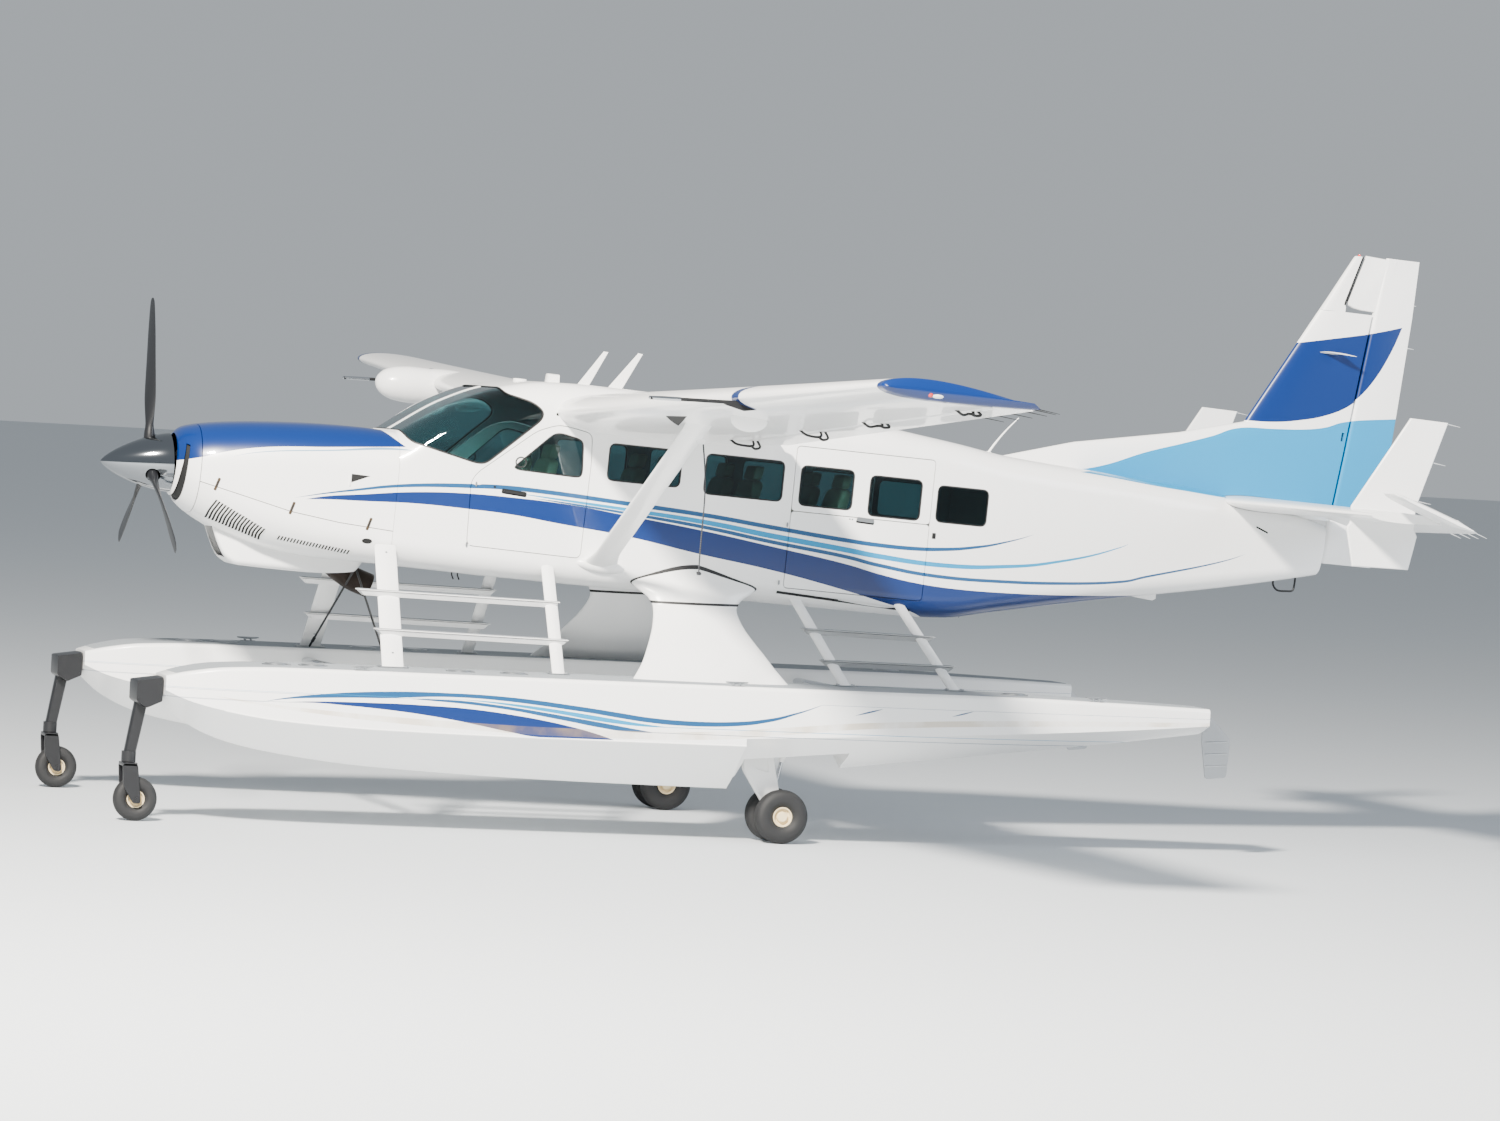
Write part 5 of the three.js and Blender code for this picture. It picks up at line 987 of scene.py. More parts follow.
pod_fairing = ellipsoid((wing_x + 130, POD_Y, wing_z + 20), (360, 150, 105), rings=30)
radome = carved(loft(pod_rings), plus=[pod_fairing], take=[wing_whole])
wing_parts = {"left": [mirrored(wing_panel)], "right": [wing_panel, radome]}
WICK_RADII = [4, 3, 1.8]
for side, s in SIDES:
    piece(f"wing_skin_{side}", wing_parts[side], wing_paint, stands_for=[f"wing_{side}"], sharp=38)
    piece(f"wing_tip_{side}", on_side(s, cap), blue_cap)
    flap = loft(hinged_rings(np.linspace(FLAP[0], FLAP[1], 14)))
    aileron = loft(hinged_rings(np.linspace(AILERON[0], AILERON[1], 10)))
    # Hook-shaped arms hang the flap from the wing, and smaller ones the aileron
    controls = (("flap", flap, (1500, 3400), 150), ("aileron", aileron, (5000, 7200), 70))
    for kind, solid, places, reach in controls:
        body = f"{kind}_{side}_body"
        piece(f"{kind}_skin_{side}", on_side(s, solid), white_gloss, body=body, stands_for=[f"{kind}_{side}"])
        arms, horns = [], []
        for y in places:
            base, hinge = on_wing(0.66, y, -1), on_wing(CONTROL_HINGE, y, -1)
            hook = [base + [0, 0, 6], base + [60, 0, -28], hinge + [-30, 0, -0.30 * reach],
                    hinge + [10, 0, -0.22 * reach], hinge + [0, 0, 4]]
            arms.append(bent_bar(smooth(hook, 22), 10, 10))
            # The flap's own horn stands beside the arm, 24 mm outboard of it
            horn = [[30, 24, 6], [60, 24, -0.30 * reach], [20, 24, -0.42 * reach], [-12, 24, -0.30 * reach]]
            horns.append(bent_bar(smooth(hinge + horn, 14), 10, 10))
        piece(f"{kind}_arms_{side}", on_side(s, *arms), seal_rubber)
        piece(f"{kind}_horns_{side}", on_side(s, *horns), seal_rubber, body=body)
    # Static wicks: thin rods behind the aileron and the tip, 8 mm thick at the root and under 4 mm behind
    wicks = [on_wing(0.995, y, 0) + [[0, 0, 0], [80, 0, -8], [165, 0, -16]] for y in (6500, 6850, 7200, 7550)]
    wicks = on_side(s, *[bent_bar(line, WICK_RADII, 6) for line in wicks])
    piece(f"aileron_wicks_{side}", wicks, seal_rubber, body=f"aileron_{side}_body")
    wicks = [on_wing(0.99, y, 0) + [[-5, 0, 0], [80, 0, -9], [160, 0, -18]] for y in (7800, 7890)]
    wicks = on_side(s, *[bent_bar(line, WICK_RADII, 6) for line in wicks])
    piece(f"tip_wicks_{side}", wicks, seal_rubber)

# Wing struts: one streamlined alloy tube a side, faired into the body's side at the foot
STRUT_LOW, STRUT_HIGH = np.array([4085, 812, -430.0]), np.array([4150, 2900, 745.0])
STRUT_TABLE = [
    [-0.06, 330, 128], [0.0, 300, 112], [0.045, 250, 86], [0.10, 208, 68], [0.50, 205, 66], [0.93, 205, 66],
    [1.08, 232, 70],
]


def leaf(count=40):
    """A streamlined outline, x from -0.5 to 0.5: round at the front and drawn out behind."""
    t = np.linspace(0, 2 * np.pi, count, endpoint=False)
    along = np.cos(t)
    return along / 2, np.sin(t) / 2 * (1 - 0.55 * np.clip(along, 0, 1) ** 1.5)


share = np.linspace(-0.06, 1.08, 40)
chord, thick = through(STRUT_TABLE, share).T
lx, lz = leaf()
centre = STRUT_LOW + share[:, None] * (STRUT_HIGH - STRUT_LOW)
strut_x, strut_z = centre[:, :1] + chord[:, None] * lx, centre[:, 2:] + thick[:, None] * lz
strut_rings = np.stack([strut_x, centre[:, 1:2] + 0 * lx[None], strut_z], -1)
strut = carved(loft(strut_rings), take=[body_clear, wing_whole])
# Foot fairing: a low moulded boat on the body's side
boat_t = np.linspace(0, 2 * np.pi, 48, endpoint=False)
BOAT_X, BOAT_Z = 4090, -438
boat_x, boat_z = BOAT_X + 215 * np.cos(boat_t), BOAT_Z + 66 * np.sin(boat_t) - 10 * np.cos(boat_t)
levels = np.linspace(0, 1, 7)[:, None]
boat_lift = 46 * np.sqrt(np.clip(1 - levels**2, 0, 1))
ring_x, ring_z = BOAT_X + (boat_x - BOAT_X) * levels, BOAT_Z + (boat_z - BOAT_Z) * levels
boat = np.stack([ring_x, skin_at(ring_x, ring_z) + boat_lift - 4, ring_z], -1)[::-1]
boat_back = np.stack([boat_x, skin_at(boat_x, boat_z) - 14, boat_z], -1)[None]
foot_fairing = loft(np.concatenate([boat_back, boat]))
strut_lug = prism([[4202, 640], [4276, 640], [4276, 676], [4202, 684]], -2797, -2783)
for side, s in SIDES:
    parts = on_side(s, strut, foot_fairing) + ([strut_lug] if s < 0 else [])
    piece(f"strut_{side}", parts, white_gloss, stands_for=[f"wing_strut_{side}"])

# Tail: cone, fin and stabilizer of riveted aluminium on the cabin's rear frame, in the same paint. The
# rudder and the elevators hang in a 12 mm gap behind them, each with a horn ahead of its hinge.
RUDDER_FOOT, RUDDER_HEAD = np.array([10850, 0, 160.0]), np.array([11114, 0, 2404.0])
RUDDER_NOSE, RUDDER_GAP = 48, 12
# Height, leading edge, half thickness and rear edge
FIN = [
    [560, 7700, 62, 10837], [800, 7700, 62, 10865], [1010, 8430, 62, 10890], [1190, 9380, 62, 10911],
    [1345, 9975, 58, 10929], [2385, 10568, 48, 11051], [2386, 10569, 48, 10795], [2470, 10618, 42, 10800],
    [2866, 10839, 27, 10930], [2884, 10853, 22, 10934],
]
RUDDER = [[190, 11300, 48], [640, 11340, 48], [2390, 11448, 42], [2895, 11462, 24]]
STAB_Z, STAB_HINGE, STAB_CUT = 640, 10690, 0.72
ELEVATOR = [[150, 11120, 36], [2860, 10918, 32], [3085, 10890, 30], [3125, 10840, 14]]
ELEVATOR_HORN = [[2860, 10085, 28], [3085, 10085, 26], [3125, 10145, 12]]
FINLET = [
    [10060, 560], [10056, 700], [10508, 1480], [10852, 1474], [10640, 740], [10640, 560], [10676, 500],
    [10626, 215], [10120, 200], [10034, 520],
]
FINLET_Y, DROOP = 2340, np.radians(18)


def rows_at(table, x):
    """Straight lines between the rows of a table, each [x, values]."""
    rows = np.asarray(table, float)
    return np.stack([np.interp(x, rows[:, 0], rows[:, k]) for k in range(1, rows.shape[1])], 1)


def hinge_at(z):
    """x of the rudder's hinge line at a height."""
    along, _, up = RUDDER_HEAD - RUDDER_FOOT
    return RUDDER_FOOT[0] + (z - RUDDER_FOOT[2]) * along / up


def upright_rings(z, front, rear, half, steps=14):
    """Level sections of a fin: an ellipse's quarter over the front 38% of the chord, then near parallel."""
    u = 1 - np.cos(np.linspace(0, np.pi / 2, steps))
    wide = np.sqrt(1 - (1 - np.clip(u / 0.38, 0, 1)) ** 2) * (1 - 0.12 * np.clip(u - 0.38, 0, 1))
    u, wide = np.concatenate([u, u[:0:-1]]), np.concatenate([wide, -wide[:0:-1]])
    front, rear, half, z = [np.asarray(c, float)[:, None] for c in (front, rear, half, z)]
    return np.stack([front + (rear - front) * u, half * wide, z + 0 * u], -1)


def hung_rings(at, hinge, rear, half, edge=2.5):
    """Sections of a hinged surface: half a circle about the hinge line, then straight to a thin edge."""
    turn = np.radians(np.linspace(90, 270, 13))[None]
    hinge, rear, half = [np.asarray(c, float)[:, None] for c in (hinge, rear, half)]
    along = hinge + half * np.cos(turn)
    high = half * np.sin(turn)
    along = np.concatenate([along, rear, rear], 1)
    high = np.concatenate([high, 0 * rear - edge, 0 * rear + edge], 1)
    return along, high, np.asarray(at, float)[:, None]


def plate(outline, y, half, edge, place=from_air):
    """A flat plate about y, whose rim rounds over its half thickness by the edge's width."""
    levels = [(-half, edge), (-0.6 * half, 0.25 * edge), (0.6 * half, 0.25 * edge), (half, edge)]
    rings = []
    for level, by in levels:
        x, z = moved_in(outline, by).T
        rings.append(np.stack([x, np.full(len(x), y + level), z], -1))
    return capped(place(np.stack(rings) / 1000))


def wick(start, reach, rise):
    """Static wick: a rod that narrows from 9 to 4 mm behind a trailing edge."""
    line = np.asarray(start, float) + [[0, 0, 0], [reach / 2, 0, rise / 2], [reach, 0, rise]]
    return bent_bar(line, [4.5, 3.5, 2], 6)


heights = np.unique(np.concatenate([np.linspace(560, 2884, 40), np.array(FIN)[:, 0]]))
front, half, rear = rows_at(FIN, heights).T
tail_clear = loft(body_rings(7000, 10815, -0.3, apart=90))
notch_corners = [
    [10782, 2470], [10795, 2432], [10850, 2410], [10930, 2398], [11400, 2388], [11400, 3000], [10935, 3000],
    [10919, 2905],
]
notch = prism(notch_corners, -200, 200)
stab_y = np.linspace(-2848, 2848, 33)
stab_front = 9760 + 300 * np.abs(stab_y) / 3125
stab_chord = (STAB_HINGE - 36 - 8 - stab_front) / STAB_CUT
share = STAB_CUT * (1 - np.cos(np.linspace(0, np.pi / 2, 20))) ** 1.2
stab_u = np.concatenate([share, share[:0:-1]])[None]
stab_face = np.concatenate([np.ones(20), -np.ones(19)])[None]
stab_x = stab_front[:, None] + stab_chord[:, None] * stab_u
stab_high = stab_chord[:, None] * half_thickness(stab_u, 0.1) * stab_face
stab_grid = np.stack([stab_x, stab_y[:, None] + 0 * stab_u, STAB_Z + stab_high], -1)
stab_solid = loft(stab_grid)
stab_room = [loft(stab_grid + [dx, 0, dz]) for dx, dz in ((0, 4), (0, -4), (-4, 0), (6, 0))]
tube_room = round_bar((STAB_HINGE, -200, STAB_Z), (STAB_HINGE, 200, STAB_Z), 30)
cone_end = [[hinge_at(z) - RUDDER_NOSE - RUDDER_GAP, z] for z in (-200, 700)]
rudder_room = prism([cone_end[0], [11500, -200], [11500, 700], cone_end[1]], -300, 300)
fin_slot = prism([[10880, 1339], [10905, 1336], [10896, 1262], [10874, 1265]], -200, 200)
fin_form = loft(upright_rings(heights, front, rear, half))
fin_solid = carved(fin_form, take=[tail_clear, notch, fin_slot, *stab_room, tube_room])
cone_solid = carved(loft(body_rings(CABIN_REAR + 0.5, 10810)), take=[*stab_room, tube_room, rudder_room])
piece("fin_skin", [fin_solid], livery, stands_for=["fin"])
piece("cone_skin", [cone_solid], livery, stands_for=["tail_cone"])

heights = np.linspace(190, 2895, 28)
rear, half = rows_at(RUDDER, heights).T
along, high, at = hung_rings(heights, hinge_at(heights), rear, half)
rudder_solid = loft(np.stack([along, high, at + 0 * along], -1))
horn_corners = [
    [10815, 2476], [10828, 2450], [10880, 2429], [10960, 2417], [11150, 2410], [11250, 2880], [10954, 2898],
]
rudder_horn = plate(horn_corners, 0, 23, 6)
# Painted shade: a black plate lines the fin's rear face inside the notch, where the recess is in shade
notch_shade_line = np.array([[10779, 0, 2448], [10783, 0, 2474], [10913, 0, 2880]], float)
notch_shade_half = np.array([43, 41, 20.5])[:, None]
notch_shade_y = notch_shade_half * np.array([[-1, 1, 1, -1]])
notch_shade_x = notch_shade_line[:, :1] + np.array([[0, 0, 16, 16]])
notch_shade_plate = loft(np.stack([notch_shade_x, notch_shade_y, notch_shade_line[:, 2:] + 0 * notch_shade_x], -1))
piece("fin_notch_painted_shade", [notch_shade_plate], black_and_painted_shade)
rudder = carved(rudder_solid, plus=[rudder_horn])
piece("rudder_skin", [rudder], livery, body="rudder_body", stands_for=["rudder"])

# Finlets stand on the stabilizer, and their lower ends hang under it
finlet_plates = [plate(FINLET, y, 15, 9) for y in (-FINLET_Y, FINLET_Y)]
stabilizer = carved(stab_solid, plus=finlet_plates)
piece("stabilizer_skin", [stabilizer], white_gloss, stands_for=["stabilizer"], sharp=38)


def drooped(grid):
    """Turned about the elevators' hinge, trailing edge down."""
    x, y, z = np.moveaxis(grid, -1, 0)
    x, c, s = x - STAB_HINGE, np.cos(DROOP), np.sin(DROOP)
    return np.stack([x * c + z * s + STAB_HINGE, y, z * c - x * s + STAB_Z], -1)


elevator_y = np.concatenate([np.linspace(150, 2860, 20), [2970, 3085, 3105, 3118, 3125]])
rear, half = rows_at(ELEVATOR, elevator_y).T
along, high, at = hung_rings(elevator_y, np.full(len(elevator_y), STAB_HINGE), rear, half)
main = loft(drooped(np.stack([along, at + 0 * along, high], -1)))
horn_y = np.array([2860, 2960, 3085, 3108, 3125])
front, half = rows_at(ELEVATOR_HORN, horn_y).T
u = np.array([0, 0.03, 0.12, 0.4, 1.0])
deep = np.array([0.05, 0.45, 0.8, 1.0, 1.0])
u, deep = np.concatenate([u, u[::-1]]), np.concatenate([deep, -deep[::-1]])
horn_x = front[:, None] + (STAB_HINGE + 24 - front[:, None]) * u[None]
horn_grid = np.stack([horn_x, horn_y[:, None] + 0 * u[None], half[:, None] * deep[None]], -1)
elevator_half = carved(main, plus=[loft(drooped(horn_grid))])
tube = round_bar((STAB_HINGE, -170, STAB_Z), (STAB_HINGE, 170, STAB_Z), 25)
piece("elevator_skins", [elevator_half, mirrored(elevator_half), tube], white_gloss, body="elevator_body",
      stands_for=["elevators"])

# Wicks, the beacon on the fin's head, and the navigation antennas that stand out from the fin's sides
bright_rod = gloss("grey static wick", "#b9bcbe", 0.5)
rudder_ends = ((2135, 62, -3), (2510, 24, 0))
rudder_wicks = [wick([rows_at(RUDDER, [z])[0, 0], 0, z], reach, rise) for z, reach, rise in rudder_ends]
piece("rudder_wicks", rudder_wicks, bright_rod, body="rudder_body")
finlet_ends = [(10844, 1462), (10748, 1128), (10652, 795)]
finlet_wicks = [wick([x, y, z], 120, -14) for y in (-FINLET_Y, FINLET_Y) for x, z in finlet_ends]
piece("finlet_wicks", finlet_wicks, bright_rod)
elevator_ends = np.array([[rows_at(ELEVATOR, [y])[0, 0] - 3, y, 0] for y in (2420, 2640, 2840, 3060)])
elevator_tips = drooped(elevator_ends)
elevator_wicks = [wick(point * [1, s, 1], 105, -34) for point in elevator_tips for s in (-1, 1)]
piece("elevator_wicks", elevator_wicks, bright_rod, body="elevator_body")
beacon_glass = gloss("red beacon lens", "#e3261c", 0.15, coat=0.5)
beacon_line = [[10890, 0, 2876], [10891, 0, 2886], [10892, 0, 2899], [10893, 0, 2903]]
piece("tail_beacon", [bent_bar(beacon_line, [13, 13, 11, 3], 16)], beacon_glass)
# Leading edge x, distance out, height, chord and thickness
NAVIGATION_BLADE = [
    [10588, 40, 2013, 215, 15], [10620, 85, 2022, 185, 14], [10680, 140, 2020, 140, 12],
    [10750, 190, 2014, 90, 9], [10850, 235, 2006, 14, 4],
]
x, y, z, chord, thick = np.array(NAVIGATION_BLADE, float).T[:, :, None]
lx, lz = leaf(20)
for side, s in SIDES:
    grid = np.stack([x + chord * (lx + 0.5), s * (y + 0 * lx), z + thick * lz], -1)
    piece(f"navigation_antenna_{side}", [loft(grid)], white_gloss)

# Under and beside the cone: the steel tie-down loop, a vent on each side and a blade antenna
tail_black = gloss("black phosphate steel", "#1d1e20", 0.5, metallic=0.4)
loop_bends = [
    [10404, 20], [10408, -40], [10452, -84], [10540, -84], [10596, -72], [10607, -10], [10607, 60],
]
tie_loop = smooth([[x, 0, z] for x, z in loop_bends], 26)
piece("tail_tie_loop", [bent_bar(tie_loop, 9, 10)], tail_black)
# Each vent is a near-black plate on the skin, painted shade for its opening
vent = [[10095, 452], [10217, 410], [10214, 396], [10092, 438]]
piece("tail_vent", [on_skin(vent, s, -4, 1.2) for s in (-1, 1)], black_and_painted_shade)
belly_blade = plate([[9056, -230], [9078, -262], [9300, -282], [9330, -262], [9330, -190]], 0, 10, 4)
piece("belly_antenna", [belly_blade], white_gloss)

# Floats: two riveted aluminium hulls with a step, white with masked stripes, stained tan along the
# waterline, and with grey non-slip decks. Each row gives x, half width, deck drop, chine and keel depths.
FLOAT_CENTRE = 1655
HULL = [
    [250, 215, 115, 230, 330], [420, 300, 70, 300, 470], [700, 375, 25, 365, 600], [1150, 430, 5, 425, 700],
    [2000, 468, 0, 465, 790], [3600, 480, 0, 480, 845], [5000, 480, 0, 480, 860],
]
AFTERBODY = [
    [5000, 480, 0, 420, 770], [6000, 462, 0, 372, 655], [7200, 415, 0, 310, 510], [8400, 320, 20, 235, 360],
    [9115, 240, 40, 180, 262],
]
# Stripes as rows of x, bottom and top, in metres of the floats' axes
FLOAT_MAIN = [
    [1.19, -0.276, -0.274], [1.42, -0.271, -0.259], [1.65, -0.281, -0.253], [1.88, -0.294, -0.251],
    [2.11, -0.312, -0.250], [2.34, -0.336, -0.255], [2.57, -0.367, -0.262], [2.79, -0.403, -0.277],
    [3.02, -0.442, -0.301], [3.25, -0.472, -0.331], [3.48, -0.472, -0.371], [3.71, -0.472, -0.422],
    [3.88, -0.472, -0.472],
]
FLOAT_UPPER = [
    [1.00, -0.281, -0.279], [1.24, -0.244, -0.228], [1.49, -0.228, -0.195], [1.73, -0.217, -0.172],
    [1.98, -0.210, -0.157], [2.22, -0.193, -0.149], [2.46, -0.181, -0.148], [2.71, -0.182, -0.150],
    [2.95, -0.194, -0.159], [3.20, -0.214, -0.176], [3.44, -0.238, -0.199], [3.68, -0.263, -0.224],
    [3.93, -0.295, -0.253], [4.17, -0.321, -0.280], [4.42, -0.335, -0.294], [4.66, -0.335, -0.296],
    [4.90, -0.322, -0.286], [5.15, -0.286, -0.256], [5.39, -0.217, -0.200], [5.63, -0.124, -0.122],
]
FLOAT_SKY = [
    [2.62, -0.198, -0.196], [2.83, -0.213, -0.202], [3.04, -0.234, -0.215], [3.25, -0.259, -0.232],
    [3.46, -0.285, -0.254], [3.67, -0.316, -0.278], [3.89, -0.339, -0.306], [4.10, -0.353, -0.331],
    [4.31, -0.355, -0.351],
]
FLOAT_LOWER = [
    [2.17, -0.207, -0.205], [2.39, -0.218, -0.202], [2.62, -0.230, -0.206], [2.84, -0.248, -0.223],
    [3.07, -0.273, -0.246], [3.29, -0.306, -0.273], [3.52, -0.340, -0.303], [3.74, -0.374, -0.332],
    [3.95, -0.398, -0.362], [4.20, -0.402, -0.398],
]
# Thin lines and the stain as rows of x, middle and width
FLOAT_TICKS = [
    [[5.918, -0.198, 0], [6.04, -0.167, 0.013], [6.163, -0.134, 0]],
    [[6.765, -0.176, 0], [6.86, -0.152, 0.011], [6.959, -0.126, 0]],
]
WATERLINE = [
    [0.6, -0.250, 0], [1.5, -0.345, 0.035], [2.5, -0.400, 0.055], [3.5, -0.425, 0.065],
    [4.5, -0.415, 0.065], [5.3, -0.350, 0.060], [6.1, -0.275, 0.050], [7.5, -0.210, 0.045],
    [9.2, -0.170, 0.035],
]


def on_float(centre):
    """Places points of one float's own axes, in metres."""
    return lambda points: from_deck(np.asarray(points, float) + [0, centre / 1000, 0])


between = on_float(0)
FLOATS = [("left", -1, on_float(-FLOAT_CENTRE)), ("right", 1, on_float(FLOAT_CENTRE))]


def hull_rings(table, x):
    """Sections of a hull: deck, rounded gunwale, upright side, chine, and two flats down to the keel."""
    half, drop, chine, keel = through(table, x).T[:, :, None]
    a = np.radians(np.linspace(90, 0, 6))[None]
    knee_y, knee_z = 0.45 * half, -(chine + 0.62 * (keel - chine))
    y = np.concatenate([half - 34 + 34 * np.cos(a), half, 0.5 * (half + knee_y), knee_y], 1)
    z = np.concatenate([-drop - 34 + 34 * np.sin(a), -chine, -chine + 0.47 * (knee_z + chine), knee_z], 1)
    y = np.concatenate([y, 0 * half, -y[:, ::-1]], 1)
    z = np.concatenate([z, -keel, z[:, ::-1]], 1)
    return np.stack([np.asarray(x, float)[:, None] + 0 * y, y, z], -1)


def put(grid, place=between):
    """Closed solid over rings in millimetres of a float's axes, or of those midway between the floats."""
    return outwards(surface(place(np.asarray(grid) / 1000)))


float_paint = gloss("white float gloss with masked stripes", WHITE, 0.28, coat=0.35)
tree = float_paint.node_tree
x, _, z = axes_from(tree, DECKS)
colour = WHITE
stripes = [(FLOAT_MAIN, ROYAL), (FLOAT_UPPER, STEEL), (FLOAT_SKY, SKY), (FLOAT_LOWER, STEEL)]
for rows, paint in stripes + [(line_rows(rows), STEEL) for rows in FLOAT_TICKS]:
    colour = over(tree, colour, masked(tree, x, z, rows), paint)
# The stain is patchy: weed and silt hold to the paint in places along the line
place = add(tree, "ShaderNodeTexCoord").node.outputs["Object"]
patches = add(tree, "ShaderNodeTexNoise", {"Vector": place, "Scale": 3.2, "Detail": 4.0})
patchy = add(tree, "ShaderNodeMapRange", [patches, 0.40, 0.62, 0.10, 0.45])
stain = add(tree, "ShaderNodeMath", [masked(tree, x, z, line_rows(WATERLINE)), patchy], operation="MULTIPLY")
tree.links.new(over(tree, colour, stain, "#a98f57"), tree.nodes["Principled BSDF"].inputs["Base Color"])

deck_grey = gloss("grey non-slip deck paint", "#8b9196", 0.85)
tree = deck_grey.node_tree
place = add(tree, "ShaderNodeTexCoord").node.outputs["Object"]
grit = add(tree, "ShaderNodeTexNoise", {"Vector": place, "Scale": 420.0, "Detail": 2.0})
tree.links.new(add(tree, "ShaderNodeBump", {"Height": grit, "Strength": 0.5, "Distance": 0.0008}),
               tree.nodes["Principled BSDF"].inputs["Normal"])
brushed = gloss("brushed bare aluminium", "#b4b7ba", 0.35, metallic=1.0)

hull_x = np.unique(np.concatenate([np.linspace(250, 1150, 22), np.linspace(1150, 5000, 32)]))
main_well = prism(rectangle(5060, 5960, -1200, -330), -250, 250, between)
gudgeon = prism(rectangle(9060, 9199, -104.5, -84), -26, 26, between)
forward = put(hull_rings(HULL, hull_x))
after = put(hull_rings(AFTERBODY, np.linspace(5000, 9115, 36)))
hull_solid = carved(forward, plus=[after, gudgeon], take=[main_well])
deck_x = np.unique(np.concatenate([np.linspace(330, 5000, 40), np.linspace(5000, 9080, 24)]))
deck_rows = np.where((deck_x <= 5000)[:, None], through(HULL, deck_x), through(AFTERBODY, deck_x))
deck_half, deck_drop = deck_rows[:, 0] - 52, deck_rows[:, 1]
deck_y = np.stack([-deck_half, deck_half, deck_half, -deck_half], 1)
deck_z = -deck_drop[:, None] + np.array([[-1.0, -1.0, 2.5, 2.5]])
deck_grid = np.stack([deck_x[:, None] + 0 * deck_y, deck_y, deck_z], -1)


def moved(part, by):
    """The same part, moved by millimetres."""
    return part[0] + np.asarray(by, float) / 1000, part[1]


HATCHES_AT, CLEATS_AT = (1180, 1480, 2700, 3150, 7450), (1784, 4905, 8070)


def deck_at(x):
    """Height of the deck and half its width at x."""
    return -float(np.interp(x, deck_x, deck_drop)), float(np.interp(x, deck_x, deck_half))


for side, out, place in FLOATS:
    hull = moved(hull_solid, (0, out * FLOAT_CENTRE, 0))
    piece(f"float_hull_skin_{side}", [hull], float_paint, stands_for=[f"float_hull_{side}"], sharp=24)
    piece(f"float_deck_{side}", [put(deck_grid, place)], deck_grey, sharp=24)
    # Hatches with a raised ring on the deck, and cast horn cleats near its edge
    hatches, cleats = [], []
    for x in HATCHES_AT:
        top = deck_at(x)[0]
        hatches.append(round_bar((x, 0, top), (x, 0, top + 9), 118, 40, place))
        hatches.append(round_bar((x, 0, top), (x, 0, top + 16), 92, 40, place))
    piece(f"deck_hatches_{side}", hatches, brushed)
    for x in CLEATS_AT:
        top, half = deck_at(x)
        y = out * (half + 4)
        horn_line = [[x + dx, y, top + up] for dx, up in ((-95, 32), (-72, 29), (0, 27), (72, 29), (95, 32))]
        cleats.append(bent_bar(horn_line, [5, 8, 10, 8, 5], 10, place))
        cleats += [round_bar((x + d, y, top - 2), (x + d, y, top + 27), 11, 14, place) for d in (-26, 26)]
        cleats.append(plate(rectangle(x - 62, x + 62, top, top + 7), y, 24, 1, place))
    piece(f"deck_cleats_{side}", cleats, brushed)
    # A rubbing strip along the chine and the keel's wear strip
    strip_x = np.linspace(700, 5000, 40)
    rows = through(HULL, strip_x)
    rim, chine, keel = rows[:, 0] - 1, -rows[:, 2], -rows[:, 3] + 4
    for k, (y, z) in enumerate(((out * rim, chine), (-out * rim, chine), (0 * strip_x, keel))):
        strip = bent_bar(np.stack([strip_x, y, z], 1), 7, 8, place)
        piece(f"float_strip_{side}_{k + 1}", [strip], white_gloss)

# Nose gear: a black box on each bow holds the leg's spring, and the leg ends in a castoring fork with a
# small cream wheel. It is painted steel; the tyre has four rain grooves.
NOSE_AXLE = np.array([92, 0, -1114.0])
tyre_rubber = gloss("black tyre rubber", "#17181a", 0.7)
cream_rim = gloss("cream-painted cast wheel", "#e2cfa6", 0.45)


def revolved(profile, at, place, sides=72):
    """A closed outline of [offset, radius], turned about a level axle across the float."""
    p = np.asarray(profile, float)
    k = len(p)
    t = np.linspace(0, 2 * np.pi, sides, endpoint=False)[:, None]
    grid = np.stack([at[0] + p[:, 1] * np.cos(t), at[1] + p[:, 0] + 0 * t, at[2] + p[:, 1] * np.sin(t)], -1)
    i, j = np.meshgrid(np.arange(sides), np.arange(k), indexing="ij")
    ahead, beside = (i + 1) % sides, (j + 1) % k
    faces = np.stack([i * k + j, i * k + beside, ahead * k + beside, ahead * k + j], -1).reshape(-1, 4)
    return outwards((place(grid.reshape(-1, 3) / 1000), [faces]))


def tyre_outline(width, radius, bead, grooves):
    """Closed section: a superellipse of power 2.5 about the middle of the wall, grooved on the tread,
    and cut off at the bead."""
    w, middle = width / 2, (radius + bead) / 2
    tall = radius - middle
    y = np.linspace(-0.9, 0.9, 37) * w
    edges = np.array([g + d for g in grooves for d in (-3.2, -2.4, 2.4, 3.2)])
    y = np.unique(np.concatenate([y, edges]))
    cut = sum((np.abs(y - g) < 2.8).astype(float) for g in grooves)
    tread = np.stack([y, middle + tall * (1 - np.abs(y / w) ** 2.5) ** 0.4 - 5.5 * cut], 1)
    high = np.linspace(tall * (1 - 0.9**2.5) ** 0.4, -0.78 * tall, 12)[1:]
    wall = w * (1 - np.abs(high / tall) ** 2.5) ** 0.4
    bead_rim = [[0.6 * w, bead + 1], [0.52 * w, bead + 0.4]]
    starboard = np.concatenate([np.stack([wall, middle + high], 1), bead_rim])
    return np.concatenate([starboard[::-1] * [-1, 1], tread, starboard])


def cross_bar(at, y0, y1, radius, sides, place):
    """Bar across the float on an axle, between two distances from its middle."""
    return round_bar(at + [0, y0, 0], at + [0, y1, 0], radius, sides, place)


def bolts(count, ring, radius, y0, y1, at, place):
    """Bars in a ring about an axle."""
    a = 2 * np.pi * np.arange(count) / count
    spots = np.stack([at[0] + ring * np.cos(a), at[2] + ring * np.sin(a)], 1)
    return [round_bar((u, at[1] + y0, v), (u, at[1] + y1, v), radius, 12, place) for u, v in spots]


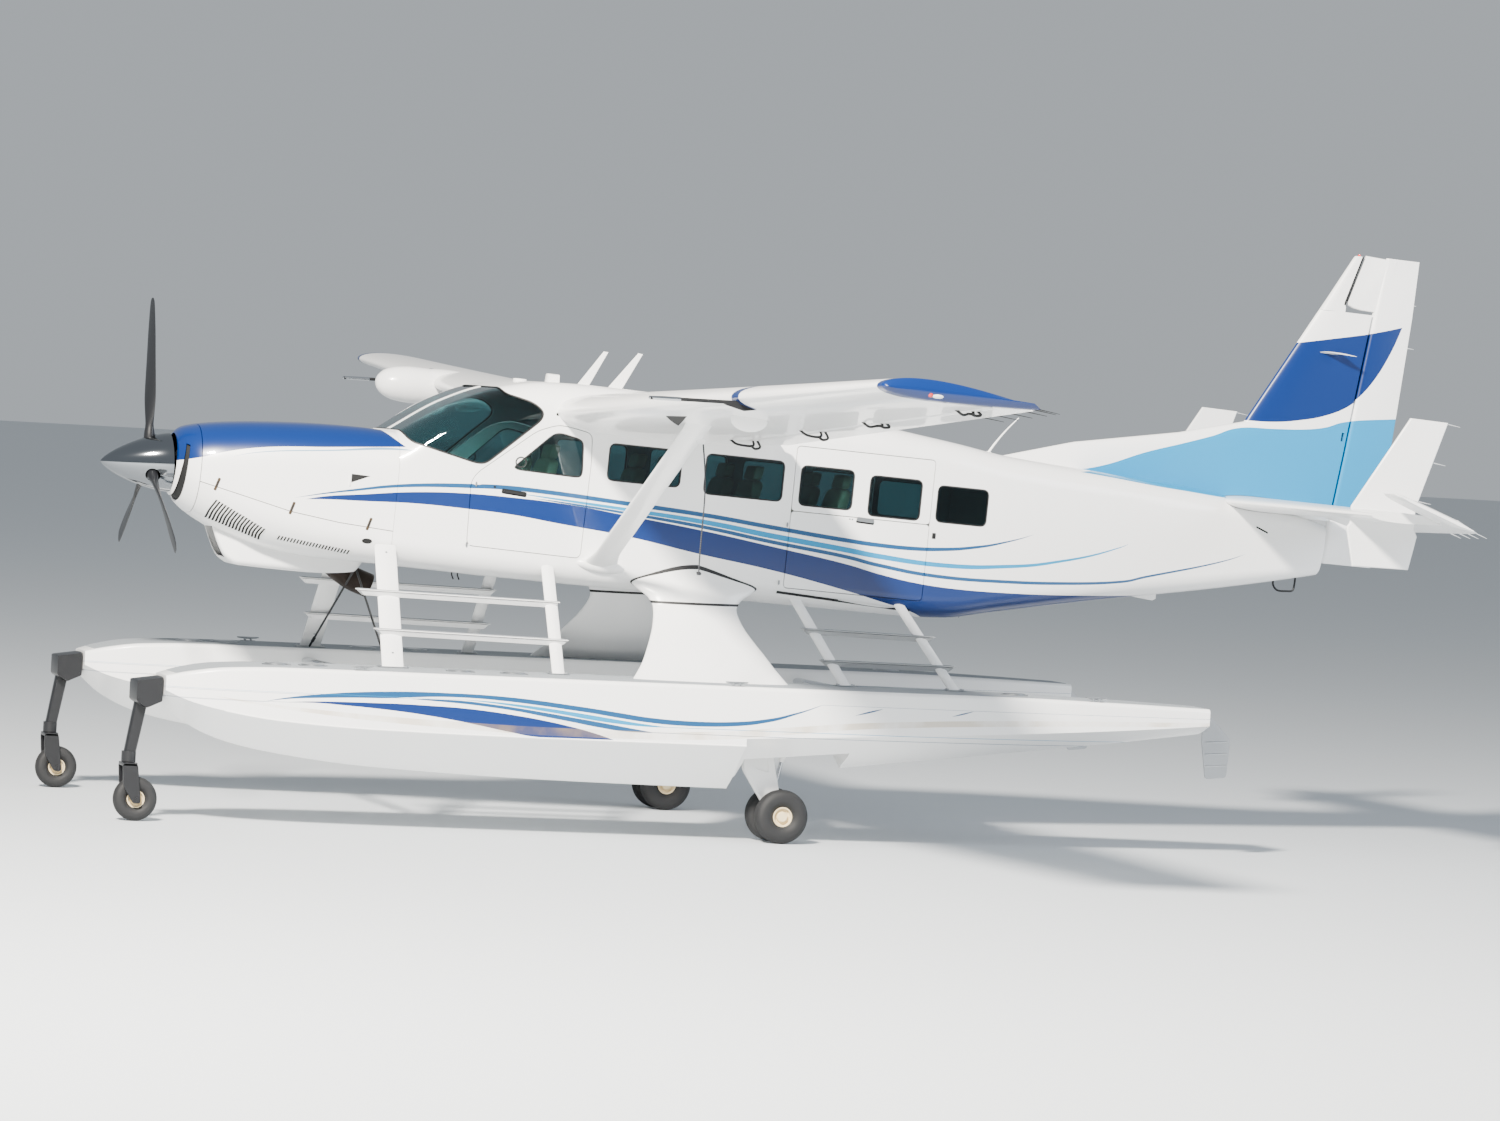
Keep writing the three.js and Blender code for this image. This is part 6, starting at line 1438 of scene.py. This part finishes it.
nose_rim = [
    [-40, 14.6], [-40, 32], [-30, 35], [-14, 44], [-15, 60], [-34, 62], [-40, 64], [-40, 71], [-34, 71.6],
    [34, 71.6], [40, 71], [40, 64], [34, 62], [15, 60], [14, 44], [30, 35], [40, 32], [40, 14.6],
]
for side, out, place in FLOATS:
    box_outline = rounded([[25, -160], [249, -126], [249, -330], [120, -390], [25, -330]], 16, 3)
    leg_outline = [[60, -250], [160, -300], [72, -780], [-24, -780]]
    gear = [plate(box_outline, 0, 149, 8, place), plate(leg_outline, 0, 42, 12, place)]
    gear.append(round_bar((24, 0, -819), (24, 0, -735), 58, 40, place))
    gear.append(bent_bar([[100, 0, -330], [84, 0, -430], [66, 0, -560], [56, 0, -640]], 30, 20, place))
    gear += [round_bar((x, s * 149, z), (x, s * 153, z), 9, 10, place)
             for x in (48, 226) for z in (-180, -310) for s in (-1, 1)]
    piece(f"nose_leg_parts_{side}", gear, black_enamel, stands_for=[f"nose_leg_{side}"])
    cheek_outline = rounded([[-38, -830], [86, -830], [126, -1148], [58, -1148], [-26, -1004]], 26, 3)
    fork = [plate(cheek_outline, s * 86, 11, 4, place) for s in (-1, 1)]
    fork.append(plate(rounded(rectangle(-38, 86, -854, -820.5), 8, 3), 0, 97, 6, place))
    fork.append(cross_bar(NOSE_AXLE, -97, 97, 14, 24, place))
    fork += [cross_bar(NOSE_AXLE, s * 97, s * 104, 20, 6, place) for s in (-1, 1)]
    piece(f"nose_fork_parts_{side}", fork, black_enamel, body=f"castor_{side}_body",
          stands_for=[f"nose_fork_{side}"])
    wheel_body = f"nose_wheel_{side}_body"
    rim = [revolved(nose_rim, NOSE_AXLE, place), *bolts(6, 52, 4.5, -19, 19, NOSE_AXLE, place)]
    piece(f"nose_rim_{side}", rim, cream_rim, body=wheel_body,
          stands_for=[f"nose_wheel_{side}"])
    tyre = revolved(tyre_outline(126, 176, 72, (-26, -9, 9, 26)), NOSE_AXLE, place, 96)
    piece(f"nose_tyre_ring_{side}", [tyre], tyre_rubber, body=wheel_body,
          stands_for=[f"nose_tyre_{side}"], sharp=28)

# Main gear: a trailing arm from the roof of each well, with an oil strut behind it, and twin wheels on
# one axle. White enamel, cream rims, bright strut.
MAIN_AXLE = np.array([5440, 0, -1068.0])
main_rim = [
    [-50, 24.6], [-50, 40], [-46, 44], [-18, 48], [-20, 68], [-44, 70], [-50, 73], [-50, 81], [-44, 81.6],
    [44, 81.6], [50, 81], [50, 73], [44, 70], [20, 68], [16, 48], [44, 42], [46, 24.6],
]
disc = [[-72, 30], [-72, 66], [-64, 66], [-64, 30]]
for side, out, place in FLOATS:
    wheel_body = f"main_wheels_{side}_body"
    arm_corners = [[5130, -331], [5330, -331], [5486, -1028], [5480, -1108], [5400, -1112], [5120, -690]]
    arm = plate(rounded(arm_corners, 30, 4), 0, 34, 9, place)
    bore = cross_bar(MAIN_AXLE, -100, 100, 24.8, 40, place)
    relief_outline = rounded([[5170, -420], [5290, -420], [5352, -720], [5230, -690]], 30, 4)
    relief = [plate(relief_outline, s * 34, 9, 3, place) for s in (-1, 1)]
    collar = plate(rounded([[5250, -332], [5560, -332], [5560, -352], [5250, -352]], 8, 3), 0, 60, 3, place)
    leg_parts = [carved(arm, take=[bore, *relief]), collar]
    piece(f"main_arm_{side}", leg_parts, white_gloss, stands_for=[f"main_leg_{side}"])
    strut_line = np.array([[5400, 0, -905], [5520, 0, -352]], float)
    middle = strut_line[0] + 0.5 * (strut_line[1] - strut_line[0])
    oil_strut = round_bar(strut_line[0], middle, 17, 24, place)
    case = round_bar(middle, strut_line[1], 27, 28, place)
    piece(f"oil_strut_{side}", [oil_strut], polished)
    piece(f"oil_strut_case_{side}", [case], white_gloss)
    wheels = [cross_bar(MAIN_AXLE, -178, 178, 24, 32, place)]
    for s in (-1, 1):
        at = MAIN_AXLE + [0, s * 132, 0]
        wheels.append(revolved(np.array(main_rim) * [s, 1], at, place))
        wheels += bolts(8, 58, 5, -23, 23, at, place)
        wheels.append(revolved(np.array(disc) * [s, 1], at, place, 48))
        wheels.append(cross_bar(MAIN_AXLE, s * 176, s * 183, 36, 32, place))
        where = "outer" if s == out else "inner"
        tyre = revolved(tyre_outline(158, 222, 82, (-33, -11, 11, 33)), at, place, 112)
        piece(f"main_tyre_ring_{side}_{where}", [tyre], tyre_rubber, body=wheel_body,
              stands_for=[f"main_tyre_{side}_{where}"], sharp=28)
    piece(f"main_rims_{side}", wheels, cream_rim, body=wheel_body,
          stands_for=[f"main_wheels_{side}"])

# Water rudders: bare aluminium blades, ribbed, on upright posts at the sterns, with a tiller arm each
RUDDER_OUTLINE = [[9145, -110], [9215, -110], [9405, -300], [9385, -620], [9195, -640], [9145, -320]]
for side, out, place in FLOATS:
    blade = [plate(rounded(RUDDER_OUTLINE, 30, 4), 0, 6, 2, place)]
    blade.append(plate([[9141, -235], [9197, -235], [9197, -105.5], [9141, -105.5]], 0, 20, 4, place))
    for z in (-330, -430, -530):
        blade.append(round_bar((9185, 0, z), (9375, 0, z + 12), 11, 12, place))
    piece(f"water_rudder_blade_{side}", blade, brushed, body=f"water_rudder_{side}_body",
          stands_for=[f"water_rudder_{side}"])

# Pylons: moulded fairings in white gloss over the struts between floats and belly, pinched at a waist.
# Black rubber seals them at the waist and where the flared collar meets the belly.
PYLON = [
    [0, 4835, 1600, 1330, 240], [170, 4850, 1410, 1080, 210], [570, 4860, 945, 725, 200],
    [640, 4868, 895, 800, 230], [715, 4885, 825, 1010, 290], [800, 4900, 735, 1170, 330],
    [980, 4900, 560, 1180, 480],
]
below_decks = prism([[-1000, -2000], [10000, -2000], [10000, 1.0], [-1000, 1.0]], -3000, 3000, between)


def stream_rings(z, x, y, chord, thick, rear=0.3, count=48):
    """Level sections: an ellipse whose aft half narrows by a share of its distance aft."""
    t = np.linspace(0, 2 * np.pi, count, endpoint=False)[None]
    taper = np.where(np.cos(t) > 0, 1 - rear * np.cos(t), 1.0)
    z, x, y, chord, thick = [np.asarray(c, float)[:, None] for c in (z, x, y, chord, thick)]
    return np.stack([x + chord / 2 * np.cos(t), y + thick / 2 * np.sin(t) * taper, z + 0 * t], -1)


def pylon_grid(z, grown=0.0):
    """Level sections of a pylon, moved out from its skin."""
    x, y, chord, thick = through(PYLON, z).T
    return stream_rings(z, x, y, chord + 2 * grown, thick + 2 * grown)


pylon_z = np.concatenate([np.linspace(0, 500, 12), np.linspace(530, 980, 28)])
pylon_form = put(pylon_grid(pylon_z), between)
body_whole = loft(body_rings(2345, CABIN_REAR, 0, apart=90))
body_grown = loft(body_rings(2345, CABIN_REAR, -15, apart=90))
pylon_skin = carved(pylon_form, take=[body_whole, below_decks])
pylon_grown = put(pylon_grid(pylon_z, 3.0), between)
waist = prism([[4300, 601], [5400, 601], [5400, 621], [4300, 621]], 0, 1500, between)
waist_seal = carved(pylon_grown, within=[waist])
collar_seal = carved(pylon_grown, take=[body_whole], within=[body_grown])
for side, s in SIDES:
    fairing = on_side(s, pylon_skin)
    piece(f"pylon_fairing_{side}", fairing, white_gloss, stands_for=[f"pylon_{side}"], sharp=40)
    piece(f"pylon_seals_{side}", on_side(s, waist_seal, collar_seal), seal_rubber)

# Ladders: streamlined alloy tubes in white, braced by two steps a side: a tread plate with a grey non-slip
# top, riveted over a folded tray. The aft ladder, on the port side only, has its steps painted grey: painted
# shade for their downward faces.
# Each: sides, head and foot as height and y, rails as head x, foot x and chord, steps as height and x of
# the front end and of the rear end, and the steps' width
LADDERS = {
    "front": (SIDES, [970, 719], [0, 1465], [[2252, 2188, 180], [3618, 3576, 106]],
              [[612, 1968, 579, 3664], [306, 2081, 280, 3690]], 150),
    "aft": (SIDES[:1], [820, 620], [0, 1440], [[5731, 6046, 100], [6634, 7003, 100]],
            [[451, 5790, 430, 6941], [205, 5889, 201, 7052]], 130),
}
RAIL_THICK, STEP_DEPTH, LIP = 52, 52, 10
aft_step_shade_grey = gloss("grey for painted shade on the aft steps", "#b4b6b7", 0.6, metallic=0.3)
for where, (sides, head, foot, rails, steps, width) in LADDERS.items():
    tubes, boards, treads, shoes = [], [], [], []
    for head_x, foot_x, chord in rails:
        # Height along the tube, and how far it has rounded over at its head
        z = np.concatenate([np.linspace(0, head[0] - 26, 9), head[0] - np.array([14, 6, 2, 0])])
        full = np.sqrt(1 - np.clip((z - head[0] + 26) / 27, 0, 1) ** 2)
        x = foot_x + (head_x - foot_x) * z / head[0]
        y = foot[1] + (head[1] - foot[1]) * z / head[0]
        tube = stream_rings(z, x, y, chord * (0.7 + 0.3 * full), RAIL_THICK * (0.4 + 0.6 * full), 0.45, 28)
        tubes.append(carved(put(tube, between), take=[body_whole, below_decks]))
        # A foot plate bolted through the deck
        fore, aft = foot_x - chord / 2 - 34, foot_x + chord / 2 + 34
        shoe = rounded([[fore, 1.5], [aft, 1.5], [aft, 14], [fore, 14]], 4, 2)
        shoes.append(plate(shoe, foot[1], 46, 3, between))
        shoes += [round_bar((u, foot[1] + dy, 12), (u, foot[1] + dy, 22), 8, 6, between)
                  for u in (fore + 18, aft - 18) for dy in (-26, 26)]
        # The broad tube is bolted near its foot and near its head
        if chord > 150:
            for at in (z[1], head[0] - 62):
                u, v = np.interp(at, z, x), np.interp(at, z, y)
                shoes.append(round_bar((u, v - 29, at), (u, v + 29, at), 9, 12, between))
    for z0, x0, z1, x1 in steps:
        y = foot[1] + (head[1] - foot[1]) * (z0 + z1) / 2 / head[0]
        lip = [[x0, z0], [x1, z1], [x1, z1 - LIP], [x0, z0 - LIP]]
        boards.append(plate(lip, y, width / 2, 2, between))
        # The tray's levels: depth, how far its ends are cut back, and half its width
        tray = []
        for deep, cut, half in ((STEP_DEPTH, STEP_DEPTH, width / 2 - 34), (LIP + 4, 12, width / 2 - 9),
                                (LIP - 2, 30, width / 2 - 26)):
            fore, aft = (x0 + cut, z0 - deep), (x1 - cut, z1 - deep)
            corners = ((fore, -half), (aft, -half), (aft, half), (fore, half))
            tray.append([[u, y + v, w] for (u, w), v in corners])
        boards.append(put(tray, between))
        grip = [[x0 + 14, z0 - 1], [x1 - 14, z1 - 1], [x1 - 14, z1 + 2], [x0 + 14, z0 + 2]]
        treads.append(plate(grip, y, width / 2 - 12, 0.5, between))
    if where == "front":
        # The front tube's head stands clear of the body's round corner, on a bracket
        bracket = plate(rounded(rectangle(2205, 2290, 912, 944), 8, 3), 657, 57, 3, between)
        tubes.append(carved(bracket, take=[body_whole]))
    # The aft steps' grey is painted shade for their downward faces
    finish, paint_slot = (white_gloss, "white_paint") if where == "front" else (aft_step_shade_grey, "bare_metal")
    for side, s in sides:
        ladder = [f"{where}_ladder_{side}"]
        piece(f"{where}_ladder_tubes_{side}", on_side(s, *tubes), white_gloss, stands_for=ladder)
        piece(f"{where}_ladder_steps_{side}", on_side(s, *boards), finish, stands_for=ladder)
        piece(f"{where}_ladder_treads_{side}", on_side(s, *treads), deck_grey)
        piece(f"{where}_ladder_shoes_{side}", on_side(s, *shoes), brushed)

# Spreader bars: polished elliptical tubes let into both hulls, and two steel wires crossed from the belly
# to the front ladders' feet
hull_cut = [moved(hull, (0, s * (FLOAT_CENTRE - 0.3), 0)) for hull in (forward, after) for s in (-1, 1)]
for where, x in (("front", 2110), ("aft", 6500)):
    t = np.linspace(0, 2 * np.pi, 40, endpoint=False)[None]
    y = np.linspace(-1350, 1350, 12)[:, None]
    tube = put(np.stack([x + 52 * np.cos(t) + 0 * y, y + 0 * t, -105 + 32 * np.sin(t) + 0 * y], -1))
    piece(f"{where}_spreader_tube", [carved(tube, take=hull_cut)], polished,
          stands_for=[f"{where}_spreader"])
wires, sleeves = [], []
for s in (-1, 1):
    head, end = np.array([2194, -s * 111, 806.0]), np.array([2163, s * 1366, 12.0])
    wires.append(bent_bar(np.linspace(head, end, 3), 9, 12, between))
    for share in (0.02, 0.90):
        a, b = head + (end - head) * share, head + (end - head) * (share + 0.04)
        sleeves.append(bent_bar(np.linspace(a, b, 3), 14, 12, between))
piece("brace_wires", wires + sleeves, tail_black)

# Cabin floor and instrument panel: honeycomb boards in dark vinyl, and a panel of black crackle paint
# with dials, two screens and two yokes on their columns. Both are screwed to the cabin's frames.
FLOOR_TOP, BAY_FRONT, BAY_DROP, DOOR_SIDE = -440, 6190, 4, 722
vinyl = gloss("dark grey vinyl floor cloth", "#4b4e51", 0.8)
crackle = gloss("black crackle paint", "#1b1c1e", 0.65)
glass_black = gloss("dark instrument glass", "#0b0f14", 0.08)
bezel = gloss("satin grey bezel", "#6f7377", 0.4, metallic=0.6)
room_inside = loft(body_rings(FIREWALL + SKIN, CABIN_REAR - SKIN, SKIN + LINING + 0.8, apart=90))
board = prism(rectangle(2560, 7100, FLOOR_TOP - 60, FLOOR_TOP), -OUT, OUT)
beside = [
    across(rectangle(CARGO_FRONT - 30, CARGO_REAR + 30, -600, -400), -1, DOOR_SIDE),
    across(rectangle(AIRSTAIR_FRONT - 30, CARGO_REAR + 30, -600, -400), 1, DOOR_SIDE),
    prism(rectangle(BAY_FRONT, 7200, FLOOR_TOP - BAY_DROP, -400), -OUT, OUT),
]
floor_boards = carved(room_inside, within=[board], take=beside)
piece("floor_boards", [floor_boards], vinyl, stands_for=["cabin_floor"])
panel_outline = rounded([[2700, -20], [2900, -20], [2960, 40], [2960, 262], [2700, 262]], 18, 4)
panel_sides = [across(rectangle(2885, 3000, -100, 400), s, 700) for s in (-1, 1)]
panel_form = carved(room_inside, within=[prism(panel_outline, -OUT, OUT)], take=panel_sides)
piece("panel_box", [panel_form], crackle, stands_for=["instrument_panel"])
dials, rings, screens = [], [], []
for z in (205, 118):
    for y in (-590, -505, -420, -335, -250, 250, 335, 420, 505):
        rings.append(round_bar((2955, y, z), (2968, y, z), 38, 28))
        dials.append(round_bar((2956, y, z), (2970, y, z), 33, 28))
for y in (-95, 95):
    screens.append(plate(rectangle(2956, 2971, 70, 235), y, 82, 4))
piece("dial_bezels", rings, bezel)
piece("dial_glasses", dials + screens, glass_black)
yokes = []
for y in (-410, 410):
    yokes.append(round_bar((2940, y, 60), (3075, y, 72), 14, 20))
    horn = [[3075, -150, 150], [3078, -165, 90], [3078, -110, 55], [3078, 0, 72]]
    wheel = np.array(horn + [[x, -across_it, z] for x, across_it, z in horn[2::-1]]) + [0, y, 0]
    yokes.append(bent_bar(smooth(wheel, 40), 14, 12))
piece("control_yokes", yokes, crackle)

# Seats: leather-covered foam on welded tube frames, two to a row, on rails screwed to the floor
leather = gloss("sand leather", "#b3a88f", 0.5)
tree = leather.node_tree
place = add(tree, "ShaderNodeTexCoord").node.outputs["Object"]
grain = add(tree, "ShaderNodeTexVoronoi", {"Vector": place, "Scale": 380.0})
tree.links.new(add(tree, "ShaderNodeBump", {"Height": grain, "Strength": 0.25, "Distance": 0.0006}),
               tree.nodes["Principled BSDF"].inputs["Normal"])
SEAT_ROWS, SEAT_Y = (3120, 4120, 4900, 5680), 410


def cushion(low, high, lean=0.0, power=0.3, bulge=0.05):
    """A box whose corners round as a superellipsoid's do, fuller in its middle, and leant aft by a share
    of its height."""
    low, high = np.asarray(low, float), np.asarray(high, float)
    centre, half = (low + high) / 2, (high - low) / 2
    up = np.radians(np.linspace(-86, 86, 19))[:, None]
    turn = np.linspace(0, 2 * np.pi, 40, endpoint=False)[None]

    def bent(v):
        return np.sign(v) * np.abs(v) ** power

    flat = bent(np.cos(up))
    x, y, z = flat * bent(np.cos(turn)), flat * bent(np.sin(turn)), bent(np.sin(up)) + 0 * turn
    full = 1 + bulge * (1 - y**2) * (1 - z**2)
    z = half[2] * z * (1 + bulge * (1 - x**2) * (1 - y**2))
    x = half[0] * x * full + lean * (z + half[2])
    return loft(centre + np.stack([x, half[1] * y, z], -1))


base = FLOOR_TOP + 1
cushions, frames = [], []
for x in SEAT_ROWS:
    for y in (-SEAT_Y, SEAT_Y):
        cushions.append(cushion([x, y - 224, base + 285], [x + 450, y + 224, base + 405], bulge=0.03))
        cushions.append(cushion([x + 400, y - 222, base + 400], [x + 505, y + 222, base + 830], lean=0.22))
        cushions.append(cushion([x + 505, y - 140, base + 838], [x + 590, y + 140, base + 955], lean=0.2))
        for dx in (110, 380):
            for dy in (-170, 170):
                foot, top = (x + dx, y + dy, base + 14), (x + dx + 8, y + dy, base + 292)
                frames.append(round_bar(foot, top, 13, 14))
        for dy in (-170, 170):
            frames.append(round_bar((x + 60, y + dy, base + 14), (x + 430, y + dy, base + 14), 12, 12))
            frames.append(round_bar((x + 40, y + dy, base + 285), (x + 440, y + dy, base + 285), 12, 12))
            hip, shoulder = [x + 440, y + dy * 0.9, base + 290], [x + 545, y + dy * 0.9, base + 760]
            frames.append(bent_bar(np.linspace(hip, shoulder, 4), 12, 12))
        frames += [round_bar((x + 545, y + dy, base + 760), (x + 572, y + dy, base + 870), 8, 10)
                   for dy in (-60, 60)]
seat_cushions = piece("seat_cushions", cushions, leather, stands_for=["seats"], sharp=60)
piece("seat_frames", frames, bezel)

# Fittings on the body: door hinges painted white with pins of grey alloy, handles over near-black plates that
# are painted shade for their shallow recesses, vents, the light over the steps, and the rubber seals along
# the rear doors' sills
satin_grey = gloss("satin grey cast alloy", "#8f9396", 0.35, metallic=0.7)


def star(x, z, long, short):
    """Outline of a flush hinge: four points about a round middle."""
    a = np.radians(np.arange(8) * 45.0)
    reach = np.where(np.arange(8) % 2 == 0, 1.0, 0.34)
    return np.stack([x + long * reach * np.cos(a), z + short * reach * np.sin(a)], -1)


CREW_HINGES, CARGO_HINGES = ((2972, 129), (2942, -372)), ((5662, 56), (5640, -430))
for side, s in SIDES:
    crew_body = f"crew_{side}_body"
    hinges = [on_skin(star(x, z, 44, 20), s, -3, 4) for x, z in CREW_HINGES]
    pins = [on_skin(oval(x, z, 15, 40), s, 0, 12) for x, z in CREW_HINGES]
    piece(f"crew_hinges_{side}", hinges, white_gloss, body=crew_body)
    piece(f"crew_hinge_pins_{side}", pins, satin_grey, body=crew_body)
    # The recess under the grip is a near-black plate: painted shade
    recess = on_skin(rounded([[3188, 74], [3398, 60], [3400, 104], [3190, 116]], 14, 4), s, -3, 1.5)
    grip = on_skin(rounded([[3204, 84], [3372, 74], [3373, 93], [3205, 102]], 8, 4), s, 2, 17)
    lock = on_skin(oval(3128, 121, 20, 20), s, -2, 4)
    piece(f"crew_handle_recess_{side}", [recess], black_and_painted_shade, body=crew_body)
    piece(f"crew_handle_{side}", [grip, lock], tail_black, body=crew_body)
    vent_hole = on_skin(oval(3325, 345, 74, 70, 32), s, -20, 20)
    vent_ring = carved(on_skin(oval(3325, 345, 96, 92, 32), s, -8, 3), take=[vent_hole])
    piece(f"storm_vent_{side}", [vent_ring], seal_rubber, body=crew_body)
    # The crown vent is a near-black disc on the skin, painted shade for its opening
    piece(f"crown_vents_{side}", [on_skin(oval(3592, 768, 26, 26), s, -3, 2)], black_and_painted_shade)
cargo_hinges = [on_skin(star(x, z, 58, 24), -1, -3, 5) for x, z in CARGO_HINGES]
piece("cargo_hinges", cargo_hinges, white_gloss)
cargo_pins = [on_skin(oval(x, z, 15, 40), -1, 0, 12) for x, z in CARGO_HINGES]
piece("cargo_hinge_pins", cargo_pins, satin_grey)
# Painted shade: a near-black plate under the grip stands for its recess
shadow_gap = on_skin(rounded([[6262, 132], [6420, 126], [6422, 150], [6264, 156]], 9, 4), -1, -3, 2)
piece("cargo_handle_recess", [shadow_gap], black_and_painted_shade, body="cargo_lower_body")
cargo_grip = [on_skin(rounded([[6264, 146], [6416, 140], [6418, 176], [6266, 182]], 16, 4), -1, -2, 11)]
cargo_grip += [on_skin(oval(x, z, 13, 13), -1, -2, 3) for x, z in ((6205, 156), (6228, 155))]
piece("cargo_handle", cargo_grip, satin_grey, body="cargo_lower_body")
airstair_grip = [on_skin(rounded([[6560, 96], [6668, 92], [6670, 124], [6562, 128]], 14, 4), 1, -2, 8)]
piece("airstair_handle", airstair_grip, satin_grey, body="airstair_lower_body")
step_light = on_skin(rounded(rectangle(6958, 6992, 62, 112), 6, 3), -1, -2, 3)
piece("step_light", [step_light], black_and_painted_shade)
sill_x = np.linspace(5637, 6842, 25)
sill_top = np.stack([sill_x, np.linspace(-500, -549, 25)], -1)
sill_seal = [on_skin(np.concatenate([sill_top, sill_top[::-1] - [0, 22]]), s, -1, 5) for s in (-1, 1)]
piece("sill_seals", sill_seal, seal_rubber)

# Crown: two blade antennas, a box and a puck for the satellite receiver, and a whip over the cabin's rear
crown = [
    plate([[3946, 1015], [4054, 1015], [4206, 1338], [4164, 1340]], 0, 10, 5),
    plate([[4206, 1008], [4340, 1008], [4508, 1352], [4466, 1357]], 0, 10, 5),
    plate(rounded([[3683, 1015], [3805, 1015], [3800, 1108], [3690, 1108]], 14, 4), 0, 48, 10),
    round_bar((3465, 0, 985), (3465, 0, 1036), 58, 32),
]
for x0, x1 in ((3925, 4075), (4186, 4360)):
    crown.append(plate(rounded(rectangle(x0, x1, 1020, 1040), 5, 3), 0, 34, 4))
whip = smooth([[7645, 0, 800], [7700, 0, 900], [7800, 0, 1040], [7907, 0, 1163]], 16)
crown.append(bent_bar(whip, np.linspace(13, 4, 16), 12))
crown.append(plate([[7600, 800], [7700, 796], [7690, 846], [7650, 852]], 0, 9, 4))
piece("crown_antennas", crown, white_gloss)

# Belly: drain masts, and a beacon in a red dome
belly = [bent_bar([[x, y, z + 12], [x + 6, y, z - 30], [x + 22, y, z - 62]], 6, 8)
         for x, y, z in ((2960, -330, -615), (3010, -330, -615), (7530, 0, -527))]
piece("belly_drains", belly, tail_black)
dome = [round_bar((5200, 0, top), (5200, 0, low), radius, 28)
        for top, low, radius in ((-618, -650, 46), (-650, -664, 36))]
piece("belly_beacon", dome, beacon_glass)

# On the wings: long bright pitot tubes on black masts, clear tip lights with a red or green filter, a
# near-black sheet ahead of each strut's head that is painted shade for an opening there, and the fuel vent's
# fairing
clear_lens = gloss("clear light lens", "#e9eeee", 0.05, coat=1.0)
red_lens = gloss("red light filter", "#c8261f", 0.1, coat=1.0)
green_lens = gloss("green light filter", "#1c9a55", 0.1, coat=1.0)
PITOT_Y = 4930
pitot_line = [[x, PITOT_Y, z] for x, z in ((3152, 938), (3300, 945), (3560, 957), (3880, 972))]
pitot_tip = [[x, PITOT_Y, z] for x, z in ((3140, 937.5), (3146, 938), (3250, 943), (3390, 949))]
grown_rings = front_rings(np.linspace(2200, 3800, 10), 0.6)
middle = grown_rings.mean(1, keepdims=True)
wing_grown = loft(middle + (grown_rings - middle) * [1.004, 1, 1.012])
# A thin near-black sheet over the wing's skin: painted shade for the opening
opening_plan = np.array([[3838, 3090], [3905, 3440], [4085, 2640]], float)
opening_rings = np.stack([np.concatenate([opening_plan, np.full((3, 1), z)], 1) for z in (600, 905)])
opening = carved(wing_grown, within=[loft(opening_rings)], take=[wing_whole])
mast = plate([[3700, 962], [3850, 985], [4010, 930], [3900, 910], [3760, 940]], PITOT_Y, 13, 5)
tube, tip = bent_bar(pitot_line, 14, 20), bent_bar(pitot_tip, [8, 13.5, 16.5, 16.5], 20)
lens, tinted = ellipsoid((4400, 7902, 1140), (66, 20, 27)), ellipsoid((4346, 7903, 1141), (26, 21, 25))
vent_fairing = ellipsoid((4160, 4260, 850), (150, 34, 88))
for side, s in SIDES:
    piece(f"pitot_tube_{side}", on_side(s, tube, mast), tail_black)
    piece(f"pitot_tip_{side}", on_side(s, tip), polished)
    piece(f"tip_lens_{side}", on_side(s, lens), clear_lens)
    piece(f"tip_filter_{side}", on_side(s, tinted), red_lens if s < 0 else green_lens)
    piece(f"strut_opening_{side}", on_side(s, opening), black_and_painted_shade)
    piece(f"vent_fairing_{side}", on_side(s, vent_fairing), white_gloss)
